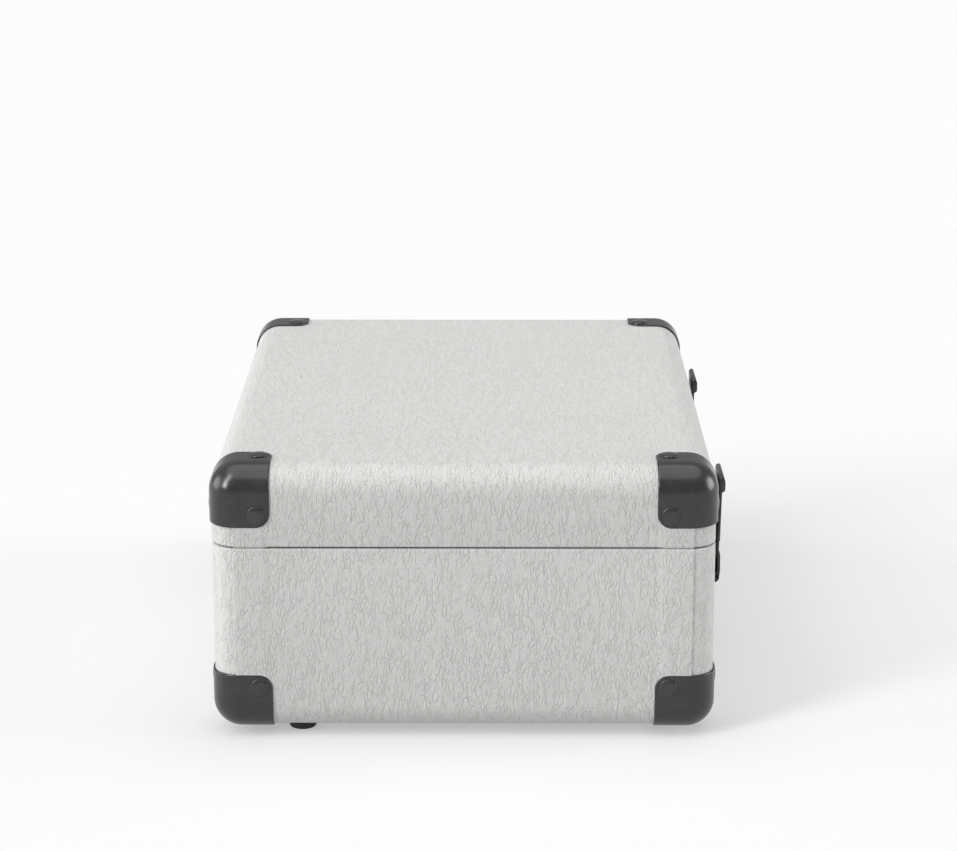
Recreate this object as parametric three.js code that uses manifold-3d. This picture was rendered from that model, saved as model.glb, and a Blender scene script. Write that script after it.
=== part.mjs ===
// A portable suitcase record player, closed: a covered wooden case in two halves,
// with corner plates, two hasps, a carrying handle and rear hinges, and inside it a
// belt-driven platter, a tonearm with its cueing lift, the controls, two speakers,
// an amplifier board and a recessed panel of sockets.
//
// Millimetres, +Z up, +X along the case, +Y towards the hinges.  The exported group
// has its origin on the floor, under the middle of the whole object.  Inside it,
// heights count from the underside of the case.

import * as THREE from 'three';
import { RoundedBoxGeometry } from 'three/addons/geometries/RoundedBoxGeometry.js';
import { mergeVertices } from 'three/addons/utils/BufferGeometryUtils.js';
import Module from 'manifold-3d';

const wasm = await Module();
wasm.setup();

// ---------------------------------------------------------------- driving sizes

// Case
const CASE_LENGTH = 350; // along X
const CASE_DEPTH = 260; // along Y
const CASE_HEIGHT = 141.5; // both halves, without the feet
const BASE_HEIGHT = 100; // underside to the lower rim
const SEAM_GAP = 1; // between the two rims
const EDGE_RADIUS = 14; // every outer edge of the case
const WALL = 7; // side walls and lid top
const FLOOR_THICKNESS = 6; // case bottom
const FLOOR_BORDER = 30; // bottom flange left around the service panel
const BATTEN = 6; // ledge that a board lies on, out from the wall
const BATTEN_HEIGHT = 10;

// Clearances
const REST = 0.3; // pieces that lie against each other
const SLIDE = 0.5; // pieces that drop into an opening
const PIN_PLAY = 0.3; // a pin in its bore, on the radius

// Corner plates and rivets
const PLATE = 1.3; // sheet thickness
const PLATE_LIFT = 0.2; // under the sheet
const PLATE_REACH = 32; // each tab, from the plate's own outer planes
const PLATE_TAB_RADIUS = 7.5;
const RIVET_RADIUS = 4.9;
const RIVET_HEIGHT = 1.25;
const RIVET_INSET = 7.4; // rivet centre from the tab's edges

// Feet
const FOOT_HEIGHT = 4.5;
const FOOT_RADIUS = 7.8;
const FOOT_TAPER = 0.7;
const FOOT_CHAMFER = 1;
const FOOT_FROM_REAR = 45;
const FOOT_FROM_FRONT = 45;
const REAR_FOOT_FROM_END = 20;
const FRONT_FOOT_FROM_END = 58;

// Deck
const DECK_DROP = 10; // lower rim to the deck's top face
const DECK = 4;

// Platter and drive
const SPINDLE_X = -24;
const RECORD_RADIUS = 151; // largest disc the player takes
const PLATTER_RADIUS = 97;
const PLATTER_TOP_OVER_DECK = 12.2;
const PLATTER_DISC = 3;
const PLATTER_SKIRT = 3;
const PLATTER_OVER_DECK = 3; // running gap under the skirt
const DRIVE_RING_RADIUS = 54;
const DRIVE_RING_WALL = 3;
const HUB_RADIUS = 14;
const MAT = 1.5;
const MAT_INSET = 2;
const SPINDLE_RADIUS = 3.55;
const SPINDLE_OVER_MAT = 14;
const SPINDLE_BELOW_DECK = 18;
const BEARING_RADIUS = 7;
const BEARING_FLANGE_RADIUS = 12;
const BEARING_FLANGE = 1.2;
const PULLEY_RADIUS = 4.5;
const PULLEY_GAP_TO_RING = 12; // between the two round faces
const PULLEY_BEARING = 118; // direction of the motor from the spindle, degrees
const BELT_WIDTH = 4;
const BELT = 0.8;
const BELT_GAP = 0.25;
const MOTOR_RADIUS = 17;
const MOTOR_HEIGHT = 24;
const MOTOR_SHAFT_RADIUS = 1.5;
const MOTOR_EAR = 7;
const MOTOR_FLOOR = 4; // solid bottom of the can, under the shaft
const PULLEY_LIP = 1.2;
const MOTOR_DROP = 5; // the can hangs this far under the deck

// Tonearm
const ARM_PIVOT_FROM_SPINDLE_X = 142;
const ARM_PIVOT_FROM_SPINDLE_Y = 106;
const ARM_OVERHANG = 10; // stylus past the spindle
const ARM_REST_ANGLE = 5; // outwards from straight ahead, degrees
const ARM_OVER_MAT = 15; // tube centre over the mat
const ARM_TUBE_RADIUS = 3.2;
const ARM_STUB = 34; // behind the pivot
const HEADSHELL_LENGTH = 31;
const HEADSHELL_WIDTH = 22;
const HEADSHELL = 3;
const HEADSHELL_PAST_STYLUS = 12;
const HEADSHELL_UNDER_AXIS = 0.5; // its top under the tube's middle
const ARM_HOUSING = [ 5, 7, 5 ]; // half sizes of the block round the pivot
const FINGER_LIFT = 9;
const CARTRIDGE_LENGTH = 18;
const CARTRIDGE_WIDTH = 14;
const CARTRIDGE_HEIGHT = 5.5;
const STYLUS_DROP = 1.2;
const WEIGHT_RADIUS = 11;
const WEIGHT_START = 16;
const WEIGHT_LENGTH = 17;
const ARM_BASE_RADIUS = 20;
const ARM_BASE_PLATE = 3;
const ARM_COLUMN_RADIUS = 11;
const YOKE_RADIUS = 14;
const YOKE_PLATE = 2.5;
const YOKE_CHEEK = 3;
const YOKE_HALF_GAP = 8;
const YOKE_DEPTH = 12;
const YOKE_BELOW_PIVOT = 15; // underside of its plate
const GIMBAL_PIN_RADIUS = 1.2;
const REST_DISTANCE = 125; // arm rest, from the pivot
const REST_COLUMN_RADIUS = 4;
const REST_FOOT_RADIUS = 8;
const REST_LENGTH = 8; // of the cradle, along the arm
const REST_DROP = 1.6; // cradle seat under the tube
const REST_SIDE_GAP = 0.8;
const REST_CHEEK = 5;
const CLIP = 2;
const CLIP_LENGTH = 10.5;
const CLIP_OPEN_ANGLE = 112;
const CLIP_PIN_RADIUS = 0.7;
const CLIP_EAR = 2;
const REST_COLUMN_AT = 1.5; // outwards of the arm's line
const CUE_RADIUS = 34; // cueing arc, from the pivot
const CUE_WIDTH = 6;
const CUE_PLATE = 2;
const CUE_GAP = 0.5;
const CUE_ARC_START = -14; // degrees, positive towards the platter
const CUE_ARC_END = 42;
const CUE_ROD_ANGLE = -10;
const CUE_ROD_RADIUS = 2;
const CUE_LEVER_SIDE = 29; // lever hub, outwards of the pivot
const CUE_LEVER_AHEAD = 22; // and ahead of it
const CUE_LEVER_LENGTH = 24;
const CUE_LEVER_HUB_RADIUS = 4;
const CUE_LEVER_WIDTH = 5;
const CUE_LEVER_RISE = 35; // rest angle over the horizontal, degrees
const CUE_BRACKET_CHEEK = 2.5;

// Controls
const SWITCH_FROM_REAR = 15; // inside face of the rear wall to the slot's centre
const SPEED_SWITCH_X = 62;
const STOP_SWITCH_X = 90;
const SWITCH_KNOB = [9, 6.5, 5];
const SWITCH_STEM = [3, 2.4];
const SWITCH_TRAVEL = 4; // each way
const KNOB_FROM_END = 18;
const KNOB_Y = -8;
const KNOB_RADIUS = 9.5;
const KNOB_HEIGHT = 11;
const KNOB_SHAFT_RADIUS = 3;
const PHONES_Y = -36;
const PHONES_RADIUS = 4.5;
const PHONES_BORE = 1.8;
const LIGHT_Y = -54;
const LIGHT_RADIUS = 1.7;
const ADAPTER_RADIUS = 19;
const ADAPTER_HEIGHT = 6;
const ADAPTER_RECESS = 2.4;
const ADAPTER_FROM_END = 28;
const ADAPTER_FROM_REAR = 27;
const ADAPTER_PEG_RADIUS = 3.2;
const ADAPTER_BORE = 3.65;

// Sound
const SPEAKER_RADIUS = 28.5;
const SPEAKER_DEPTH = 30;
const SPEAKER_TO_LEDGE = 1.5; // its frame to the deck's ledge, at the end and the front
const SPEAKER_FLANGE = 1.8;
const SLOT_COUNT = 7;
const SLOT_WIDTH = 3;
const SLOT_PITCH = 6.6;
const MAGNET_RADIUS = 16;
const MAGNET_HEIGHT = 9;
const CONE_SHEET = 0.6;
const BOARD_LENGTH = 112;
const BOARD_WIDTH = 58;
const BOARD_THICKNESS = 1.6;
const BOARD_STANDOFF = 9;
const BOARD_X = 78;
const BOARD_Y = 62;
const STANDOFF_RADIUS = 3;
const STANDOFF_INSET = 5;
const HEAT_SINK_SPAN = [ - 20, 14 ]; // along X from the board's middle
const HEAT_SINK_WIDTH = 10;
const HEAT_SINK_HEIGHT = 18;
const CAPACITOR_PLACES = [ - 38, - 28, 24, 34 ]; // along X from the board's middle
const CAPACITOR_RADIUS = 4;
const CAPACITOR_HEIGHT = 12;

// Socket panel
const PANEL_X = 92;
const PANEL_Z = 42;
const PANEL_LENGTH = 66;
const PANEL_HEIGHT = 26;
const PANEL_FLANGE = 5;
const PANEL_SHEET = 1.2;
const PANEL_DEPTH = 16;
const PANEL_WALL = 1.6;
const PHONO_RADIUS = 4.1;
const PHONO_BORE = 1.7;
const PHONO_LENGTH = 9;
const PHONO_SPACING = 17;
const PHONO_PAIR_AT = - 12; // middle of the pair from the panel's middle
const PHONO_BLOCK = [ 7, 9 ]; // border round the barrels, depth behind the panel
const POWER_RADIUS = 4.6;
const POWER_BORE = 2.9;
const POWER_LENGTH = 3.5;
const POWER_AT = 20; // from the panel's middle
const POWER_BLOCK = [ 6, 11 ];
const POWER_PIN_RADIUS = 1;

// Rear hinges
const HINGE_X = 85;
const HINGE_WIDTH = 48;
const HINGE_LEAF = 1;
const HINGE_LEAF_LIFT = 0.2;
const HINGE_LEAF_HEIGHT = 26;
const HINGE_KNUCKLE_RADIUS = 2.2;
const HINGE_PIN_RADIUS = 1.1;
const HINGE_GROOVE = 0.4; // room around the knuckles

// Hasps
const HASP_X = 105;
const HASP_WIDTH = 30;
const HASP_PIVOT_DROP = 34.5; // below the seam
const HASP_PIVOT_OUT = 3.1;
const HASP_KNUCKLE_RADIUS = 2.8;
const HASP_KNUCKLE_WIDTH = 6; // each fixed knuckle
const HASP_PIN_RADIUS = 1.1;
const HASP_RISE = 20.5; // top of the lip over the seam
const HASP_LIP_DROP = 7.5;
const HASP_OUT = 8.1; // outermost face of the lip
const HASP_SHEET = 1.4;
const HASP_PLATE = 1;
const KEEPER_WIDTH = 24;
const KEEPER_NOSE_OUT = 4;

// Handle
const HANDLE_PIVOT_X = 58;
const HANDLE_PIVOT_DROP = 16; // below the seam
const HANDLE_PIVOT_OUT = 4.4;
const HANDLE_DROP = 27; // pivot to the grip's centre
const HANDLE_GRIP_LENGTH = 84;
const HANDLE_GRIP_HEIGHT = 15;
const HANDLE_GRIP_THICKNESS = 9.2;
const HANDLE_GRIP_OUT = 6.4;
const HANDLE_PIN_RADIUS = 1.6;
const HANDLE_LEG = 5;
const HANDLE_MOUNT_WIDTH = 9;
const HANDLE_MOUNT_HEIGHT = 24;
const HANDLE_MOUNT_PLATE = 1.2;
const HANDLE_BOSS_RADIUS = 3;

// Smoothness of the round shapes
const EDGE_STEPS = 3;
const COARSE = 12;
const ROUND = 24;
const FINE = 36;
const BELT_STEPS = 18;

// ---------------------------------------------------------------- derived places

const HALF_LENGTH = CASE_LENGTH / 2;
const HALF_DEPTH = CASE_DEPTH / 2;
const INNER_X = HALF_LENGTH - WALL;
const INNER_Y = HALF_DEPTH - WALL;
const SEAM_Z = BASE_HEIGHT + SEAM_GAP / 2;
const LID_BOTTOM = BASE_HEIGHT + SEAM_GAP;
const LID_CEILING = CASE_HEIGHT - WALL;
const PLATE_OUT = PLATE_LIFT + PLATE;

const DECK_TOP = BASE_HEIGHT - DECK_DROP;
const DECK_BOTTOM = DECK_TOP - DECK;
const ON_DECK = DECK_TOP + REST;
const UNDER_DECK = DECK_BOTTOM - REST;

const SPINDLE_Y = HALF_DEPTH - RECORD_RADIUS;
const PLATTER_TOP = DECK_TOP + PLATTER_TOP_OVER_DECK;
const PLATTER_BOTTOM = DECK_TOP + PLATTER_OVER_DECK;
const MAT_TOP = PLATTER_TOP + REST + MAT;

const PULLEY_DISTANCE = DRIVE_RING_RADIUS + PULLEY_GAP_TO_RING + PULLEY_RADIUS;
const PULLEY_X = SPINDLE_X + PULLEY_DISTANCE * Math.cos( radians( PULLEY_BEARING ) );
const PULLEY_Y = SPINDLE_Y + PULLEY_DISTANCE * Math.sin( radians( PULLEY_BEARING ) );
const PULLEY_TOP = PLATTER_TOP - PLATTER_DISC - 0.8;

const ARM_X = SPINDLE_X + ARM_PIVOT_FROM_SPINDLE_X;
const ARM_Y = SPINDLE_Y + ARM_PIVOT_FROM_SPINDLE_Y;
const ARM_Z = MAT_TOP + ARM_OVER_MAT;
const ARM_LENGTH = Math.hypot( ARM_PIVOT_FROM_SPINDLE_X, ARM_PIVOT_FROM_SPINDLE_Y ) + ARM_OVERHANG;

const SWITCH_Y = INNER_Y - SWITCH_FROM_REAR;
const KNOB_X = INNER_X - KNOB_FROM_END;
const ADAPTER_X = - ( INNER_X - ADAPTER_FROM_END );
const ADAPTER_Y = INNER_Y - ADAPTER_FROM_REAR;
const SPEAKER_X = INNER_X - BATTEN - SPEAKER_TO_LEDGE - SPEAKER_RADIUS;
const SPEAKER_Y = - ( INNER_Y - BATTEN - SPEAKER_TO_LEDGE - SPEAKER_RADIUS );

const HINGE_OUT = HINGE_LEAF_LIFT + HINGE_LEAF;
const HASP_PIVOT_Z = SEAM_Z - HASP_PIVOT_DROP;
const HANDLE_PIVOT_Z = SEAM_Z - HANDLE_PIVOT_DROP;

const FRONT_REACH = Math.max( HASP_OUT, HANDLE_GRIP_OUT + HANDLE_GRIP_THICKNESS / 2 );
const REAR_REACH = HINGE_OUT + HINGE_KNUCKLE_RADIUS;
const CASE_SHIFT_Y = ( FRONT_REACH - REAR_REACH ) / 2;

// ---------------------------------------------------------------- finishes

function finish( color, roughness, metalness = 0 ) {

	return new THREE.MeshStandardMaterial( { color, roughness, metalness } );

}

const FINISHES = {
	vinyl: () => finish( 0xc9cac8, 0.55 ),
	board: () => finish( 0x8d7a5f, 0.85 ),
	plate: () => finish( 0x3a3837, 0.42 ),
	rubber: () => finish( 0x1d1c1b, 0.85 ),
	deck: () => finish( 0x2b2b2c, 0.6 ),
	platter: () => finish( 0x232324, 0.5 ),
	felt: () => finish( 0x2c2c2e, 0.95 ),
	steel: () => finish( 0xb8b8b6, 0.28, 1 ),
	black: () => finish( 0x1b1b1c, 0.45 ),
	latch: () => finish( 0x222121, 0.38 ),
	circuit: () => finish( 0x1e5a36, 0.6 ),
	paper: () => finish( 0x24211e, 0.9 ),
	brass: () => finish( 0xb08d4a, 0.35, 1 ),
	arm: () => finish( 0xc4c4c2, 0.3, 0.9 ),
	light: () => finish( 0x8f1414, 0.3 ),
};

// ---------------------------------------------------------------- solid shapes

function radians( degrees ) {

	return THREE.MathUtils.degToRad( degrees );

}

/** A closed solid that joins, cuts and meets others. */
class Solid {

	constructor( manifold ) {

		this.manifold = manifold;

	}

	static of( geometry ) {

		const bare = geometry.clone();
		bare.deleteAttribute( 'normal' );
		bare.deleteAttribute( 'uv' );
		const merged = mergeVertices( bare, 1e-4 );
		const corners = merged.index.array;
		const faces = [];
		for ( let i = 0; i < corners.length; i += 3 ) {

			const [ a, b, c ] = corners.slice( i, i + 3 );
			if ( a !== b && b !== c && c !== a ) faces.push( a, b, c );

		}

		return new Solid( new wasm.Manifold( new wasm.Mesh( {
			numProp: 3,
			vertProperties: new Float32Array( merged.attributes.position.array ),
			triVerts: new Uint32Array( faces ),
		} ) ) );

	}

	join( ...others ) {

		return others.reduce( ( whole, other ) => new Solid( whole.manifold.add( other.manifold ) ), this );

	}

	cut( ...others ) {

		return others.reduce( ( whole, other ) => new Solid( whole.manifold.subtract( other.manifold ) ), this );

	}

	meet( ...others ) {

		return others.reduce( ( whole, other ) => new Solid( whole.manifold.intersect( other.manifold ) ), this );

	}

	geometry() {

		const mesh = this.manifold.getMesh();
		const geometry = new THREE.BufferGeometry();
		geometry.setAttribute( 'position', new THREE.BufferAttribute( new Float32Array( mesh.vertProperties ), 3 ) );
		geometry.setIndex( new THREE.BufferAttribute( new Uint32Array( mesh.triVerts ), 1 ) );
		geometry.computeVertexNormals();
		return geometry;

	}

}

/** A box between two limits on each axis. */
function block( [ x0, x1 ], [ y0, y1 ], [ z0, z1 ] ) {

	const geometry = new THREE.BoxGeometry( x1 - x0, y1 - y0, z1 - z0 );
	geometry.translate( ( x0 + x1 ) / 2, ( y0 + y1 ) / 2, ( z0 + z1 ) / 2 );
	return Solid.of( geometry );

}

/** A box with every edge rounded, centred on x = y = 0 and grown by `grow` all round. */
function roundedCase( grow = 0 ) {

	const geometry = new RoundedBoxGeometry(
		CASE_LENGTH + 2 * grow,
		CASE_DEPTH + 2 * grow,
		CASE_HEIGHT + 2 * grow,
		EDGE_STEPS,
		EDGE_RADIUS + grow,
	);
	geometry.translate( 0, 0, CASE_HEIGHT / 2 );
	return Solid.of( geometry );

}

/** An upright cylinder or cone. */
function post( x, y, [ z0, z1 ], radius, sides = ROUND, topRadius = radius ) {

	const geometry = new THREE.CylinderGeometry( topRadius, radius, z1 - z0, sides );
	geometry.rotateX( Math.PI / 2 );
	geometry.translate( x, y, ( z0 + z1 ) / 2 );
	return Solid.of( geometry );

}

/** A cylinder along X. */
function rodX( [ x0, x1 ], y, z, radius, sides = COARSE ) {

	const geometry = new THREE.CylinderGeometry( radius, radius, x1 - x0, sides );
	geometry.rotateZ( Math.PI / 2 );
	geometry.translate( ( x0 + x1 ) / 2, y, z );
	return Solid.of( geometry );

}

/** A cylinder along Y. */
function rodY( x, [ y0, y1 ], z, radius, sides = COARSE ) {

	const geometry = new THREE.CylinderGeometry( radius, radius, y1 - y0, sides );
	geometry.translate( x, ( y0 + y1 ) / 2, z );
	return Solid.of( geometry );

}

/** A turned solid about the vertical through x, y; points are [radius, height]. */
function turned( x, y, points, sides = ROUND ) {

	const geometry = new THREE.LatheGeometry( points.map( ( [ r, z ] ) => new THREE.Vector2( r, z ) ), sides );
	geometry.rotateX( Math.PI / 2 );
	geometry.translate( x, y, 0 );
	return Solid.of( geometry );

}

/** A flat outline [x, y] raised between two heights. */
function slab( outline, [ z0, z1 ] ) {

	const shape = outline instanceof THREE.Shape ? outline : shapeOf( outline );
	const geometry = new THREE.ExtrudeGeometry( shape, { depth: z1 - z0, bevelEnabled: false, curveSegments: 5 } );
	geometry.translate( 0, 0, z0 );
	return Solid.of( geometry );

}

/** A side outline [y, z] drawn out along X. */
function profileX( outline, [ x0, x1 ] ) {

	const shape = outline instanceof THREE.Shape ? outline : shapeOf( outline );
	const geometry = new THREE.ExtrudeGeometry( shape, { depth: x1 - x0, bevelEnabled: false, curveSegments: 5 } );
	const axes = [ new THREE.Vector3( 0, 1, 0 ), new THREE.Vector3( 0, 0, 1 ), new THREE.Vector3( 1, 0, 0 ) ];
	geometry.applyMatrix4( new THREE.Matrix4().makeBasis( ...axes ) );
	geometry.translate( x0, 0, 0 );
	return Solid.of( geometry );

}

/** A front outline [x, z] drawn out along Y. */
function profileY( outline, [ y0, y1 ] ) {

	const shape = outline instanceof THREE.Shape ? outline : shapeOf( outline );
	const geometry = new THREE.ExtrudeGeometry( shape, { depth: y1 - y0, bevelEnabled: false, curveSegments: 5 } );
	const axes = [ new THREE.Vector3( 1, 0, 0 ), new THREE.Vector3( 0, 0, 1 ), new THREE.Vector3( 0, - 1, 0 ) ];
	geometry.applyMatrix4( new THREE.Matrix4().makeBasis( ...axes ) );
	geometry.translate( 0, y1, 0 );
	return Solid.of( geometry );

}

function shapeOf( outline ) {

	return new THREE.Shape( outline.map( ( [ u, v ] ) => new THREE.Vector2( u, v ) ) );

}

/** A rectangle with its four corners rounded. */
function roundedRectangle( u0, u1, v0, v1, radius ) {

	const shape = new THREE.Shape();
	shape.moveTo( u0 + radius, v0 );
	shape.lineTo( u1 - radius, v0 );
	shape.absarc( u1 - radius, v0 + radius, radius, - Math.PI / 2, 0 );
	shape.lineTo( u1, v1 - radius );
	shape.absarc( u1 - radius, v1 - radius, radius, 0, Math.PI / 2 );
	shape.lineTo( u0 + radius, v1 );
	shape.absarc( u0 + radius, v1 - radius, radius, Math.PI / 2, Math.PI );
	shape.lineTo( u0, v0 + radius );
	shape.absarc( u0 + radius, v0 + radius, radius, Math.PI, 3 * Math.PI / 2 );
	return shape;

}

/** Names a solid, gives it its finish and hangs it in a group. */
function piece( group, name, solid, makeFinish ) {

	const mesh = new THREE.Mesh( solid.geometry(), makeFinish() );
	mesh.name = name;
	group.add( mesh );
	return mesh;

}

const SIDES = [ [ 'left', - 1 ], [ 'right', 1 ] ];
const ENDS = [ [ 'rear', 1 ], [ 'front', - 1 ] ];

// ---------------------------------------------------------------- case

/** The inside of the base: a rebate for the service panel, two ledges and the wall faces. */
function baseCavity() {

	const layer = ( inset, z0, z1 ) => block(
		[ - ( HALF_LENGTH - inset ), HALF_LENGTH - inset ],
		[ - ( HALF_DEPTH - inset ), HALF_DEPTH - inset ],
		[ z0, z1 ],
	);
	const ledgeTop = UNDER_DECK;
	const overlap = 0.1;
	return layer( FLOOR_BORDER, - 1, FLOOR_THICKNESS + overlap )
		.join( layer( WALL, FLOOR_THICKNESS, ledgeTop - BATTEN_HEIGHT ) )
		.join( layer( WALL + BATTEN, ledgeTop - BATTEN_HEIGHT - overlap, ledgeTop + overlap ) )
		.join( layer( WALL, ledgeTop, BASE_HEIGHT + 1 ) );

}

function hingeGrooves() {

	return SIDES.map( ( [ , side ] ) => rodX(
		hingeSpan( side, 0.5 ),
		HALF_DEPTH + HINGE_OUT,
		SEAM_Z,
		HINGE_KNUCKLE_RADIUS + HINGE_GROOVE,
	) );

}

function hingeSpan( side, grow = 0 ) {

	const middle = side * HINGE_X;
	return [ middle - HINGE_WIDTH / 2 - grow, middle + HINGE_WIDTH / 2 + grow ];

}

function panelOpening() {

	return block(
		[ PANEL_X - PANEL_LENGTH / 2 - SLIDE, PANEL_X + PANEL_LENGTH / 2 + SLIDE ],
		[ INNER_Y - 1, HALF_DEPTH + 1 ],
		[ PANEL_Z - PANEL_HEIGHT / 2 - SLIDE, PANEL_Z + PANEL_HEIGHT / 2 + SLIDE ],
	);

}

function baseWalls() {

	const everything = [ [ - CASE_LENGTH, CASE_LENGTH ], [ - CASE_DEPTH, CASE_DEPTH ] ];
	return roundedCase()
		.meet( block( ...everything, [ - 1, BASE_HEIGHT ] ) )
		.cut( baseCavity(), panelOpening(), ...hingeGrooves() );

}

function lidShell() {

	const everything = [ [ - CASE_LENGTH, CASE_LENGTH ], [ - CASE_DEPTH, CASE_DEPTH ] ];
	return roundedCase()
		.meet( block( ...everything, [ LID_BOTTOM, CASE_HEIGHT + 1 ] ) )
		.cut( block( [ - INNER_X, INNER_X ], [ - INNER_Y, INNER_Y ], [ 0, LID_CEILING ] ), ...hingeGrooves() );

}

function bottomBoard() {

	const halfX = HALF_LENGTH - FLOOR_BORDER - SLIDE;
	const halfY = HALF_DEPTH - FLOOR_BORDER - SLIDE;
	return block( [ - halfX, halfX ], [ - halfY, halfY ], [ 0, FLOOR_THICKNESS ] );

}

function foot( x, y ) {

	return turned( x, y, [
		[ 0, - FOOT_HEIGHT ],
		[ FOOT_RADIUS - FOOT_TAPER - FOOT_CHAMFER, - FOOT_HEIGHT ],
		[ FOOT_RADIUS - FOOT_TAPER, - FOOT_HEIGHT + FOOT_CHAMFER ],
		[ FOOT_RADIUS, - REST ],
		[ 0, - REST ],
	] );

}

function buildFeet( group ) {

	for ( const [ end, endSign ] of ENDS ) {

		const fromEnd = end === 'rear' ? REAR_FOOT_FROM_END : FRONT_FOOT_FROM_END;
		const fromSide = end === 'rear' ? FOOT_FROM_REAR : FOOT_FROM_FRONT;
		for ( const [ side, sideSign ] of SIDES ) {

			const x = sideSign * ( HALF_LENGTH - fromEnd );
			const y = endSign * ( HALF_DEPTH - fromSide );
			piece( group, `foot_${end}_${side}`, foot( x, y ), FINISHES.rubber );

		}

	}

}

// ---------------------------------------------------------------- corner plates

/** A square tab that ends at the corner (u, v) and has its far corner rounded. */
function tabOutline( u, v, signU, signV ) {

	const spare = 5;
	const farU = u - signU * PLATE_REACH;
	const farV = v - signV * PLATE_REACH;
	const outU = u + signU * spare;
	const outV = v + signV * spare;
	const shape = new THREE.Shape();
	shape.moveTo( outU, outV );
	shape.lineTo( outU, farV );
	shape.lineTo( farU + signU * PLATE_TAB_RADIUS, farV );
	const steps = 4;
	for ( let i = 1; i <= steps; i ++ ) {

		const turn = ( i / steps ) * Math.PI / 2;
		shape.lineTo(
			farU + signU * PLATE_TAB_RADIUS * ( 1 - Math.sin( turn ) ),
			farV + signV * PLATE_TAB_RADIUS * ( 1 - Math.cos( turn ) ),
		);

	}

	shape.lineTo( farU, outV );
	return shape;

}

/** A low domed rivet head on the +Z face of the origin. */
function rivetHead() {

	return new THREE.LatheGeometry( [
		new THREE.Vector2( 0, - PLATE / 2 ),
		new THREE.Vector2( RIVET_RADIUS, - PLATE / 2 ),
		new THREE.Vector2( RIVET_RADIUS, 0.15 ),
		new THREE.Vector2( RIVET_RADIUS * 0.65, RIVET_HEIGHT * 0.75 ),
		new THREE.Vector2( 0, RIVET_HEIGHT ),
	], COARSE );

}

/** A rivet head turned to face along one signed axis. */
function rivet( axis, sign, x, y, z ) {

	const geometry = rivetHead();
	const outward = new THREE.Vector3();
	outward.setComponent( axis, sign );
	const turn = new THREE.Quaternion().setFromUnitVectors( new THREE.Vector3( 0, 1, 0 ), outward );
	geometry.applyQuaternion( turn );
	geometry.translate( x, y, z );
	return Solid.of( geometry );

}

/** One corner plate: three tabs pressed over a corner of the case, with its rivets. */
function cornerPlate( signX, signY, signZ ) {

	const x = signX * ( HALF_LENGTH + PLATE_OUT );
	const y = signY * ( HALF_DEPTH + PLATE_OUT );
	const z = signZ > 0 ? CASE_HEIGHT + PLATE_OUT : - PLATE_OUT;
	const everyX = [ - CASE_LENGTH, CASE_LENGTH ];
	const everyY = [ - CASE_DEPTH, CASE_DEPTH ];
	const everyZ = [ - CASE_HEIGHT, 2 * CASE_HEIGHT ];
	const sheet = roundedCase( PLATE_OUT )
		.cut( roundedCase( PLATE_LIFT ) )
		.meet( profileX( tabOutline( y, z, signY, signZ ), everyX ) )
		.meet( profileY( tabOutline( x, z, signX, signZ ), everyY ) )
		.meet( slab( tabOutline( x, y, signX, signY ), everyZ ) );
	const inward = PLATE_REACH - RIVET_INSET;
	const rivetX = x - signX * inward;
	const rivetY = y - signY * inward;
	const rivetZ = z - signZ * inward;
	return sheet.join(
		rivet( 0, signX, x, rivetY, rivetZ ),
		rivet( 1, signY, rivetX, y, rivetZ ),
		rivet( 2, signZ, rivetX, rivetY, z ),
	);

}

function buildCornerPlates( group, half, signZ ) {

	for ( const [ end, endSign ] of ENDS ) {

		for ( const [ side, sideSign ] of SIDES ) {

			const plate = cornerPlate( sideSign, endSign, signZ );
			piece( group, `corner_${half}_${end}_${side}`, plate, FINISHES.plate );

		}

	}

}

// ---------------------------------------------------------------- hinges, hasps, handle

/** A hinge leaf against the rear face, with its knuckles and, on the base half, the pin. */
function hingeLeaf( side, half ) {

	const [ x0, x1 ] = hingeSpan( side );
	const third = HINGE_WIDTH / 3;
	const y = HALF_DEPTH + HINGE_OUT;
	const leafFace = [ HALF_DEPTH + HINGE_LEAF_LIFT, y ];
	const seamSide = HINGE_KNUCKLE_RADIUS * 0.6;
	if ( half === 'base' ) {

		const leaf = block( [ x0, x1 ], leafFace, [ SEAM_Z - HINGE_LEAF_HEIGHT, SEAM_Z - seamSide ] );
		const room = rodX( [ x0 + third - REST, x1 - third + REST ], y, SEAM_Z, HINGE_KNUCKLE_RADIUS + HINGE_GROOVE );
		return leaf.cut( room ).join(
			rodX( [ x0, x0 + third - REST ], y, SEAM_Z, HINGE_KNUCKLE_RADIUS ),
			rodX( [ x1 - third + REST, x1 ], y, SEAM_Z, HINGE_KNUCKLE_RADIUS ),
			rodX( [ x0 + 1, x1 - 1 ], y, SEAM_Z, HINGE_PIN_RADIUS ),
		);

	}

	const leaf = block( [ x0, x1 ], leafFace, [ SEAM_Z + seamSide, SEAM_Z + HINGE_LEAF_HEIGHT ] );
	const roomLeft = rodX( [ x0 - 1, x0 + third ], y, SEAM_Z, HINGE_KNUCKLE_RADIUS + HINGE_GROOVE );
	const roomRight = rodX( [ x1 - third, x1 + 1 ], y, SEAM_Z, HINGE_KNUCKLE_RADIUS + HINGE_GROOVE );
	return leaf.cut( roomLeft, roomRight )
		.join( rodX( [ x0 + third, x1 - third ], y, SEAM_Z, HINGE_KNUCKLE_RADIUS ) )
		.cut( rodX( [ x0, x1 ], y, SEAM_Z, HINGE_PIN_RADIUS + PIN_PLAY ) );

}

/** Distances off the front face, as Y coordinates. */
function off( out ) {

	return - ( HALF_DEPTH + out );

}

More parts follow.
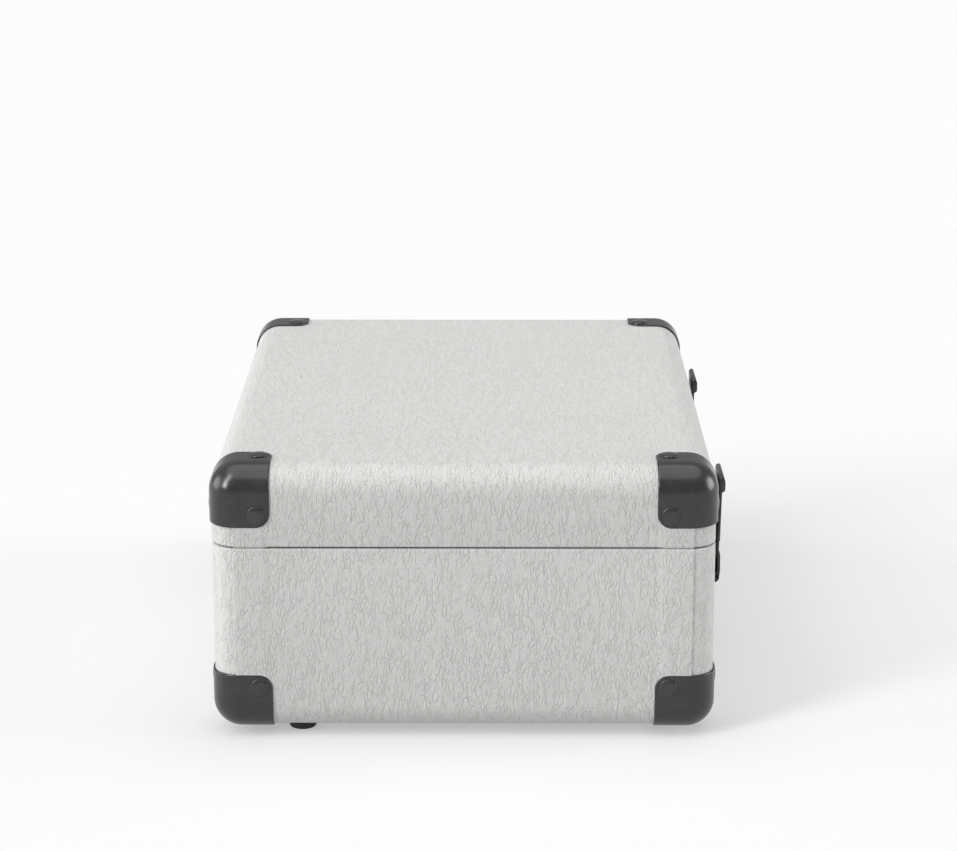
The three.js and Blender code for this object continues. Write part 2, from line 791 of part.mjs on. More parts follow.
function haspBase( side ) {

	const x0 = side * HASP_X - HASP_WIDTH / 2;
	const x1 = x0 + HASP_WIDTH;
	const plate = block(
		[ x0, x1 ],
		[ off( REST + HASP_PLATE ), off( REST ) ],
		[ HASP_PIVOT_Z - HASP_KNUCKLE_RADIUS, SEAM_Z - 5 ],
	);
	const y = off( HASP_PIVOT_OUT );
	const room = rodX(
		[ x0 + HASP_KNUCKLE_WIDTH, x1 - HASP_KNUCKLE_WIDTH ], y, HASP_PIVOT_Z, HASP_KNUCKLE_RADIUS + REST,
	);
	return plate.cut( room ).join(
		rodX( [ x0, x0 + HASP_KNUCKLE_WIDTH ], y, HASP_PIVOT_Z, HASP_KNUCKLE_RADIUS ),
		rodX( [ x1 - HASP_KNUCKLE_WIDTH, x1 ], y, HASP_PIVOT_Z, HASP_KNUCKLE_RADIUS ),
		rodX( [ x0 + 1, x1 - 1 ], y, HASP_PIVOT_Z, HASP_PIN_RADIUS ),
	);

}

/** The swinging hasp: a strap that leans out as it rises and ends in a folded finger lip. */
function hasp( side ) {

	const x0 = side * HASP_X - HASP_WIDTH / 2;
	const x1 = x0 + HASP_WIDTH;
	const top = SEAM_Z + HASP_RISE;
	const lipFoot = top - HASP_LIP_DROP;
	const lipOut = HASP_OUT;
	const strapOut = lipOut - 1.7;
	const strapIn = strapOut - HASP_SHEET;
	const strap = profileX( [
		[ off( HASP_PIVOT_OUT + 0.3 ), HASP_PIVOT_Z ],
		[ off( HASP_PIVOT_OUT + 2.7 ), HASP_PIVOT_Z ],
		[ off( lipOut - 1.9 ), HASP_PIVOT_Z + 3 ],
		[ off( lipOut - 1.9 ), HASP_PIVOT_Z + 13 ],
		[ off( lipOut - 2.7 ), HASP_PIVOT_Z + 15 ],
		[ off( lipOut - 2.0 ), SEAM_Z - 2.5 ],
		[ off( strapOut ), lipFoot - 4 ],
		[ off( strapOut ), lipFoot ],
		[ off( lipOut - 0.8 ), lipFoot ],
		[ off( lipOut ), lipFoot + 1 ],
		[ off( lipOut ), top - 1.6 ],
		[ off( lipOut - 0.6 ), top - 0.4 ],
		[ off( lipOut - 1.6 ), top ],
		[ off( strapIn + 0.6 ), top - 0.5 ],
		[ off( strapIn ), top - 1.8 ],
		[ off( strapIn ), lipFoot - 4 ],
		[ off( lipOut - 2.0 - HASP_SHEET ), SEAM_Z - 2.5 ],
		[ off( lipOut - 2.7 - HASP_SHEET ), HASP_PIVOT_Z + 15 ],
	], [ x0, x1 ] );
	const y = off( HASP_PIVOT_OUT );
	const fixed = HASP_KNUCKLE_WIDTH + REST;
	const sideRoom = HASP_KNUCKLE_RADIUS + REST;
	return strap
		.cut( rodX( [ x0 - 1, x0 + fixed ], y, HASP_PIVOT_Z, sideRoom ) )
		.cut( rodX( [ x1 - fixed, x1 + 1 ], y, HASP_PIVOT_Z, sideRoom ) )
		.cut( block( [ x0 - 1, x0 + fixed ], [ off( HASP_OUT ), off( 0 ) ], [ 0, HASP_PIVOT_Z ] ) )
		.cut( block( [ x1 - fixed, x1 + 1 ], [ off( HASP_OUT ), off( 0 ) ], [ 0, HASP_PIVOT_Z ] ) )
		.join( rodX( [ x0 + fixed, x1 - fixed ], y, HASP_PIVOT_Z, HASP_KNUCKLE_RADIUS ) )
		.cut( rodX( [ x0 - 1, x1 + 1 ], y, HASP_PIVOT_Z, HASP_PIN_RADIUS + PIN_PLAY ) );

}

/** The catch on the lid that the hasp's lip closes over. */
function haspKeeper( side ) {

	const middle = side * HASP_X;
	const foot = LID_BOTTOM + 2;
	const top = SEAM_Z + HASP_RISE - 1;
	return profileX( [
		[ off( REST ), foot ],
		[ off( REST + HASP_PLATE ), foot ],
		[ off( REST + HASP_PLATE ), top - 9 ],
		[ off( KEEPER_NOSE_OUT ), top - 6 ],
		[ off( KEEPER_NOSE_OUT ), top - 4.5 ],
		[ off( REST + HASP_PLATE ), top - 2.5 ],
		[ off( REST + HASP_PLATE ), top ],
		[ off( REST ), top ],
	], [ middle - KEEPER_WIDTH / 2, middle + KEEPER_WIDTH / 2 ] );

}

/** A handle mount: a plate on the front face with an eye that holds the handle's pin. */
function handleMount( side ) {

	const middle = side * ( HANDLE_PIVOT_X + HANDLE_MOUNT_WIDTH / 2 );
	const xs = [ middle - HANDLE_MOUNT_WIDTH / 2, middle + HANDLE_MOUNT_WIDTH / 2 ];
	const y = off( HANDLE_PIVOT_OUT );
	const plate = block(
		xs,
		[ off( REST + HANDLE_MOUNT_PLATE ), off( REST ) ],
		[ HANDLE_PIVOT_Z - HANDLE_MOUNT_HEIGHT / 2, HANDLE_PIVOT_Z + HANDLE_MOUNT_HEIGHT / 2 ],
	);
	const neck = block(
		xs,
		[ off( HANDLE_PIVOT_OUT ), off( REST ) ],
		[ HANDLE_PIVOT_Z - HANDLE_BOSS_RADIUS, HANDLE_PIVOT_Z + HANDLE_BOSS_RADIUS ],
	);
	return plate
		.join( neck, rodX( xs, y, HANDLE_PIVOT_Z, HANDLE_BOSS_RADIUS ) )
		.cut( rodX( [ xs[ 0 ] - 1, xs[ 1 ] + 1 ], y, HANDLE_PIVOT_Z, HANDLE_PIN_RADIUS + PIN_PLAY ) );

}

/** The handle, hanging: two legs from the pins down to a thick grip. */
function handle() {

	const gripZ = HANDLE_PIVOT_Z - HANDLE_DROP;
	const halfGrip = HANDLE_GRIP_LENGTH / 2;
	const innerX = HANDLE_PIVOT_X - REST;
	const halfThick = HANDLE_GRIP_THICKNESS / 2;
	const section = roundedRectangle(
		off( HANDLE_GRIP_OUT + halfThick ),
		off( HANDLE_GRIP_OUT - halfThick ),
		gripZ - HANDLE_GRIP_HEIGHT / 2,
		gripZ + HANDLE_GRIP_HEIGHT / 2,
		halfThick * 0.8,
	);
	const legFace = [ off( HANDLE_PIVOT_OUT + 2.2 ), off( HANDLE_PIVOT_OUT - 2.2 ) ];
	const parts = SIDES.map( ( [ , side ] ) => profileY( [
		[ side * innerX, HANDLE_PIVOT_Z + HANDLE_LEG / 2 ],
		[ side * ( innerX - HANDLE_LEG ), HANDLE_PIVOT_Z + HANDLE_LEG / 2 ],
		[ side * ( innerX - HANDLE_LEG ), HANDLE_PIVOT_Z - 7 ],
		[ side * ( halfGrip - 6 ), gripZ + 3 ],
		[ side * ( halfGrip - 6 ), gripZ - HANDLE_LEG ],
		[ side * ( halfGrip + 1 ), gripZ - HANDLE_LEG ],
		[ side * innerX, HANDLE_PIVOT_Z - 9 ],
	], legFace ) );
	const pins = SIDES.map( ( [ , side ] ) => {

		const ends = [ side * ( innerX - 2 ), side * ( HANDLE_PIVOT_X + HANDLE_MOUNT_WIDTH - 1.5 ) ];
		return rodX( ends.sort( ( a, b ) => a - b ), off( HANDLE_PIVOT_OUT ), HANDLE_PIVOT_Z, HANDLE_PIN_RADIUS );

	} );
	return profileX( section, [ - halfGrip, halfGrip ] ).join( ...parts, ...pins );

}

function buildHardware( baseGroup, lidGroup ) {

	for ( const [ side, sign ] of SIDES ) {

		piece( baseGroup, `hinge_base_${side}`, hingeLeaf( sign, 'base' ), FINISHES.steel );
		piece( lidGroup, `hinge_lid_${side}`, hingeLeaf( sign, 'lid' ), FINISHES.steel );
		piece( baseGroup, `latch_base_${side}`, haspBase( sign ), FINISHES.latch );
		piece( baseGroup, `latch_hasp_${side}`, hasp( sign ), FINISHES.latch );
		piece( lidGroup, `latch_keeper_${side}`, haspKeeper( sign ), FINISHES.latch );
		piece( baseGroup, `handle_mount_${side}`, handleMount( sign ), FINISHES.latch );

	}

	piece( baseGroup, 'handle', handle(), FINISHES.latch );

}

// ---------------------------------------------------------------- deck

/** A point in the deck's plan from the arm's pivot: ahead along the resting arm, and to its outer side. */
function fromPivot( ahead, outwards ) {

	const turn = radians( ARM_REST_ANGLE );
	return [
		ARM_X + ahead * Math.sin( turn ) + outwards * Math.cos( turn ),
		ARM_Y - ahead * Math.cos( turn ) + outwards * Math.sin( turn ),
	];

}

/** The point of the cueing arc at an angle from the resting arm, in the arm's own frame. */
function cuePoint( degrees, radius = CUE_RADIUS ) {

	const turn = radians( degrees );
	return [ - radius * Math.sin( turn ), - radius * Math.cos( turn ) ];

}

/** Straight grille slots over a speaker, each as long as the round opening is wide there. */
function grilleSlots( x ) {

	const slots = [];
	const reach = SPEAKER_RADIUS - 4;
	for ( let i = 0; i < SLOT_COUNT; i ++ ) {

		const dy = ( i - ( SLOT_COUNT - 1 ) / 2 ) * SLOT_PITCH;
		const half = Math.sqrt( reach ** 2 - dy ** 2 );
		slots.push( block(
			[ x - half, x + half ],
			[ SPEAKER_Y + dy - SLOT_WIDTH / 2, SPEAKER_Y + dy + SLOT_WIDTH / 2 ],
			[ DECK_BOTTOM - 1, DECK_TOP + 1 ],
		) );

	}

	return slots;

}

function switchSlot( x ) {

	const half = SWITCH_TRAVEL + SWITCH_STEM[ 0 ] / 2 + SLIDE;
	const halfWidth = SWITCH_STEM[ 1 ] / 2 + SLIDE;
	return block( [ x - half, x + half ], [ SWITCH_Y - halfWidth, SWITCH_Y + halfWidth ], [ DECK_BOTTOM - 1, DECK_TOP + 1 ] );

}

function deck() {

	const through = [ DECK_BOTTOM - 1, DECK_TOP + 1 ];
	const halfX = INNER_X - SLIDE;
	const halfY = INNER_Y - SLIDE;
	const [ rodOut, rodAlong ] = cuePoint( CUE_ROD_ANGLE );
	const [ cueRodX, cueRodY ] = fromPivot( - rodAlong, rodOut );
	const recess = post( ADAPTER_X, ADAPTER_Y, [ DECK_TOP - ADAPTER_RECESS, DECK_TOP + 1 ], ADAPTER_RADIUS + SLIDE, FINE );
	const peg = post( ADAPTER_X, ADAPTER_Y, [ DECK_TOP - ADAPTER_RECESS - 0.5, DECK_TOP + 2 ], ADAPTER_PEG_RADIUS, COARSE );
	return block( [ - halfX, halfX ], [ - halfY, halfY ], [ DECK_BOTTOM, DECK_TOP ] )
		.cut( recess )
		.join( peg )
		.cut(
			post( SPINDLE_X, SPINDLE_Y, through, BEARING_RADIUS + REST ),
			post( PULLEY_X, PULLEY_Y, through, PULLEY_RADIUS + 2.5 ),
			post( cueRodX, cueRodY, through, CUE_ROD_RADIUS + SLIDE, COARSE ),
			post( KNOB_X, KNOB_Y, through, KNOB_SHAFT_RADIUS + SLIDE, COARSE ),
			post( KNOB_X, PHONES_Y, through, PHONES_RADIUS - 1 + REST, COARSE ),
			post( KNOB_X, LIGHT_Y, through, LIGHT_RADIUS + REST, COARSE ),
			switchSlot( SPEED_SWITCH_X ),
			switchSlot( STOP_SWITCH_X ),
			...grilleSlots( - SPEAKER_X ),
			...grilleSlots( SPEAKER_X ),
		);

}

/** A slide switch's button, with the stem that goes down through its slot. */
function switchButton( x ) {

	const [ length, width, height ] = SWITCH_KNOB;
	const [ stemLength, stemWidth ] = SWITCH_STEM;
	const body = profileX( [
		[ SWITCH_Y - width / 2, ON_DECK ],
		[ SWITCH_Y + width / 2, ON_DECK ],
		[ SWITCH_Y + width / 2 - 1, ON_DECK + height ],
		[ SWITCH_Y - width / 2 + 1, ON_DECK + height ],
	], [ x - length / 2, x + length / 2 ] );
	const stem = block(
		[ x - stemLength / 2, x + stemLength / 2 ],
		[ SWITCH_Y - stemWidth / 2, SWITCH_Y + stemWidth / 2 ],
		[ DECK_BOTTOM - 3, ON_DECK + 1 ],
	);
	return body.join( stem );

}

function volumeKnob() {

	const bottom = ON_DECK + 0.5;
	const top = bottom + KNOB_HEIGHT;
	const knob = turned( KNOB_X, KNOB_Y, [
		[ 0, bottom ],
		[ KNOB_RADIUS, bottom ],
		[ KNOB_RADIUS - 0.8, top - 1 ],
		[ KNOB_RADIUS - 1.8, top ],
		[ 0, top ],
	] );
	const shaft = post( KNOB_X, KNOB_Y, [ DECK_BOTTOM - 8, bottom + 1 ], KNOB_SHAFT_RADIUS, COARSE );
	const mark = block( [ KNOB_X - 0.7, KNOB_X + 0.7 ], [ KNOB_Y + 3, KNOB_Y + KNOB_RADIUS - 2.2 ], [ top - 0.5, top + 0.4 ] );
	return knob.join( shaft, mark );

}

function headphoneJack() {

	return turned( KNOB_X, PHONES_Y, [
		[ PHONES_BORE, DECK_BOTTOM - 12 ],
		[ PHONES_RADIUS - 1, DECK_BOTTOM - 12 ],
		[ PHONES_RADIUS - 1, ON_DECK ],
		[ PHONES_RADIUS, ON_DECK ],
		[ PHONES_RADIUS, ON_DECK + 1 ],
		[ PHONES_BORE, ON_DECK + 1 ],
		[ PHONES_BORE, DECK_BOTTOM - 12 ],
	], COARSE );

}

function powerLight() {

	return turned( KNOB_X, LIGHT_Y, [
		[ 0, DECK_BOTTOM - 4 ],
		[ LIGHT_RADIUS, DECK_BOTTOM - 4 ],
		[ LIGHT_RADIUS, DECK_TOP + 0.6 ],
		[ LIGHT_RADIUS * 0.6, DECK_TOP + 1.4 ],
		[ 0, DECK_TOP + 1.6 ],
	], COARSE );

}

function adapter() {

	const bottom = DECK_TOP - ADAPTER_RECESS + REST;
	const top = bottom + ADAPTER_HEIGHT;
	return turned( ADAPTER_X, ADAPTER_Y, [
		[ ADAPTER_BORE, bottom ],
		[ ADAPTER_RADIUS, bottom ],
		[ ADAPTER_RADIUS, bottom + 2 ],
		[ ADAPTER_RADIUS - 3, top ],
		[ ADAPTER_BORE, top ],
		[ ADAPTER_BORE, bottom ],
	] );

}

function buildControls( group ) {

	piece( group, 'speed_switch', switchButton( SPEED_SWITCH_X ), FINISHES.black );
	piece( group, 'autostop_switch', switchButton( STOP_SWITCH_X ), FINISHES.black );
	piece( group, 'volume_knob', volumeKnob(), FINISHES.steel );
	piece( group, 'headphone_jack', headphoneJack(), FINISHES.steel );
	piece( group, 'power_light', powerLight(), FINISHES.light );
	piece( group, 'adapter_45', adapter(), FINISHES.black );

}

// ---------------------------------------------------------------- sound

/** A speaker's frame and magnet, hung under the deck; built on its own axis. */
function speakerFrame( x ) {

	const top = UNDER_DECK;
	const magnetTop = top - SPEAKER_DEPTH + MAGNET_HEIGHT;
	return turned( x, SPEAKER_Y, [
		[ 0, top - SPEAKER_DEPTH ],
		[ MAGNET_RADIUS, top - SPEAKER_DEPTH ],
		[ MAGNET_RADIUS, magnetTop ],
		[ SPEAKER_RADIUS - 4, top - SPEAKER_FLANGE ],
		[ SPEAKER_RADIUS, top - SPEAKER_FLANGE ],
		[ SPEAKER_RADIUS, top ],
		[ SPEAKER_RADIUS - 3, top ],
		[ MAGNET_RADIUS - 3, magnetTop + 1.5 ],
		[ 0, magnetTop + 1.5 ],
	] );

}

function speakerCone( x ) {

	const top = UNDER_DECK - 1;
	const rim = SPEAKER_RADIUS - 6;
	const throatZ = top - SPEAKER_DEPTH + MAGNET_HEIGHT + 4;
	const throat = MAGNET_RADIUS - 8;
	return turned( x, SPEAKER_Y, [
		[ 0, throatZ + 3 ],
		[ throat * 0.6, throatZ + 2.2 ],
		[ throat, throatZ ],
		[ rim, top - CONE_SHEET ],
		[ rim, top ],
		[ rim - 1, top ],
		[ throat, throatZ + 2 * CONE_SHEET ],
		[ throat * 0.6, throatZ + 2.2 + CONE_SHEET ],
		[ 0, throatZ + 3 + CONE_SHEET ],
	] );

}

/** The circuit board on its stand-offs, with the heat sink, potentiometer and tall parts. */
function amplifierBoard() {

	const boardZ = FLOOR_THICKNESS + REST + BOARD_STANDOFF;
	const x = [ BOARD_X - BOARD_LENGTH / 2, BOARD_X + BOARD_LENGTH / 2 ];
	const y = [ BOARD_Y - BOARD_WIDTH / 2, BOARD_Y + BOARD_WIDTH / 2 ];
	const top = boardZ + BOARD_THICKNESS;
	let board = block( x, y, [ boardZ, top ] );
	for ( const postX of [ x[ 0 ] + STANDOFF_INSET, x[ 1 ] - STANDOFF_INSET ] ) {

		for ( const postY of [ y[ 0 ] + STANDOFF_INSET, BOARD_Y + STANDOFF_INSET ] ) {

			board = board.join( post( postX, postY, [ FLOOR_THICKNESS + REST, boardZ + 0.5 ], STANDOFF_RADIUS, COARSE ) );

		}

	}

	const heatSink = block(
		HEAT_SINK_SPAN.map( ( dx ) => BOARD_X + dx ),
		[ y[ 0 ] + HEAT_SINK_WIDTH / 2, y[ 0 ] + HEAT_SINK_WIDTH * 1.5 ],
		[ top - 0.5, top + HEAT_SINK_HEIGHT ],
	);
	const capacitors = CAPACITOR_PLACES.map(
		( dx ) => post( BOARD_X + dx, BOARD_Y + CAPACITOR_RADIUS, [ top - 0.5, top + CAPACITOR_HEIGHT ], CAPACITOR_RADIUS, COARSE ),
	);
	return board.join( heatSink, ...capacitors );

}

/** The recessed tray in the rear wall that carries the sockets. */
function jackPanel() {

	const halfL = PANEL_LENGTH / 2;
	const halfH = PANEL_HEIGHT / 2;
	const face = HALF_DEPTH + HINGE_LEAF_LIFT;
	const back = HALF_DEPTH - PANEL_DEPTH;
	const flange = block(
		[ PANEL_X - halfL - PANEL_FLANGE, PANEL_X + halfL + PANEL_FLANGE ],
		[ face, face + PANEL_SHEET ],
		[ PANEL_Z - halfH - PANEL_FLANGE, PANEL_Z + halfH + PANEL_FLANGE ],
	);
	const body = block( [ PANEL_X - halfL, PANEL_X + halfL ], [ back, face + 0.5 ], [ PANEL_Z - halfH, PANEL_Z + halfH ] );
	const hollow = block(
		[ PANEL_X - halfL + PANEL_WALL, PANEL_X + halfL - PANEL_WALL ],
		[ back + PANEL_WALL, face + PANEL_SHEET + 1 ],
		[ PANEL_Z - halfH + PANEL_WALL, PANEL_Z + halfH - PANEL_WALL ],
	);
	const holes = phonoPlaces().map( ( x ) => rodY( x, [ back - 1, back + 4 ], PANEL_Z, PHONO_RADIUS + REST, ROUND ) );
	const powerHole = rodY( powerPlace(), [ back - 1, back + 4 ], PANEL_Z, POWER_RADIUS + REST, ROUND );
	return flange.join( body ).cut( hollow, ...holes, powerHole );

}

function phonoPlaces() {

	const pair = PANEL_X + PHONO_PAIR_AT;
	return [ pair - PHONO_SPACING / 2, pair + PHONO_SPACING / 2 ];

}

function powerPlace() {

	return PANEL_X + POWER_AT;

}

/** The pair of phono sockets: two barrels on one moulded block. */
function phonoBlock() {

	const back = HALF_DEPTH - PANEL_DEPTH;
	const [ x0, x1 ] = phonoPlaces();
	const [ border, depth ] = PHONO_BLOCK;
	const body = block( [ x0 - border, x1 + border ], [ back - REST - depth, back - REST ], [ PANEL_Z - border, PANEL_Z + border ] );
	const barrels = [ x0, x1 ].map(
		( x ) => rodY( x, [ back - REST - 1, back + PANEL_WALL + PHONO_LENGTH ], PANEL_Z, PHONO_RADIUS, ROUND ),
	);
	const bores = [ x0, x1 ].map(
		( x ) => rodY( x, [ back - REST - 5, back + PANEL_WALL + PHONO_LENGTH + 1 ], PANEL_Z, PHONO_BORE, COARSE ),
	);
	return body.join( ...barrels ).cut( ...bores );

}

/** The low-voltage power inlet, with its centre pin. */
function powerSocket() {

	const back = HALF_DEPTH - PANEL_DEPTH;
	const x = powerPlace();
	const end = back + PANEL_WALL + POWER_LENGTH;
	const [ border, depth ] = POWER_BLOCK;
	return block( [ x - border, x + border ], [ back - REST - depth, back - REST ], [ PANEL_Z - border, PANEL_Z + border ] )
		.join( rodY( x, [ back - REST - 1, end ], PANEL_Z, POWER_RADIUS, ROUND ) )
		.cut( rodY( x, [ back - REST - 8, end + 1 ], PANEL_Z, POWER_BORE, COARSE ) )
		.join( rodY( x, [ back - REST - 9, end - 0.8 ], PANEL_Z, POWER_PIN_RADIUS, COARSE ) );

}

function buildSound( group ) {

	for ( const [ side, sign ] of SIDES ) {

		piece( group, `speaker_${side}`, speakerFrame( sign * SPEAKER_X ), FINISHES.black );
		piece( group, `speaker_cone_${side}`, speakerCone( sign * SPEAKER_X ), FINISHES.paper );

	}

	piece( group, 'amplifier_board', amplifierBoard(), FINISHES.circuit );
	piece( group, 'jack_panel', jackPanel(), FINISHES.black );
	piece( group, 'phono_sockets', phonoBlock(), FINISHES.brass );
	piece( group, 'power_socket', powerSocket(), FINISHES.black );

}

// ---------------------------------------------------------------- platter and drive

/** The platter: a disc with a skirt, a belt ring underneath and a bored hub. */
function platter() {

	const under = PLATTER_TOP - PLATTER_DISC;
	const bore = SPINDLE_RADIUS + PIN_PLAY;
	const ringInner = DRIVE_RING_RADIUS - DRIVE_RING_WALL;
	const hubBottom = ON_DECK + BEARING_FLANGE + SLIDE;
	return turned( 0, 0, [
		[ bore, hubBottom ],
		[ HUB_RADIUS, hubBottom ],
		[ HUB_RADIUS, under ],
		[ ringInner, under ],
		[ ringInner, PLATTER_BOTTOM ],
		[ DRIVE_RING_RADIUS, PLATTER_BOTTOM ],
		[ DRIVE_RING_RADIUS, under ],
		[ PLATTER_RADIUS - PLATTER_SKIRT, under ],
		[ PLATTER_RADIUS - PLATTER_SKIRT, PLATTER_BOTTOM ],
		[ PLATTER_RADIUS, PLATTER_BOTTOM ],
		[ PLATTER_RADIUS, PLATTER_TOP - 1 ],
		[ PLATTER_RADIUS - 1, PLATTER_TOP ],
		[ bore, PLATTER_TOP ],
		[ bore, hubBottom ],
	], FINE );

}

function slipMat() {

	const bottom = PLATTER_TOP + REST;
	const bore = SPINDLE_RADIUS + PIN_PLAY;
	return turned( 0, 0, [
		[ bore, bottom ],
		[ PLATTER_RADIUS - MAT_INSET, bottom ],
		[ PLATTER_RADIUS - MAT_INSET, MAT_TOP ],
		[ bore, MAT_TOP ],
		[ bore, bottom ],
	], FINE );

}

function spindle() {

	const top = MAT_TOP + SPINDLE_OVER_MAT;
	return turned( 0, 0, [
		[ 0, DECK_TOP - SPINDLE_BELOW_DECK ],
		[ SPINDLE_RADIUS, DECK_TOP - SPINDLE_BELOW_DECK ],
		[ SPINDLE_RADIUS, top - 3 ],
		[ SPINDLE_RADIUS * 0.7, top - 0.9 ],
		[ 0, top ],
	], ROUND );

}

/** The bearing: a blind bush through the deck with a flange on top. */
function bearing() {

	const bore = SPINDLE_RADIUS + PIN_PLAY;
	const bottom = DECK_TOP - SPINDLE_BELOW_DECK - SLIDE;
	return turned( 0, 0, [
		[ 0, bottom - 3 ],
		[ BEARING_RADIUS, bottom - 3 ],
		[ BEARING_RADIUS, ON_DECK ],
		[ BEARING_FLANGE_RADIUS, ON_DECK ],
		[ BEARING_FLANGE_RADIUS, ON_DECK + BEARING_FLANGE ],
		[ bore, ON_DECK + BEARING_FLANGE ],
		[ bore, bottom ],
		[ 0, bottom ],
	] );

}

/** The motor under the deck, with the two ears that hang it there. */
function motor() {

	const top = UNDER_DECK - MOTOR_DROP;
	const bottom = top - MOTOR_HEIGHT;
	const can = turned( PULLEY_X, PULLEY_Y, [
		[ 0, bottom ],
		[ MOTOR_RADIUS, bottom ],
		[ MOTOR_RADIUS, top ],
		[ MOTOR_SHAFT_RADIUS + PIN_PLAY, top ],
		[ MOTOR_SHAFT_RADIUS + PIN_PLAY, bottom + MOTOR_FLOOR ],
		[ 0, bottom + MOTOR_FLOOR ],
	] );
	const ears = SIDES.map( ( [ , side ] ) => {

		const x = PULLEY_X + side * ( MOTOR_RADIUS + MOTOR_EAR / 2 - 2 );
		return block(
			[ x - MOTOR_EAR / 2, x + MOTOR_EAR / 2 ],
			[ PULLEY_Y - MOTOR_EAR / 2, PULLEY_Y + MOTOR_EAR / 2 ],
			[ top - 4, UNDER_DECK ],
		);

	} );
	return can.join( ...ears );

}

function pulley() {

	const bottom = PLATTER_BOTTOM - 1;
	const shaftBottom = UNDER_DECK - MOTOR_DROP - MOTOR_HEIGHT + MOTOR_FLOOR + SLIDE;
	return turned( 0, 0, [
		[ 0, shaftBottom ],
		[ MOTOR_SHAFT_RADIUS, shaftBottom ],
		[ MOTOR_SHAFT_RADIUS, bottom - 1 ],
		[ PULLEY_RADIUS + PULLEY_LIP, bottom - 1 ],
		[ PULLEY_RADIUS + PULLEY_LIP, bottom ],
		[ PULLEY_RADIUS, bottom + 0.4 ],
		[ PULLEY_RADIUS, PULLEY_TOP - 0.9 ],
		[ PULLEY_RADIUS + PULLEY_LIP * 0.6, PULLEY_TOP ],
		[ 0, PULLEY_TOP ],
	], ROUND );

}

/** The belt's outline around the drive ring and the pulley, `out` off both round faces. */
function beltOutline( out ) {

	const big = DRIVE_RING_RADIUS + out;
	const small = PULLEY_RADIUS + out;
	const lean = Math.acos( ( big - small ) / PULLEY_DISTANCE );
	const heading = radians( PULLEY_BEARING );
	const path = new THREE.Path();
	path.absarc( 0, 0, big, heading + lean, heading - lean + 2 * Math.PI, false );
	path.absarc( PULLEY_X - SPINDLE_X, PULLEY_Y - SPINDLE_Y, small, heading - lean, heading + lean, false );
	return path.getPoints( BELT_STEPS );

}

function belt() {

	const roundness = BELT_GAP + 0.15;
	const outline = new THREE.Shape( beltOutline( roundness + BELT ) );
	outline.holes.push( new THREE.Path( beltOutline( roundness ) ) );
	const middle = ( PLATTER_BOTTOM + PULLEY_TOP ) / 2;
	return slab( outline, [ middle - BELT_WIDTH / 2, middle + BELT_WIDTH / 2 ] );

}

function buildDrive( group ) {

	const turning = new THREE.Group();
	turning.position.set( SPINDLE_X, SPINDLE_Y, 0 );
	piece( turning, 'platter', platter(), FINISHES.platter );
	piece( turning, 'slip_mat', slipMat(), FINISHES.felt );
	piece( turning, 'spindle', spindle(), FINISHES.steel );
	piece( turning, 'bearing_sleeve', bearing(), FINISHES.brass );
	piece( turning, 'drive_belt', belt(), FINISHES.rubber );
	group.add( turning );

	const drive = new THREE.Group();
	drive.position.set( PULLEY_X, PULLEY_Y, 0 );
	piece( drive, 'motor_pulley', pulley(), FINISHES.brass );
	group.add( drive );
	piece( group, 'drive_motor', motor(), FINISHES.steel );

}

// ---------------------------------------------------------------- tonearm
//
// Built in its own frame: the pivot over the origin, the resting arm along -Y, its
// outer side +X, heights as in the rest of the player.

function armBase() {

	const plateTop = ON_DECK + ARM_BASE_PLATE;
	const column = turned( 0, 0, [
		[ 0, ON_DECK ],
		[ ARM_BASE_RADIUS, ON_DECK ],
		[ ARM_BASE_RADIUS, plateTop - 0.8 ],
		[ ARM_BASE_RADIUS - 0.8, plateTop ],
		[ ARM_COLUMN_RADIUS + 1, plateTop ],
		[ ARM_COLUMN_RADIUS, plateTop + 2 ],
		[ ARM_COLUMN_RADIUS, yokeBottom() - SLIDE ],
		[ 0, yokeBottom() - SLIDE ],
	] );
	const hubX = CUE_LEVER_SIDE;
	const hubY = - CUE_LEVER_AHEAD;
	const halfWidth = CUE_LEVER_WIDTH / 2 + REST;
	const tongue = slab(
		roundedRectangle( 0, hubX + halfWidth + CUE_BRACKET_CHEEK, hubY - 6, hubY + 6, 3 ),
		[ ON_DECK, plateTop - 0.5 ],
	);
	const hubZ = cueHubZ();
	const cheek = ( x ) => profileX( [
		[ hubY - 5, ON_DECK + 0.5 ],
		[ hubY + 5, ON_DECK + 0.5 ],
		[ hubY + CUE_LEVER_HUB_RADIUS, hubZ ],
		[ hubY + 2, hubZ + CUE_LEVER_HUB_RADIUS ],
		[ hubY - 2, hubZ + CUE_LEVER_HUB_RADIUS ],
		[ hubY - CUE_LEVER_HUB_RADIUS, hubZ ],
	], [ x, x + CUE_BRACKET_CHEEK ] );
	const left = cheek( hubX - halfWidth - CUE_BRACKET_CHEEK );
	const right = cheek( hubX + halfWidth );
	const pin = rodX( [ hubX - halfWidth - 1, hubX + halfWidth + 1 ], hubY, hubZ, GIMBAL_PIN_RADIUS );
	return column.join( tongue, left, right, pin );

}

function yokeBottom() {

	return ARM_Z - YOKE_BELOW_PIVOT;

}

function cueHubZ() {

	return ON_DECK + ARM_BASE_PLATE + CUE_LEVER_HUB_RADIUS + 1;

}

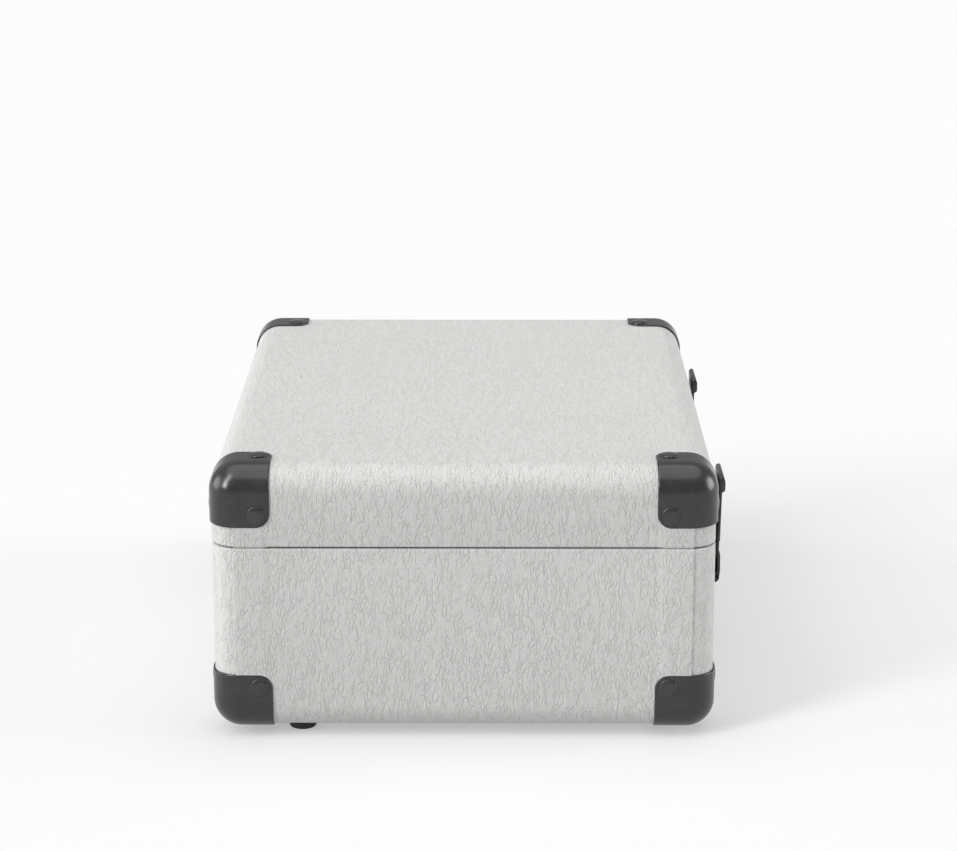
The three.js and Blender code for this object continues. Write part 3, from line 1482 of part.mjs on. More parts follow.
/** The yoke turns on the column; its two cheeks hold the arm's cross pin. */
function armYoke() {

	const bottom = yokeBottom();
	const disc = post( 0, 0, [ bottom, bottom + YOKE_PLATE ], YOKE_RADIUS );
	const cheeks = SIDES.map( ( [ , side ] ) => {

		const inner = side * YOKE_HALF_GAP;
		const outer = side * ( YOKE_HALF_GAP + YOKE_CHEEK );
		return profileX( [
			[ - YOKE_DEPTH / 2, bottom + 0.5 ],
			[ YOKE_DEPTH / 2, bottom + 0.5 ],
			[ YOKE_DEPTH / 2 - 2, ARM_Z + 3 ],
			[ YOKE_DEPTH / 2 - 4, ARM_Z + 5 ],
			[ - YOKE_DEPTH / 2 + 4, ARM_Z + 5 ],
			[ - YOKE_DEPTH / 2 + 2, ARM_Z + 3 ],
		], [ Math.min( inner, outer ), Math.max( inner, outer ) ] );

	} );
	const pinBore = rodX( [ - YOKE_HALF_GAP - 1.8, YOKE_HALF_GAP + 1.8 ], 0, ARM_Z, GIMBAL_PIN_RADIUS + PIN_PLAY );
	return disc.join( ...cheeks ).cut( pinBore );

}

/** The arm: tube, pivot housing with its cross pin, headshell and finger lift in one. */
function armTube() {

	const shellFront = - ( ARM_LENGTH + HEADSHELL_PAST_STYLUS );
	const shellRear = shellFront + HEADSHELL_LENGTH;
	const tube = rodY( 0, [ shellRear - 6, ARM_STUB ], ARM_Z, ARM_TUBE_RADIUS );
	const [ housingX, housingY, housingZ ] = ARM_HOUSING;
	const housing = block( [ - housingX, housingX ], [ - housingY, housingY ], [ ARM_Z - housingZ, ARM_Z + housingZ ] );
	const crossPin = rodX( [ - YOKE_HALF_GAP - 1.3, YOKE_HALF_GAP + 1.3 ], 0, ARM_Z, GIMBAL_PIN_RADIUS );
	const half = HEADSHELL_WIDTH / 2;
	const shellTop = ARM_Z - HEADSHELL_UNDER_AXIS;
	const shell = slab( [
		[ - half, shellFront + 3 ],
		[ - half + 3, shellFront ],
		[ half - 3, shellFront ],
		[ half, shellFront + 3 ],
		[ half, shellRear - 8 ],
		[ 4, shellRear ],
		[ - 4, shellRear ],
		[ - half, shellRear - 8 ],
	], [ shellTop - HEADSHELL, shellTop ] );
	const lift = block(
		[ half - 1, half + FINGER_LIFT ], [ shellFront + 6, shellFront + 10 ], [ shellTop - HEADSHELL + 0.5, shellTop - 1 ],
	);
	return tube.join( housing, crossPin, shell, lift );

}

function cartridge() {

	const shellBottom = ARM_Z - HEADSHELL_UNDER_AXIS - HEADSHELL;
	const top = shellBottom - REST;
	const bottom = top - CARTRIDGE_HEIGHT;
	const half = CARTRIDGE_WIDTH / 2;
	const front = - ( ARM_LENGTH + HEADSHELL_PAST_STYLUS ) + 4;
	const rear = front + CARTRIDGE_LENGTH;
	const body = profileX( [
		[ front, top ],
		[ front, bottom + 2 ],
		[ front + 3, bottom ],
		[ rear - 2, bottom ],
		[ rear, bottom + 1.5 ],
		[ rear, top ],
	], [ - half, half ] );
	const stylus = post( 0, - ARM_LENGTH, [ bottom - STYLUS_DROP, bottom + 0.5 ], 0.3, COARSE, 0.8 );
	return body.join( stylus );

}

function counterweight() {

	const bore = ARM_TUBE_RADIUS + REST;
	const start = WEIGHT_START;
	const end = start + WEIGHT_LENGTH;
	const geometry = new THREE.LatheGeometry( [
		new THREE.Vector2( bore, start ),
		new THREE.Vector2( WEIGHT_RADIUS - 1, start ),
		new THREE.Vector2( WEIGHT_RADIUS, start + 1 ),
		new THREE.Vector2( WEIGHT_RADIUS, end - 1 ),
		new THREE.Vector2( WEIGHT_RADIUS - 1, end ),
		new THREE.Vector2( bore, end ),
		new THREE.Vector2( bore, start ),
	], ROUND );
	geometry.translate( 0, 0, ARM_Z );
	return Solid.of( geometry );

}

/** The arm rest: a column with a seat under the tube and a cheek at its outer side. */
function armRest() {

	const y = - REST_DISTANCE;
	const seat = ARM_Z - ARM_TUBE_RADIUS - REST_DROP;
	const along = [ y - REST_LENGTH / 2, y + REST_LENGTH / 2 ];
	const cheekIn = ARM_TUBE_RADIUS + REST_SIDE_GAP;
	const cradle = block( [ - 4.5, cheekIn + 1 ], along, [ seat - 3, seat ] );
	const cheek = block( [ cheekIn, cheekIn + REST_CHEEK ], along, [ seat - 3, clipPivotZ() - CLIP - REST ] );
	const ears = [ along[ 0 ], along[ 1 ] - CLIP_EAR ].map( ( start ) => block(
		[ cheekIn + 0.6, cheekIn + REST_CHEEK ], [ start, start + CLIP_EAR ], [ seat, clipPivotZ() + CLIP / 2 ],
	) );
	const pin = rodY( clipPivotX(), [ along[ 0 ] + 0.5, along[ 1 ] - 0.5 ], clipPivotZ(), CLIP_PIN_RADIUS, COARSE );
	const column = post( REST_COLUMN_AT, y, [ ON_DECK, seat - 1 ], REST_COLUMN_RADIUS );
	const flange = post( REST_COLUMN_AT, y, [ ON_DECK, ON_DECK + 2 ], REST_FOOT_RADIUS );
	return column.join( flange, cradle, cheek, ...ears, pin );

}

function clipPivotX() {

	return ARM_TUBE_RADIUS + REST_SIDE_GAP + REST_CHEEK / 2 + 0.3;

}

function clipPivotZ() {

	return ARM_Z + ARM_TUBE_RADIUS + 0.8;

}

/** The clip over the arm, standing open; it closes by turning towards the platter. */
function armClip() {

	const halfLength = REST_LENGTH / 2 - CLIP_EAR - REST;
	const strap = new THREE.BoxGeometry( CLIP_LENGTH, 2 * halfLength, CLIP * 0.8 );
	strap.translate( - CLIP_LENGTH / 2, 0, CLIP * 0.6 );
	const hub = new THREE.CylinderGeometry( CLIP, CLIP, 2 * halfLength, COARSE );
	const bore = new THREE.CylinderGeometry( CLIP_PIN_RADIUS + PIN_PLAY, CLIP_PIN_RADIUS + PIN_PLAY, 4 * halfLength, COARSE );
	return Solid.of( strap ).join( Solid.of( hub ) ).cut( Solid.of( bore ) );

}

/** The cueing lift: an arc under the tube on a rod that slides through the deck. */
function cueRest() {

	const top = ARM_Z - ARM_TUBE_RADIUS - CUE_GAP;
	const steps = 10;
	const outer = [];
	const inner = [];
	for ( let i = 0; i <= steps; i ++ ) {

		const angle = CUE_ARC_START + ( CUE_ARC_END - CUE_ARC_START ) * i / steps;
		outer.push( cuePoint( angle, CUE_RADIUS + CUE_WIDTH / 2 ) );
		inner.push( cuePoint( angle, CUE_RADIUS - CUE_WIDTH / 2 ) );

	}

	const plate = slab( [ ...outer, ...inner.reverse() ], [ top - CUE_PLATE, top ] );
	const [ x, y ] = cuePoint( CUE_ROD_ANGLE );
	const rod = post( x, y, [ DECK_BOTTOM - 6, top - CUE_PLATE / 2 ], CUE_ROD_RADIUS, COARSE );
	return plate.join( rod );

}

/** The cueing lever, raised; its hub turns on the pin between the bracket's cheeks. */
function cueLever() {

	const half = CUE_LEVER_WIDTH / 2;
	const hub = new THREE.CylinderGeometry( CUE_LEVER_HUB_RADIUS, CUE_LEVER_HUB_RADIUS, 2 * half, ROUND );
	hub.rotateZ( Math.PI / 2 );
	const bore = new THREE.CylinderGeometry( GIMBAL_PIN_RADIUS + PIN_PLAY, GIMBAL_PIN_RADIUS + PIN_PLAY, 4 * half, COARSE );
	bore.rotateZ( Math.PI / 2 );
	const stem = block( [ - half + 0.8, half - 0.8 ], [ - CUE_LEVER_LENGTH, 0 ], [ - 1.4, 1.4 ] );
	const tip = block( [ - half, half ], [ - CUE_LEVER_LENGTH - 3, - CUE_LEVER_LENGTH + 5 ], [ - 2, 2 ] );
	return Solid.of( hub ).join( stem, tip ).cut( Solid.of( bore ) );

}

function buildTonearm( group ) {

	const arm = new THREE.Group();
	arm.position.set( ARM_X, ARM_Y, 0 );
	arm.rotation.z = radians( ARM_REST_ANGLE );
	piece( arm, 'arm_base', armBase(), FINISHES.black );
	piece( arm, 'arm_yoke', armYoke(), FINISHES.black );
	piece( arm, 'arm_tube', armTube(), FINISHES.arm );
	piece( arm, 'cartridge', cartridge(), FINISHES.black );
	piece( arm, 'counterweight', counterweight(), FINISHES.steel );
	piece( arm, 'arm_rest', armRest(), FINISHES.black );
	piece( arm, 'cue_rest', cueRest(), FINISHES.black );

	const clip = piece( arm, 'arm_clip', armClip(), FINISHES.black );
	clip.position.set( clipPivotX(), - REST_DISTANCE, clipPivotZ() );
	clip.rotation.y = radians( CLIP_OPEN_ANGLE );

	const lever = piece( arm, 'cue_lever', cueLever(), FINISHES.black );
	lever.position.set( CUE_LEVER_SIDE, - CUE_LEVER_AHEAD, cueHubZ() );
	lever.rotation.x = - radians( CUE_LEVER_RISE );
	group.add( arm );

}

// ---------------------------------------------------------------- the whole player

function buildPlayer() {

	const player = new THREE.Group();
	player.position.set( 0, CASE_SHIFT_Y, FOOT_HEIGHT );

	const base = new THREE.Group();
	piece( base, 'base_walls', baseWalls(), FINISHES.vinyl );
	piece( base, 'bottom_board', bottomBoard(), FINISHES.board );
	piece( base, 'motor_board', deck(), FINISHES.deck );
	buildFeet( base );
	buildCornerPlates( base, 'base', - 1 );
	buildControls( base );
	buildSound( base );
	buildDrive( base );
	buildTonearm( base );

	const lid = new THREE.Group();
	piece( lid, 'lid_shell', lidShell(), FINISHES.vinyl );
	buildCornerPlates( lid, 'lid', 1 );

	buildHardware( base, lid );
	player.add( base, lid );
	return player;

}

export default buildPlayer();
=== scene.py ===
"""The looks of a portable suitcase record player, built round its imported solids.

Lengths are in millimetres and are turned into metres when a piece is made. Places come
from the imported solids' own boxes. Each sub-assembly is a class that holds its sizes.
"""

import logging
import math
from dataclasses import dataclass
from enum import Enum
from typing import Any, Iterable, Sequence

import bmesh
import bpy
from mathutils import Matrix, Vector


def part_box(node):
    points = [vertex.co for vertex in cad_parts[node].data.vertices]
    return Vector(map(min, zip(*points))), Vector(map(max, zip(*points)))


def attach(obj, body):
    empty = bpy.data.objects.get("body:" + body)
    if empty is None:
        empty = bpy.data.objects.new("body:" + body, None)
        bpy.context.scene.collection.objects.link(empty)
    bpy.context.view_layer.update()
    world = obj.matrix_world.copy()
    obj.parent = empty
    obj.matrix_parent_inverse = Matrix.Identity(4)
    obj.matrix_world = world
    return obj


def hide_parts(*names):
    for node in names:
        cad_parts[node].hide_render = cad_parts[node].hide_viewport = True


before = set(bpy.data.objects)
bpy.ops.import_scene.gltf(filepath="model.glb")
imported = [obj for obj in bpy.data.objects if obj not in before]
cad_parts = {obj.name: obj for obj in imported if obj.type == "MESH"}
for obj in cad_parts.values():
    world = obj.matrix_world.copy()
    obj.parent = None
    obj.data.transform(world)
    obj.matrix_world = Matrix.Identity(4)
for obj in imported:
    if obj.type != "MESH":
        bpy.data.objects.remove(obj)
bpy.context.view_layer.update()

MM = 0.001
LOG = logging.getLogger("record_player")

Flat = tuple[float, float]
Colour = tuple[float, float, float]


class Side(Enum):
    """The two ends of the case along X."""

    LEFT = -1
    RIGHT = 1


class End(Enum):
    """The hinge side and the handle side of the case."""

    REAR = 1
    FRONT = -1


class Half(Enum):
    """The two halves of the case."""

    BASE = -1
    LID = 1


def span(node: str) -> tuple[Vector, Vector]:
    """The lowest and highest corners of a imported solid, in millimetres."""
    low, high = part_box(node)
    return low / MM, high / MM


def middle(node: str) -> Vector:
    """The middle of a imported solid's box, in millimetres."""
    low, high = span(node)
    return (low + high) / 2


def rgb(red: float, green: float, blue: float) -> Colour:
    """A colour given as 0 to 255 display values, as linear light."""
    def linear(value: float) -> float:
        """One channel as linear light."""
        part = value / 255
        return part / 12.92 if part <= 0.04045 else ((part + 0.055) / 1.055) ** 2.4
    return (linear(red), linear(green), linear(blue))


# ------------------------------------------------------------------ shader maths


class Signal:
    """A number that varies over a surface; sums and products add Math nodes."""

    def __init__(self, graph: "Graph", socket: bpy.types.NodeSocket) -> None:
        """Wraps an output socket.

        Args:
            graph: the material's node builder.
            socket: the output that carries the number.
        """
        self.graph = graph
        self.socket = socket

    def _math(self, operation: str, first: Any, second: Any, clamp: bool = False) -> "Signal":
        """One Math node.

        Args:
            operation: the node's operation.
            first: a number or a Signal.
            second: a number or a Signal.
            clamp: whether the result is kept between 0 and 1.

        Returns:
            The result.
        """
        node = self.graph.add(
            "ShaderNodeMath",
            {"operation": operation, "use_clamp": clamp},
            {"Value": first, "Value_001": second},
        )
        return Signal(self.graph, node.outputs[0])

    def __add__(self, other: Any) -> "Signal":
        """self + other."""
        return self._math("ADD", self, other)

    def __radd__(self, other: Any) -> "Signal":
        """other + self."""
        return self._math("ADD", other, self)

    def __sub__(self, other: Any) -> "Signal":
        """self - other."""
        return self._math("SUBTRACT", self, other)

    def __rsub__(self, other: Any) -> "Signal":
        """other - self."""
        return self._math("SUBTRACT", other, self)

    def __mul__(self, other: Any) -> "Signal":
        """self * other."""
        return self._math("MULTIPLY", self, other)

    def __rmul__(self, other: Any) -> "Signal":
        """other * self."""
        return self._math("MULTIPLY", other, self)

    def wave(self) -> "Signal":
        """The sine, brought to 0 to 1."""
        return self._math("SINE", self, 0.0) * 0.5 + 0.5

    def clamped(self) -> "Signal":
        """The value kept between 0 and 1."""
        return self._math("ADD", self, 0.0, clamp=True)

    def absolute(self) -> "Signal":
        """The value without its sign."""
        return self._math("ABSOLUTE", self, 0.0)

    def smooth(self, low: float, high: float) -> "Signal":
        """A soft step.

        Args:
            low: where it starts to rise from 0.
            high: where it reaches 1.

        Returns:
            The stepped value.
        """
        node = self.graph.add(
            "ShaderNodeMapRange",
            {"interpolation_type": "SMOOTHSTEP"},
            {"Value": self, "From Min": low, "From Max": high},
        )
        return Signal(self.graph, node.outputs[0])


class Graph:
    """Builds one material's nodes round a Principled shader."""

    def __init__(self, name: str) -> None:
        """Makes the material, its output and its shader."""
        self.material = bpy.data.materials.new(name)
        self.material.use_nodes = True
        self.nodes = self.material.node_tree.nodes
        self.links = self.material.node_tree.links
        self.nodes.clear()
        self.shader = self.add("ShaderNodeBsdfPrincipled")
        output = self.add("ShaderNodeOutputMaterial")
        self.links.new(self.shader.outputs["BSDF"], output.inputs["Surface"])
        self.place = self.add("ShaderNodeTexCoord")

    @staticmethod
    def _find(sockets: Any, key: str | int) -> bpy.types.NodeSocket:
        """The socket with this identifier, name or number."""
        if isinstance(key, int):
            return sockets[key]
        for socket in sockets:
            if socket.identifier == key:
                return socket
        return sockets[key]

    def add(
        self, kind: str, settings: dict[str, Any] | None = None,
        sockets: dict[Any, Any] | None = None
    ) -> bpy.types.Node:
        """Adds a node.

        Args:
            kind: the node's type.
            settings: its properties, set first; "stops" are a ramp's (position, colour) pairs.
            sockets: a value, a Signal or an output socket for each input.

        Returns:
            The node.
        """
        node = self.nodes.new(kind)
        for name, value in (settings or {}).items():
            if name == "stops":
                self._stops(node.color_ramp, value)
            else:
                setattr(node, name, value)
        for key, value in (sockets or {}).items():
            self._feed(self._find(node.inputs, key), value)
        return node

    def _feed(self, target: bpy.types.NodeSocket, value: Any) -> None:
        """Links an input to a signal or a socket, or sets it."""
        if isinstance(value, Signal):
            self.links.new(value.socket, target)
        elif isinstance(value, bpy.types.NodeSocket):
            self.links.new(value, target)
        elif isinstance(value, tuple) and len(value) == 3 and target.type == "RGBA":
            target.default_value = (*value, 1.0)
        else:
            target.default_value = value

    @staticmethod
    def _stops(ramp: bpy.types.ColorRamp, stops: Sequence[tuple[float, Colour]]) -> None:
        """Gives a ramp its stops."""
        while len(ramp.elements) < len(stops):
            ramp.elements.new(1.0)
        for element, (position, colour) in zip(ramp.elements, stops):
            element.position = position
            element.color = (*colour, 1.0)

    def stretched(self, factors: Sequence[float], source: Any = None) -> bpy.types.NodeSocket:
        """The surface's own coordinates, each axis multiplied.

        Args:
            factors: one factor for each axis, per metre.
            source: coordinates to use in place of the object's own.

        Returns:
            The scaled vector.
        """
        node = self.add(
            "ShaderNodeVectorMath",
            {"operation": "MULTIPLY"},
            {"Vector": source or self.place.outputs["Object"], "Vector_001": tuple(factors)},
        )
        return node.outputs["Vector"]

    def warped(self, vector: Any, scale: float, amount: float) -> bpy.types.NodeSocket:
        """Coordinates shaken by a soft noise.

        Args:
            vector: the coordinates.
            scale: the noise's own scale on them.
            amount: how far they move.

        Returns:
            The shaken vector.
        """
        shake = self.add(
            "ShaderNodeTexNoise", None, {"Vector": vector, "Scale": scale, "Detail": 1.0}
        )
        centred = self.add(
            "ShaderNodeVectorMath", {"operation": "SUBTRACT"},
            {"Vector": shake.outputs["Color"], "Vector_001": (0.5, 0.5, 0.5)},
        )
        moved = self.add(
            "ShaderNodeVectorMath", {"operation": "SCALE"},
            {"Vector": centred.outputs["Vector"], "Scale": amount},
        )
        total = self.add(
            "ShaderNodeVectorMath", {"operation": "ADD"},
            {"Vector": vector, "Vector_001": moved.outputs["Vector"]},
        )
        return total.outputs["Vector"]

    def noise(self, vector: Any, scale: float, detail: float = 2.0, rough: float = 0.5) -> Signal:
        """A soft noise between 0 and 1.

        Args:
            vector: the coordinates.
            scale: how fine it is on them.
            detail: how many finer layers it has.
            rough: how strong the finer layers are.

        Returns:
            The noise.
        """
        node = self.add(
            "ShaderNodeTexNoise", None,
            {"Vector": vector, "Scale": scale, "Detail": detail, "Roughness": rough},
        )
        return Signal(self, node.outputs["Fac"])

    def cells(self, vector: Any, scale: float, edges: bool = False, spread: float = 1.0) -> Signal:
        """Distance in a field of cells.

        Args:
            vector: the coordinates.
            scale: how fine the cells are.
            edges: whether the distance is to the cell's edge, or else to its middle.
            spread: how irregular the cells are, 0 to 1.

        Returns:
            The distance.
        """
        node = self.add(
            "ShaderNodeTexVoronoi",
            {"feature": "DISTANCE_TO_EDGE" if edges else "F1"},
            {"Vector": vector, "Scale": scale, "Randomness": spread},
        )
        return Signal(self, node.outputs["Distance"])

    def axis(self, vector: Any, name: str) -> Signal:
        """One of the three numbers of a vector."""
        node = self.add("ShaderNodeSeparateXYZ", None, {"Vector": vector})
        return Signal(self, node.outputs[name])

    def blend(self, factor: Any, first: Any, second: Any) -> bpy.types.NodeSocket:
        """A mix of two colours.

        Args:
            factor: how much of the second there is.
            first: a colour or a colour socket.
            second: a colour or a colour socket.

        Returns:
            The mixed colour.
        """
        node = self.add(
            "ShaderNodeMix",
            {"data_type": "RGBA"},
            {"Factor_Float": factor, "A_Color": first, "B_Color": second},
        )
        return self._find(node.outputs, "Result_Color")

    def bump(self, height: Signal, depth: float, strength: float = 1.0) -> bpy.types.NodeSocket:
        """A bumped normal.

        Args:
            height: the relief, 0 to 1.
            depth: its full height in millimetres.
            strength: how much of it shows.

        Returns:
            The normal.
        """
        node = self.add(
            "ShaderNodeBump", None, {"Height": height, "Distance": depth * MM, "Strength": strength}
        )
        return node.outputs["Normal"]

    def dress(self, **sockets: Any) -> bpy.types.Material:
        """Feeds the shader's inputs, named with _ for spaces, and returns the material."""
        for name, value in sockets.items():
            self._feed(self.shader.inputs[name.replace("_", " ")], value)
        return self.material


# ------------------------------------------------------------------ finishes


@dataclass(frozen=True)
class Finish:
    """A surface finish that makes its material once."""

    name: str

    def material(self) -> bpy.types.Material:
        """The finish's material."""
        title = f"finish_{self.name}"
        found = bpy.data.materials.get(title)
        return found if found else self.paint(Graph(title))

    def paint(self, graph: Graph) -> bpy.types.Material:
        """Builds the nodes."""
        raise NotImplementedError


@dataclass(frozen=True)
class GrainedVinyl(Finish):
    """Coated cloth with a long pebble grain, as the case is covered in."""

    ridge: Colour = rgb(191, 191, 190)
    # the colour in the grain's creases: painted shade, darker than the ridges
    crease_shade: Colour = rgb(170, 171, 168)
    long_pitch: float = 4.6
    short_pitch: float = 1.9
    relief: float = 0.42
    gloss: float = 0.47

    def grain(self, graph: Graph, factors: Sequence[float]) -> Signal:
        """The grain's height for one direction of the cloth.

        Args:
            graph: the node builder.
            factors: cells per metre along each axis.

        Returns:
            The height, 0 in the creases.
        """
        vector = graph.warped(graph.stretched(factors), 0.55, 1.3)
        crease = graph.cells(vector, 1.0, edges=True).smooth(0.0, 0.16)
        presence = graph.noise(vector, 0.8, 2.0).smooth(0.36, 0.58)
        fine = graph.cells(graph.warped(vector, 2.1, 0.5), 2.3, edges=True).smooth(0.0, 0.2)
        swell = graph.noise(vector, 1.3, 1.0)
        deep = (1 - crease) * presence
        shallow = (1 - fine) * 0.28
        return (1 - deep * 0.8 - shallow * (1 - deep)) * 0.85 + swell * 0.15

    def paint(self, graph: Graph) -> bpy.types.Material:
        """Grain lengthwise on the top and upright on the sides, with painted shade in its creases.
        """
        low = 1000 / self.long_pitch
        high = 1000 / self.short_pitch
        ends = self.grain(graph, (low, high, low))
        sides = self.grain(graph, (high, low, low))
        facing = graph.axis(graph.place.outputs["Normal"], "Y").absolute().smooth(0.6, 0.8)
        height = ends * (1 - facing) + sides * facing
        cloud = graph.noise(graph.place.outputs["Object"], 14.0, 2.0)
        speck = graph.noise(graph.place.outputs["Object"], 900.0, 2.0)
        # the low parts of the grain take the darker colour as painted shade in the creases; the
        # cloud and specks are random tone
        tone = (height * 0.82 + cloud * 0.16 + speck * 0.06).clamped()
        return graph.dress(
            Base_Color=graph.blend(tone, self.crease_shade, self.ridge),
            Roughness=self.gloss + (1 - height) * 0.16 + (cloud - 0.5) * 0.06,
            Normal=graph.bump(height + speck * 0.05, self.relief),
            Specular_IOR_Level=0.42,
        )


@dataclass(frozen=True)
class PressedPlate(Finish):
    """Satin black enamel on pressed steel."""

    colour: Colour = rgb(38, 36, 36)
    rubbed: Colour = rgb(50, 48, 47)
    gloss: float = 0.25

    def paint(self, graph: Graph) -> bpy.types.Material:
        """A faint orange-peel relief, with dust and handling marks."""
        place = graph.place.outputs["Object"]
        peel = graph.noise(place, 850.0, 1.0)
        marks = graph.noise(graph.warped(place, 60.0, 0.01), 130.0, 4.0, 0.6)
        dust = graph.noise(place, 2600.0, 2.0).smooth(0.62, 0.78)
        return graph.dress(
            Base_Color=graph.blend(
                (marks.smooth(0.35, 0.8) * 0.6 + dust * 0.2).clamped(), self.colour, self.rubbed
            ),
            Roughness=self.gloss + (marks - 0.5) * 0.16 + dust * 0.08,
            Normal=graph.bump(peel + dust * 0.2, 0.012),
            Specular_IOR_Level=0.5,
        )


@dataclass(frozen=True)
class MouldedPlastic(Finish):
    """Plastic from a spark-eroded mould."""

    colour: Colour = rgb(40, 40, 41)
    scuffed: Colour = rgb(54, 54, 55)
    gloss: float = 0.5
    texture: float = 0.03
    fineness: float = 1500.0

    def paint(self, graph: Graph) -> bpy.types.Material:
        """A fine even texture, with a slow change of sheen."""
        place = graph.place.outputs["Object"]
        spark = graph.cells(place, self.fineness)
        cloud = graph.noise(place, 35.0, 3.0, 0.6)
        tone = (spark * 0.35 + cloud.smooth(0.3, 0.8) * 0.5).clamped()
        return graph.dress(
            Base_Color=graph.blend(tone, self.colour, self.scuffed),
            Roughness=self.gloss + (cloud - 0.5) * 0.14 + spark * 0.04,
            Normal=graph.bump(spark, self.texture),
        )


@dataclass(frozen=True)
class Rubber(Finish):
    """Dull moulded rubber with a little bloom."""

    colour: Colour = rgb(33, 32, 31)
    bloom: Colour = rgb(62, 60, 58)

    def paint(self, graph: Graph) -> bpy.types.Material:
        """Dust in a fine uneven skin."""
        place = graph.place.outputs["Object"]
        skin = graph.noise(place, 1400.0, 3.0)
        bloom = graph.noise(place, 160.0, 4.0, 0.65).smooth(0.4, 0.8)
        return graph.dress(
            Base_Color=graph.blend(bloom * 0.5, self.colour, self.bloom),
            Roughness=0.78 + bloom * 0.14,
            Normal=graph.bump(skin, 0.05),
        )


@dataclass(frozen=True)
class Metal(Finish):
    """Bare or plated metal, drawn or turned."""

    colour: Colour = rgb(196, 196, 194)
    stain: Colour = rgb(150, 149, 146)
    gloss: float = 0.24
    lines: tuple[float, float, float] = (60.0, 60.0, 3000.0)
    relief: float = 0.008

    def paint(self, graph: Graph) -> bpy.types.Material:
        """Fine lines from its making, with a thin uneven stain."""
        drawn = graph.noise(graph.stretched(self.lines), 1.0, 2.0)
        cloud = graph.noise(graph.place.outputs["Object"], 90.0, 4.0, 0.6)
        return graph.dress(
            Base_Color=graph.blend(
                cloud.smooth(0.4, 0.85) * 0.5 + drawn * 0.1, self.colour, self.stain
            ),
            Metallic=1.0,
            Roughness=self.gloss + (drawn - 0.5) * 0.12 + cloud.smooth(0.4, 0.9) * 0.12,
            Normal=graph.bump(drawn, self.relief),
        )


@dataclass(frozen=True)
class Felt(Finish):
    """Pressed wool felt."""

    colour: Colour = rgb(38, 38, 40)
    # the colour of the raised fibres: a painted highlight
    fibre: Colour = rgb(74, 74, 77)

    def paint(self, graph: Graph) -> bpy.types.Material:
        """Tangled fibres, painted lighter where they stand up and darker between them."""
        place = graph.place.outputs["Object"]
        tangle = graph.noise(graph.warped(place, 380.0, 0.004), 1500.0, 4.0, 0.7)
        clump = graph.noise(place, 260.0, 3.0, 0.6)
        # the raised fibres take the lighter colour: painted highlight on them and painted shade
        # between them
        raised = tangle.smooth(0.42, 0.72)
        return graph.dress(
            Base_Color=graph.blend((raised * 0.7 + clump * 0.3).clamped(), self.colour, self.fibre),
            Roughness=0.9 + clump * 0.08,
            Normal=graph.bump(tangle * 0.7 + clump * 0.3, 0.25),
            Sheen_Weight=0.35,
            Sheen_Roughness=0.5,
        )


@dataclass(frozen=True)
class ConePaper(Finish):
    """Pulp paper of a loudspeaker cone."""

    colour: Colour = rgb(36, 33, 30)
    pulp: Colour = rgb(66, 60, 54)

    def paint(self, graph: Graph) -> bpy.types.Material:
        """Short pulp fibres."""
        place = graph.place.outputs["Object"]
        pulp = graph.noise(graph.warped(place, 500.0, 0.003), 1100.0, 4.0, 0.7)
        return graph.dress(
            Base_Color=graph.blend(pulp.smooth(0.45, 0.75), self.colour, self.pulp),
            Roughness=0.86 + pulp * 0.08,
            Normal=graph.bump(pulp, 0.12),
        )


@dataclass(frozen=True)
class FibreBoard(Finish):
    """Pressed wood-fibre board, stained."""

    colour: Colour = rgb(96, 82, 64)
    fleck: Colour = rgb(152, 132, 104)

    def paint(self, graph: Graph) -> bpy.types.Material:
        """Flecks and short fibres, with a slow change of tone."""
        place = graph.place.outputs["Object"]
        fibre = graph.noise(graph.stretched((260.0, 900.0, 900.0)), 1.0, 4.0, 0.65)
        fleck = graph.cells(graph.warped(place, 300.0, 0.003), 520.0).smooth(0.15, 0.55)
        cloud = graph.noise(place, 12.0, 2.0)
        tone = (fibre * 0.5 + fleck * 0.25 + cloud * 0.3).clamped()
        return graph.dress(
            Base_Color=graph.blend(tone, self.colour, self.fleck),
            Roughness=0.8 + fibre * 0.12,
            Normal=graph.bump(fibre * 0.6 + fleck * 0.4, 0.12),
        )


@dataclass(frozen=True)
class CircuitBoard(Finish):
    """Solder mask over copper tracks."""

    mask: Colour = rgb(24, 84, 50)
    track: Colour = rgb(48, 124, 74)

    def paint(self, graph: Graph) -> bpy.types.Material:
        """Tracks as steps of a blocky noise under the mask."""
        bricks = graph.add(
            "ShaderNodeTexBrick",
            {"offset": 0.37, "squash": 0.6},
            {"Vector": graph.place.outputs["Object"], "Scale": 95.0, "Mortar Size": 0.06,
             "Color1": (0.0, 0.0, 0.0, 1.0), "Color2": (0.1, 0.1, 0.1, 1.0),
             "Mortar": (1.0, 1.0, 1.0, 1.0)},
        )
        tracks = Signal(graph, bricks.outputs["Fac"])
        weave = graph.noise(graph.place.outputs["Object"], 1200.0, 2.0)
        return graph.dress(
            Base_Color=graph.blend((tracks * 0.9 + weave * 0.1).clamped(), self.mask, self.track),
            Roughness=0.34 + weave * 0.16,
            Normal=graph.bump(tracks + weave * 0.1, 0.06),
        )


@dataclass(frozen=True)
class Lens(Finish):
    """A clear coloured lens over a lamp."""

    colour: Colour = rgb(168, 20, 16)
    deep: Colour = rgb(96, 8, 8)

    def paint(self, graph: Graph) -> bpy.types.Material:
        """Patches of deeper red, with fine flow lines."""
        flow = graph.noise(graph.place.outputs["Object"], 700.0, 2.0)
        return graph.dress(
            Base_Color=graph.blend(flow, self.colour, self.deep),
            Roughness=0.08 + flow * 0.08,
            Normal=graph.bump(flow, 0.02),
            Coat_Weight=0.6,
        )


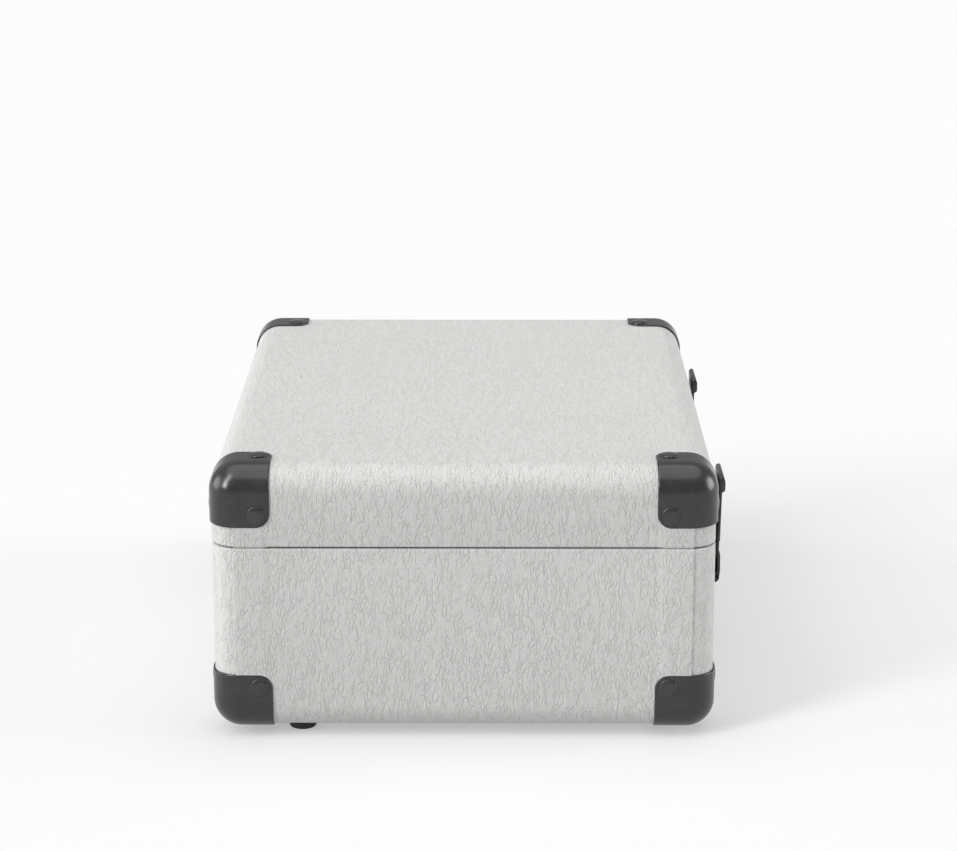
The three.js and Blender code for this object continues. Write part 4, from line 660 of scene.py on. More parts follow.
@dataclass(frozen=True)
class GrilleCloth(Finish):
    """Woven cloth behind the loudspeaker slots."""

    thread: Colour = rgb(52, 51, 50)
    gap: Colour = rgb(14, 14, 14)
    pitch: float = 0.9

    def paint(self, graph: Graph) -> bpy.types.Material:
        """Two sets of crossing threads."""
        turns = 2000 * math.pi / self.pitch
        scaled = graph.stretched((turns, turns, turns))
        weave = graph.axis(scaled, "X").wave() * 0.5 + graph.axis(scaled, "Y").wave() * 0.5
        fuzz = graph.noise(graph.place.outputs["Object"], 2400.0, 3.0)
        return graph.dress(
            Base_Color=graph.blend(weave.smooth(0.2, 0.8), self.gap, self.thread),
            Roughness=0.82 + fuzz * 0.12,
            Normal=graph.bump(weave + fuzz * 0.15, 0.2),
        )


VINYL = GrainedVinyl("vinyl_cover")
# the lining's crease colour is painted shade, as on the cover
LINING = GrainedVinyl(
    "lid_lining", ridge=rgb(58, 58, 59), crease_shade=rgb(36, 36, 37), long_pitch=3.0, short_pitch=1.6,
    relief=0.12
)
PLATE = PressedPlate("corner_plate")
RIVET = PressedPlate("rivet_head", colour=rgb(40, 39, 38), rubbed=rgb(58, 56, 55), gloss=0.16)
LATCH = PressedPlate("latch_black", colour=rgb(38, 37, 36), rubbed=rgb(56, 55, 54), gloss=0.3)
RUBBER = Rubber("black_rubber")
DECK = MouldedPlastic(
    "deck_plastic", colour=rgb(44, 44, 45), scuffed=rgb(58, 58, 59), gloss=0.56, texture=0.06
)
PLATTER = MouldedPlastic(
    "platter_plastic", colour=rgb(34, 34, 35), scuffed=rgb(48, 48, 49), gloss=0.42
)
BLACK = MouldedPlastic("black_plastic", colour=rgb(28, 28, 29), scuffed=rgb(42, 42, 43), gloss=0.38)
GRIP = MouldedPlastic(
    "grip_plastic", colour=rgb(30, 30, 30), scuffed=rgb(46, 45, 44), gloss=0.48, texture=0.09,
    fineness=900.0,
)
MARK = MouldedPlastic(
    "pale_mark", colour=rgb(206, 206, 202), scuffed=rgb(222, 222, 218), gloss=0.5, texture=0.01
)
RED = MouldedPlastic(
    "red_collar", colour=rgb(158, 26, 24), scuffed=rgb(178, 40, 34), gloss=0.36, texture=0.02
)
STEEL = Metal("bright_steel")
BRASS = Metal("turned_brass", colour=rgb(212, 178, 104), stain=rgb(160, 124, 62), gloss=0.26)
ARM = Metal("arm_metal", colour=rgb(202, 202, 200), stain=rgb(168, 168, 166), gloss=0.3)
FELT = Felt("mat_felt")
PAPER = ConePaper("cone_paper")
BOARD = FibreBoard("raw_board")
CIRCUIT = CircuitBoard("circuit_board")
LAMP = Lens("light_lens")
CLOTH = GrilleCloth("grille_cloth")


# ------------------------------------------------------------------ shapes


def upright(x: float, y: float, z: float = 0.0) -> Matrix:
    """A move without a turn."""
    return Matrix.Translation((x, y, z))


def facing(direction: Sequence[float], at: Sequence[float]) -> Matrix:
    """A turn of +Z to a direction, and a move.

    Args:
        direction: where the shape's own +Z goes.
        at: where its origin goes.

    Returns:
        The matrix.
    """
    turn = Vector((0, 0, 1)).rotation_difference(Vector(direction)).to_matrix().to_4x4()
    return Matrix.Translation(at) @ turn


def arc(centre: Flat, radius: float, start: float, end: float, steps: int) -> list[Flat]:
    """Points of an arc.

    Args:
        centre: its middle.
        radius: its radius.
        start: first angle in degrees.
        end: last angle in degrees.
        steps: how many pieces it has.

    Returns:
        The points, both ends included.
    """
    angles = [math.radians(start + (end - start) * i / steps) for i in range(steps + 1)]
    return [(centre[0] + radius * math.cos(a), centre[1] + radius * math.sin(a)) for a in angles]


def rounded(
    half_x: float, half_y: float, radius: float, steps: int = 5, at: Flat = (0.0, 0.0)
) -> list[Flat]:
    """A rectangle with round corners, anticlockwise.

    Args:
        half_x: half its length.
        half_y: half its width.
        radius: its corner radius.
        steps: pieces of each corner.
        at: its middle.

    Returns:
        The outline.
    """
    points: list[Flat] = []
    for turn, sx, sy in ((0, 1, 1), (90, -1, 1), (180, -1, -1), (270, 1, -1)):
        centre = (at[0] + sx * (half_x - radius), at[1] + sy * (half_y - radius))
        points += arc(centre, radius, turn, turn + 90, steps)
    return points


def rod_profile(radius: float, length: float, edge: float) -> list[Flat]:
    """The outline of a rod from its foot on the axis, with both ends' edges broken."""
    return [
        (0.0, 0.0), (radius - edge, 0.0), (radius, edge), (radius, length - edge),
        (radius - edge, length), (0.0, length),
    ]


class Shape:
    """A closed shape in millimetres."""

    def __init__(self) -> None:
        """Starts with nothing in it."""
        self.mesh = bmesh.new()

    @classmethod
    def rings(cls, rows: Sequence[Sequence[Sequence[float]]], closed: bool = False) -> "Shape":
        """A skin over closed rings of points.

        Args:
            rows: the rings, all with the same number of points.
            closed: whether the last ring joins the first; if not, both ends are capped.

        Returns:
            The shape.
        """
        shape = cls()
        made = [[shape.mesh.verts.new(point) for point in row] for row in rows]
        pairs = list(zip(made, made[1:])) + ([(made[-1], made[0])] if closed else [])
        for low, high in pairs:
            count = len(low)
            for i in range(count):
                j = (i + 1) % count
                shape.mesh.faces.new((low[i], low[j], high[j], high[i]))
        if not closed:
            shape.mesh.faces.new(list(reversed(made[0])))
            shape.mesh.faces.new(made[-1])
        return shape._sound()

    @classmethod
    def lathe(cls, profile: Sequence[Flat], steps: int = 48) -> "Shape":
        """A turned shape about Z.

        Args:
            profile: (radius, height) points; one that starts off the axis is closed on itself.
            steps: how many sides it has.

        Returns:
            The shape.
        """
        tiny = 0.01
        turns = [2 * math.pi * i / steps for i in range(steps)]
        rows = [
            [(max(r, tiny) * math.cos(t), max(r, tiny) * math.sin(t), z) for t in turns]
            for r, z in profile
        ]
        return cls.rings(rows, closed=profile[0][0] > tiny and profile[-1][0] > tiny)

    @classmethod
    def prism(cls, outline: Sequence[Flat], low: float, high: float) -> "Shape":
        """A flat outline drawn along Z."""
        return cls.rings([[(u, v, low) for u, v in outline], [(u, v, high) for u, v in outline]])

    @classmethod
    def box(cls, x: Flat, y: Flat, z: Flat) -> "Shape":
        """A box between two limits on each axis."""
        return cls.prism([(x[0], y[0]), (x[1], y[0]), (x[1], y[1]), (x[0], y[1])], *z)

    @classmethod
    def along_x(cls, outline: Sequence[Flat], low: float, high: float) -> "Shape":
        """A (y, z) outline drawn along X."""
        return cls.rings([[(low, u, v) for u, v in outline], [(high, u, v) for u, v in outline]])

    @classmethod
    def along_y(cls, outline: Sequence[Flat], low: float, high: float) -> "Shape":
        """An (x, z) outline drawn along Y."""
        return cls.rings([[(u, low, v) for u, v in outline], [(u, high, v) for u, v in outline]])

    @classmethod
    def tube(cls, path: Sequence[Sequence[float]], radius: float, steps: int = 16) -> "Shape":
        """A round rod along a path.

        Args:
            path: the points of its middle line.
            radius: its radius.
            steps: how many sides it has.

        Returns:
            The shape.
        """
        points = [Vector(point) for point in path]
        rows = []
        side = None
        for i, point in enumerate(points):
            ahead = (points[min(i + 1, len(points) - 1)] - points[max(i - 1, 0)]).normalized()
            if side is None:
                side = ahead.orthogonal().normalized()
            side = (side - ahead * side.dot(ahead)).normalized()
            other = ahead.cross(side)
            turns = [2 * math.pi * k / steps for k in range(steps)]
            rows.append(
                [point + radius * (side * math.cos(t) + other * math.sin(t)) for t in turns]
            )
        return cls.rings(rows)

    @classmethod
    def plate(
        cls, outline: Sequence[Flat], holes: Sequence[Sequence[Flat]], low: float, high: float,
        edge: float
    ) -> "Shape":
        """A flat plate with holes and softened edges.

        Args:
            outline: its outside.
            holes: the holes' outlines.
            low: its lower face.
            high: its upper face.
            edge: the radius of its edges.

        Returns:
            The shape.
        """
        curve = bpy.data.curves.new("plate", "CURVE")
        curve.dimensions = "2D"
        curve.fill_mode = "BOTH"
        curve.extrude = (high - low) / 2 - edge
        curve.bevel_depth = edge
        curve.bevel_resolution = 1
        curve.offset = -edge
        for ring in (outline, *holes):
            spline = curve.splines.new("POLY")
            spline.points.add(len(ring) - 1)
            for point, (u, v) in zip(spline.points, ring):
                point.co = (u, v, 0.0, 1.0)
            spline.use_cyclic_u = True
        holder = bpy.data.objects.new("plate", curve)
        bpy.context.scene.collection.objects.link(holder)
        bpy.context.view_layer.update()
        flat = bpy.data.meshes.new_from_object(
            holder.evaluated_get(bpy.context.evaluated_depsgraph_get())
        )
        shape = cls()
        shape.mesh.from_mesh(flat)
        for face in shape.mesh.faces:
            face.material_index = 0
        bpy.data.objects.remove(holder)
        bpy.data.curves.remove(curve)
        bpy.data.meshes.remove(flat)
        bmesh.ops.remove_doubles(shape.mesh, verts=shape.mesh.verts, dist=0.001)
        return shape._sound().moved(upright(0, 0, (low + high) / 2))

    def _sound(self) -> "Shape":
        """Turns every face outwards."""
        bmesh.ops.recalc_face_normals(self.mesh, faces=self.mesh.faces)
        return self

    def softened(self, width: float, steps: int = 2, angle: float = 25.0) -> "Shape":
        """Rounds the sharp edges.

        Args:
            width: how far the rounding reaches.
            steps: pieces across it.
            angle: the sharpness in degrees from which an edge is rounded.

        Returns:
            The same shape.
        """
        limit = math.radians(angle)
        sharp = [
            e for e in self.mesh.edges if len(e.link_faces) == 2 and e.calc_face_angle(0.0) > limit
        ]
        bmesh.ops.bevel(
            self.mesh, geom=sharp, offset=width, segments=steps, profile=0.5, affect="EDGES",
            clamp_overlap=True,
        )
        return self

    def moved(self, matrix: Matrix) -> "Shape":
        """Moves or turns the shape."""
        bmesh.ops.transform(self.mesh, matrix=matrix, verts=self.mesh.verts)
        return self._sound() if matrix.determinant() < 0 else self

    def painted(self, index: int) -> "Shape":
        """Gives every face one of the piece's finishes."""
        for face in self.mesh.faces:
            face.material_index = index
        return self

    def joined(self, *others: "Shape") -> "Shape":
        """Adds other shapes to this one."""
        for other in others:
            scratch = bpy.data.meshes.new("scratch")
            other.mesh.to_mesh(scratch)
            self.mesh.from_mesh(scratch)
            bpy.data.meshes.remove(scratch)
            other.mesh.free()
        return self


@dataclass
class Piece:
    """One named object, with the body that it rides on and its finishes."""

    name: str
    body: str
    slot: str
    finishes: Sequence[Finish]

    def build(
        self, shape: Shape, replaces: Sequence[str] = (), smooth: float = 34.0
    ) -> bpy.types.Object:
        """Makes the object.

        Args:
            shape: its shape in millimetres, in the row's frame.
            replaces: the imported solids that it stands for.
            smooth: the angle in degrees above which an edge stays sharp.

        Returns:
            The object.
        """
        shape.moved(Matrix.Scale(MM, 4))
        data = bpy.data.meshes.new(self.name)
        shape.mesh.to_mesh(data)
        shape.mesh.free()
        for finish in self.finishes:
            data.materials.append(finish.material())
        data.polygons.foreach_set("use_smooth", [True] * len(data.polygons))
        data.set_sharp_from_angle(angle=math.radians(smooth))
        made = bpy.data.objects.new(self.name, data)
        bpy.context.scene.collection.objects.link(made)
        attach(made, self.body)
        if replaces:
            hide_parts(*replaces)
        LOG.info("%s rides on %s, %d faces", self.name, self.body, len(data.polygons))
        return made


def carve(base: Shape, cutters: Iterable[Shape]) -> Shape:
    """Cuts shapes out of another.

    Args:
        base: what is cut.
        cutters: what is taken away.

    Returns:
        The cut shape.
    """
    def held(shape: Shape, name: str) -> bpy.types.Object:
        """A shape as a scratch object."""
        data = bpy.data.meshes.new(name)
        shape.mesh.to_mesh(data)
        shape.mesh.free()
        made = bpy.data.objects.new(name, data)
        bpy.context.scene.collection.objects.link(made)
        return made

    target = held(base, "carved")
    tools = [held(cutter, "cutter") for cutter in cutters]
    for tool in tools:
        modifier = target.modifiers.new("cut", "BOOLEAN")
        modifier.operation = "DIFFERENCE"
        modifier.solver = "EXACT"
        modifier.object = tool
    bpy.context.view_layer.update()
    result = bpy.data.meshes.new_from_object(
        target.evaluated_get(bpy.context.evaluated_depsgraph_get())
    )
    shape = Shape()
    shape.mesh.from_mesh(result)
    for scratch in (target, *tools):
        data = scratch.data
        bpy.data.objects.remove(scratch)
        bpy.data.meshes.remove(data)
    bpy.data.meshes.remove(result)
    return shape


# ------------------------------------------------------------------ case


@dataclass
class Case:
    """The two covered halves, with their turned-in rims and the overlapping end panels."""

    edge_radius: float = 14.0
    wall: float = 7.0
    rim_radius: float = 1.1
    arc_steps: int = 10
    corner_steps: int = 8
    first_station: float = 0.45
    swell_steps: int = 5
    flap_edge: float = 8.2
    flap_rise: float = 0.65
    swell_from: float = 99.0
    swell_to: float = 104.0
    rim_lift: float = 0.3
    rim_drop: Flat = (0.6, 0.9)
    bottom_border: float = 30.0
    top_border: float = 6.0
    floor: float = 6.0
    flap_fade: float = 6.0
    lining_gap: float = 0.15
    lining_sheet: float = 0.6
    lining_foot: float = 3.0
    lining_chamfer: float = 1.5
    hinge_knuckle: float = 2.2
    hinge_room: float = 2.7
    hinge_play: float = 0.6
    socket_border: float = 4.7
    socket_reach: Flat = (12.0, 2.0)

    def __post_init__(self) -> None:
        """Takes the case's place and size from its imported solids."""
        self.low, base_high = span("base_walls")
        lid_low, self.high = span("lid_shell")
        self.half_x = (self.high.x - self.low.x) / 2
        self.half_y = (self.high.y - self.low.y) / 2
        self.height = self.high.z - self.low.z
        self.base_rim = base_high.z - self.low.z
        self.lid_rim = lid_low.z - self.low.z
        self.home = upright(0, (self.low.y + self.high.y) / 2, self.low.z)

    def stations(self) -> list[tuple[float, float, float]]:
        """Points round one quarter: (share of the straight, corner angle, flap height 0 to 1)."""
        straight = self.half_y - self.edge_radius
        edge = self.flap_edge
        points = [(0.0, 0.0, 0.0), (self.first_station, 0.0, 0.0)]
        for i in range(self.swell_steps + 1):
            y = self.swell_from + (self.swell_to - self.swell_from) * i / self.swell_steps
            rise = i / self.swell_steps
            points.append((y / straight, 0.0, rise * rise * (3 - 2 * rise)))
        flap = ((0.0, 1.0), (4.0, 1.0), (edge - 0.7, 1.0), (edge - 0.2, 0.82), (edge, 0.0))
        points += [(1.0, angle, height) for angle, height in flap]
        steps = self.corner_steps
        return points + [(1.0, edge + (90 - edge) * i / steps, 0.0) for i in range(1, steps + 1)]

    def ring(self, inset: float, z: float, flap: float = 1.0, lift: float = 0.0) -> list[Vector]:
        """One closed ring round the case.

        Args:
            inset: how far it lies inside the outer faces.
            z: its height.
            flap: how much the end panels stand out here.
            lift: how much the overlapped band is raised here.

        Returns:
            The points.
        """
        radius = max(self.edge_radius - inset, 1.0)
        across = self.half_x - inset - radius
        along = self.half_y - inset - radius
        quarter = []
        for share, angle, height in self.stations():
            turn = math.radians(angle)
            reach = radius + height * self.flap_rise * flap
            quarter.append(
                (
                    across + reach * math.cos(turn), share * along + reach * math.sin(turn),
                    z + lift * height
                )
            )
        half = quarter + [(-x, y, h) for x, y, h in reversed(quarter)]
        return [Vector(point) for point in half + [(-x, -y, h) for x, y, h in half[1:-1]]]

    def rounding(self, start: float, end: float) -> list[Flat]:
        """(inset, height over the rounding's foot) from one angle to another."""
        radius = self.edge_radius
        return [(radius - u, v) for u, v in arc((0.0, 0.0), radius, start, end, self.arc_steps)]

    def flap_share(self, inset: float) -> float:
        """How much of the end panels' rise is left on the rounded edges."""
        return 1 - min(1.0, inset / self.flap_fade)

    def rim(self, z: float, up: float) -> list[tuple[float, float, float, float]]:
        """Rows over a rolled rim: (inset, height, flap, lift).

        Args:
            z: the rim's height.
            up: 1 where the rim faces up, -1 where it faces down.

        Returns:
            The rows, from outside to inside.
        """
        r = self.rim_radius
        outer = [
            (r - r * math.cos(t), z - up * (r - r * math.sin(t))) for t in (0.0, 0.4, 0.8, 1.2)
        ]
        rows = [(d, h, 1.0, 0.0) for d, h in outer[:2]]
        rows += [(d, h, 0.8, up * self.rim_lift) for d, h in outer[2:]]
        rows += [(r, z, 0.5, up * self.rim_lift), (self.wall - r, z, 0.0, 0.0)]
        rows += [(self.wall - 0.3, z - up * 0.4, 0.0, 0.0), (self.wall, z - up * r, 0.0, 0.0)]
        return rows

    def base(self) -> Shape:
        """The base's cover, from the bottom border over the outside and down the inner wall."""
        rows = [
            (self.bottom_border, self.floor - 0.4, 0.0, 0.0), (self.bottom_border, 0.3, 0.0, 0.0)
        ]
        rows += [(self.bottom_border - 0.3, 0.0, 0.0, 0.0)]
        radius = self.edge_radius
        for inset, height in self.rounding(-90, 0):
            rows.append((inset, radius + height, self.flap_share(inset), 0.0))
        rows += self.rim(self.base_rim - self.rim_drop[0], 1.0)
        rows += [(self.wall, self.floor, 0.0, 0.0)]
        return Shape.rings([self.ring(*row) for row in rows], closed=True)

    def lid(self) -> Shape:
        """The lid's cover, with its ceiling."""
        top = self.height
        rows = [(self.wall, top - self.wall, 0.0, 0.0)]
        rows += list(reversed(self.rim(self.lid_rim - self.rim_drop[1], -1.0)))
        radius = self.edge_radius
        for inset, height in self.rounding(0, 90):
            rows.append((inset, top - radius + height, self.flap_share(inset), 0.0))
        rows += [(radius + self.top_border, top, 0.0, 0.0)]
        return Shape.rings([self.ring(*row) for row in rows])

    def lining(self) -> Shape:
        """A thin lining pressed into the lid's hollow."""
        inner = self.wall + self.lining_gap
        face = inner + self.lining_sheet
        bottom = self.lid_rim + self.lining_foot
        top = self.height - self.wall - 0.1
        ceiling = top - self.lining_sheet
        rows = [
            (inner, top), (inner, bottom), (face, bottom), (face, ceiling - self.lining_chamfer),
            (face + self.lining_chamfer, ceiling),
        ]
        return Shape.rings([self.ring(inset, z, 0.0) for inset, z in rows])

    def knuckle_room(self) -> list[Shape]:
        """Grooves for the hinges' knuckles."""
        rooms = []
        for side in Side:
            low, high = span(f"hinge_lid_{side.name.lower()}")
            y = high.y - self.hinge_knuckle
            z = (self.base_rim + self.lid_rim) / 2 + self.low.z
            ends = [(low.x - self.hinge_play, y, z), (high.x + self.hinge_play, y, z)]
            rooms.append(Shape.tube(ends, self.hinge_room, 20))
        return rooms

    def socket_room(self) -> Shape:
        """The hole in the rear wall behind the socket tray."""
        low, high = span("jack_panel")
        border = self.socket_border
        inwards, outwards = self.socket_reach
        return Shape.box(
            (low.x + border, high.x - border), (high.y - inwards, high.y + outwards),
            (low.z + border, high.z - border),
        )

    def build(self) -> None:
        """Makes both covers and the lid's lining."""
        base = carve(self.base().moved(self.home), [*self.knuckle_room(), self.socket_room()])
        Piece("case_base_cover", "base", "vinyl_cover", [VINYL]).build(base, ["base_walls"])
        lid = carve(self.lid().moved(self.home), self.knuckle_room())
        Piece("case_lid_cover", "lid", "vinyl_cover", [VINYL]).build(lid, ["lid_shell"])
        Piece("lid_lining", "lid", "vinyl_cover", [LINING]).build(self.lining().moved(self.home))


@dataclass
class CornerPlate:
    """A pressed plate over one corner of the case, with a domed rivet on each tab."""

    end: End
    side: Side
    half: Half
    sheet: float = 0.9
    lift: float = 0.15
    bend: float = 15.05
    reach: float = 32.0
    tab_radius: float = 7.5
    edge: float = 0.75
    dip: float = 0.1
    dip_span: Flat = (5.0, 15.5)
    weld: float = 0.004
    bend_steps: int = 9
    flat_marks: tuple[float, ...] = (
        17.5, 20.0, 22.5, 24.5, 26.2, 27.8, 29.2, 30.2, 30.9, 31.25, 31.5, 31.7, 31.86, 31.96, 32.0,
    )
    rivet_radius: float = 4.9
    rivet_height: float = 1.25
    rivet_inset: float = 6.9

    def marks(self) -> list[float]:
        """Distances from the corner at which the sheet is drawn."""
        angles = [math.radians(45 * i / self.bend_steps) for i in range(self.bend_steps + 1)]
        return [self.bend * math.tan(angle) for angle in angles] + list(self.flat_marks)

    def inside(self, u: float, v: float) -> float:
        """How far a point of a tab lies inside its outline."""
        hub = self.reach - self.tab_radius
        if u > hub and v > hub:
            return self.tab_radius - math.hypot(u - hub, v - hub)
        return self.reach - max(u, v)

    def width(self, v: float) -> float:
        """How wide a tab is at one distance from the corner."""
        hub = self.reach - self.tab_radius
        if v <= hub:
            return self.reach
        return hub + math.sqrt(max(0.0, self.tab_radius ** 2 - (v - hub) ** 2))

    def point(self, u: float, v: float, turn: int, depth: float, bend: float) -> Vector:
        """A point of the sheet.

        Args:
            u: distance along the tab's first axis from the corner planes.
            v: distance along its second axis.
            turn: which of the three tabs it is.
            depth: how far under the outer face.
            bend: the outer bending radius.

        Returns:
            The point, measured inwards from the corner.
        """
        def eased(value: float) -> float:
            """Full near the corner's edge and nothing on the flat."""
            full, none = self.dip_span
            part = min(1.0, max(0.0, (value - full) / (none - full)))
            return 1 - part * part * (3 - 2 * part)

        share_u = u - self.dip * eased(v) * (u / self.reach) ** 4
        share_v = v - self.dip * eased(u) * (v / self.reach) ** 4
        spot = [0.0, 0.0, 0.0]
        spot[(turn + 1) % 3] = share_u
        spot[(turn + 2) % 3] = share_v
        here = Vector(spot)
        hub = Vector([max(value, bend) for value in spot])
        return hub + (here - hub).normalized() * (bend - depth)

    def face(self, turn: int, depth_of: Any) -> list[list[Vector]]:
        """Rows of points of one tab.

        Args:
            turn: which tab.
            depth_of: the depth for a distance inside the outline.

        Returns:
            The rows.
        """
        bend = self.bend
        rows = []
        for v in self.marks():
            row = []
            for u in self.marks():
                if u > bend:
                    u = bend + (u - bend) * (self.width(v) - bend) / (self.reach - bend)
                row.append(self.point(u, v, turn, depth_of(self.inside(u, v)), bend))
            rows.append(row)
        return rows

    def sheet_shape(self) -> Shape:
        """The bent sheet with rolled edges."""
        def outer(inside: float) -> float:
            """Depth of the outer face near the outline."""
            left = max(0.0, self.edge - inside)
            return self.edge - math.sqrt(max(0.0, self.edge ** 2 - left ** 2))

        def inner(_: float) -> float:
            """Depth of the inner face."""
            return self.sheet
        shape = Shape()
        bm = shape.mesh
        rims = []
        for depth_of in (outer, inner):
            for turn in range(3):
                rows = [[bm.verts.new(point) for point in row] for row in self.face(turn, depth_of)]
                for low, high in zip(rows, rows[1:]):
                    for i in range(len(low) - 1):
                        bm.faces.new((low[i], low[i + 1], high[i + 1], high[i]))
                rims.append(rows[-1] + [row[-1] for row in reversed(rows[:-1])])
        for top, bottom in zip(rims[:3], rims[3:]):
            for i in range(len(top) - 1):
                bm.faces.new((top[i], top[i + 1], bottom[i + 1], bottom[i]))
        bmesh.ops.remove_doubles(bm, verts=bm.verts, dist=self.weld)
        return shape._sound()

    def rivet(self) -> Shape:
        """A domed head with a narrow foot, facing +Z."""
        r = self.rivet_radius
        h = self.rivet_height
        profile = [
            (0.0, -self.sheet / 2), (r - 0.5, -self.sheet / 2), (r - 0.5, 0.05), (r - 0.12, 0.12)
        ]
        profile += [(r, 0.22), (r - 0.05, 0.34)]
        turns = (1.35, 1.15, 0.92, 0.7, 0.45, 0.22)
        profile += [(r * math.sin(t), 0.3 + (h - 0.3) * math.cos(t)) for t in turns]
        profile += [(0.0, h)]
        return Shape.lathe(profile, 40)

    def build(self, case: Case) -> None:
        """Makes the plate and its three rivets."""
        name = f"{self.half.name.lower()}_{self.end.name.lower()}_{self.side.name.lower()}"
        out = self.lift + self.sheet
        corner = Vector((
            self.side.value * (case.half_x + out), self.end.value * (case.half_y + out),
            case.height + out if self.half is Half.LID else -out,
        ))
        inward = Vector((-self.side.value, -self.end.value, -self.half.value))
        place = case.home @ Matrix.Translation(corner) @ Matrix.Diagonal((*inward, 1.0))
        shape = self.sheet_shape().moved(place)
        spot = self.reach - self.rivet_inset
        for turn in range(3):
            at = Vector((spot, spot, spot))
            at[turn] = 0.0
            outwards = Vector((0.0, 0.0, 0.0))
            outwards[turn] = -inward[turn]
            centre = case.home @ (corner + Vector(a * b for a, b in zip(at, inward)))
            shape.joined(self.rivet().painted(1).moved(facing(outwards, centre)))
        Piece(f"corner_plate_{name}", self.half.name.lower(), "corner_plate", [PLATE, RIVET]).build(
            shape, [f"corner_{name}"], smooth=40.0
        )


@dataclass
class Foot:
    """A rubber foot with a sunk screw."""

    end: End
    side: Side
    recess: float = 2.6

    def build(self) -> None:
        """Makes the foot and its screw."""
        name = f"foot_{self.end.name.lower()}_{self.side.name.lower()}"
        low, high = span(name)
        centre = (low + high) / 2
        r = (high.x - low.x) / 2
        h = high.z - low.z
        profile = [
            (0.0, 2.2), (self.recess, 2.2), (self.recess + 0.1, 0.4), (self.recess + 0.5, 0.0),
            (r - 1.9, 0.0), (r - 1.2, 0.15), (r - 0.8, 0.7), (r - 0.35, h * 0.55), (r, h - 0.6),
            (r - 0.1, h), (0.0, h),
        ]
        place = upright(centre.x, centre.y, low.z)
        shape = Shape.lathe(profile, 48).moved(place)
        screw = Screw(2.2, 1.1).shape().painted(1).moved(
            facing((0, 0, -1), (centre.x, centre.y, low.z + 2.25))
        )
        Piece(name.replace("foot", "rubber_foot"), "base", "black_rubber", [RUBBER, STEEL]).build(
            shape.joined(screw), [name]
        )


@dataclass
class Screw:
    """A pan-head screw with a cross recess, facing +Z from its seat."""

    radius: float = 2.4
    height: float = 1.0

    def shape(self) -> Shape:
        """The head."""
        r = self.radius
        h = self.height
        dome = [(r * math.sin(t), h * (0.45 + 0.55 * math.cos(t))) for t in (1.45, 1.2, 0.9, 0.6)]
        head = Shape.lathe([(0.0, -0.2), (r, -0.2), (r, h * 0.4), *dome, (0.0, h)], 28)
        slots = [
            Shape.box((-r * 0.62, r * 0.62), (-r * 0.12, r * 0.12), (h * 0.35, h + 1)),
            Shape.box((-r * 0.12, r * 0.12), (-r * 0.62, r * 0.62), (h * 0.35, h + 1)),
        ]
        return carve(head, slots)


@dataclass
class ServicePanel:
    """The board in the case's bottom, held by six screws."""

    inset: float = 9.0

    def build(self) -> None:
        """Makes the board and its screws."""
        low, high = span("bottom_board")
        centre = (low + high) / 2
        half_x = (high.x - low.x) / 2
        half_y = (high.y - low.y) / 2
        outline = rounded(half_x, half_y, 2.0, 3)
        shape = Shape.plate(outline, [], low.z, high.z, 0.4).moved(upright(centre.x, centre.y))
        for sx in (-1, 0, 1):
            for sy in (-1, 1):
                at = (
                    centre.x + sx * (half_x - self.inset), centre.y + sy * (half_y - self.inset),
                    low.z
                )
                shape.joined(Screw(3.0, 1.2).shape().painted(1).moved(facing((0, 0, -1), at)))
        Piece("service_board", "base", "raw_board", [BOARD, STEEL]).build(shape, ["bottom_board"])


# ------------------------------------------------------------------ hinges, latches, handle


@dataclass
class Hinge:
    """A butt hinge on the rear face: two leaves with screws, three knuckles and a pin."""

    side: Side
    leaf: float = 1.0
    knuckle: float = 2.2
    gap: float = 0.3
    row_shift: float = 2.0
    screw_places: tuple[Flat, ...] = ((-17.0, 0.0), (0.0, 5.5), (17.0, 0.0))

    def leaf_shape(self, low: Vector, high: Vector, seam: float, half: Half) -> Shape:
        """One leaf with its knuckles and screws.

        Args:
            low: the solid's lowest corner.
            high: its highest corner.
            seam: the height of the pin.
            half: which half of the case it is on.

        Returns:
            The shape.
        """
        axis_y = high.y - self.knuckle
        third = (high.x - low.x) / 3
        side_z = half.value * self.knuckle * 0.6
        far = low.z if half is Half.BASE else high.z
        z_span = sorted((seam + side_z, far))
        centre_x = (low.x + high.x) / 2
        outline = rounded((high.x - low.x) / 2, (z_span[1] - z_span[0]) / 2, 2.4, 4)
        plate = Shape.plate(outline, [], 0.0, self.leaf, 0.25)
        place = facing((0, 1, 0), (centre_x, axis_y - self.leaf, (z_span[0] + z_span[1]) / 2))
        shape = plate.moved(place)
        spans = [(low.x, low.x + third - self.gap), (high.x - third + self.gap, high.x)]
        if half is Half.LID:
            spans = [(low.x + third, high.x - third)]
        for start, end in spans:
            barrel = Shape.lathe(rod_profile(self.knuckle, end - start, 0.3), 28)
            shape.joined(barrel.moved(facing((1, 0, 0), (start, axis_y, seam))))
        if half is Half.BASE:
            for x in (low.x + 0.1, high.x - 0.1):
                cap = Shape.lathe(
                    [(0.0, -0.4), (1.4, -0.4), (1.5, 0.0), (1.2, 0.25), (0.0, 0.35)], 20
                )
                direction = (1, 0, 0) if x > centre_x else (-1, 0, 0)
                shape.joined(cap.moved(facing(direction, (x - direction[0] * 0.25, axis_y, seam))))
        row = (z_span[0] + z_span[1]) / 2 + half.value * self.row_shift
        for dx, dz in self.screw_places:
            at = (centre_x + dx, axis_y - 0.05, row + half.value * dz)
            shape.joined(Screw(2.6, 0.8).shape().moved(facing((0, 1, 0), at)))
        return shape

    def build(self) -> None:
        """Makes both leaves."""
        side = self.side.name.lower()
        seam = (span("base_walls")[1].z + span("lid_shell")[0].z) / 2
        for half in Half:
            node = f"hinge_{half.name.lower()}_{side}"
            low, high = span(node)
            shape = self.leaf_shape(low, high, seam, half)
            body = half.name.lower()
            Piece(f"hinge_leaf_{body}_{side}", body, "bright_steel", [STEEL]).build(shape, [node])


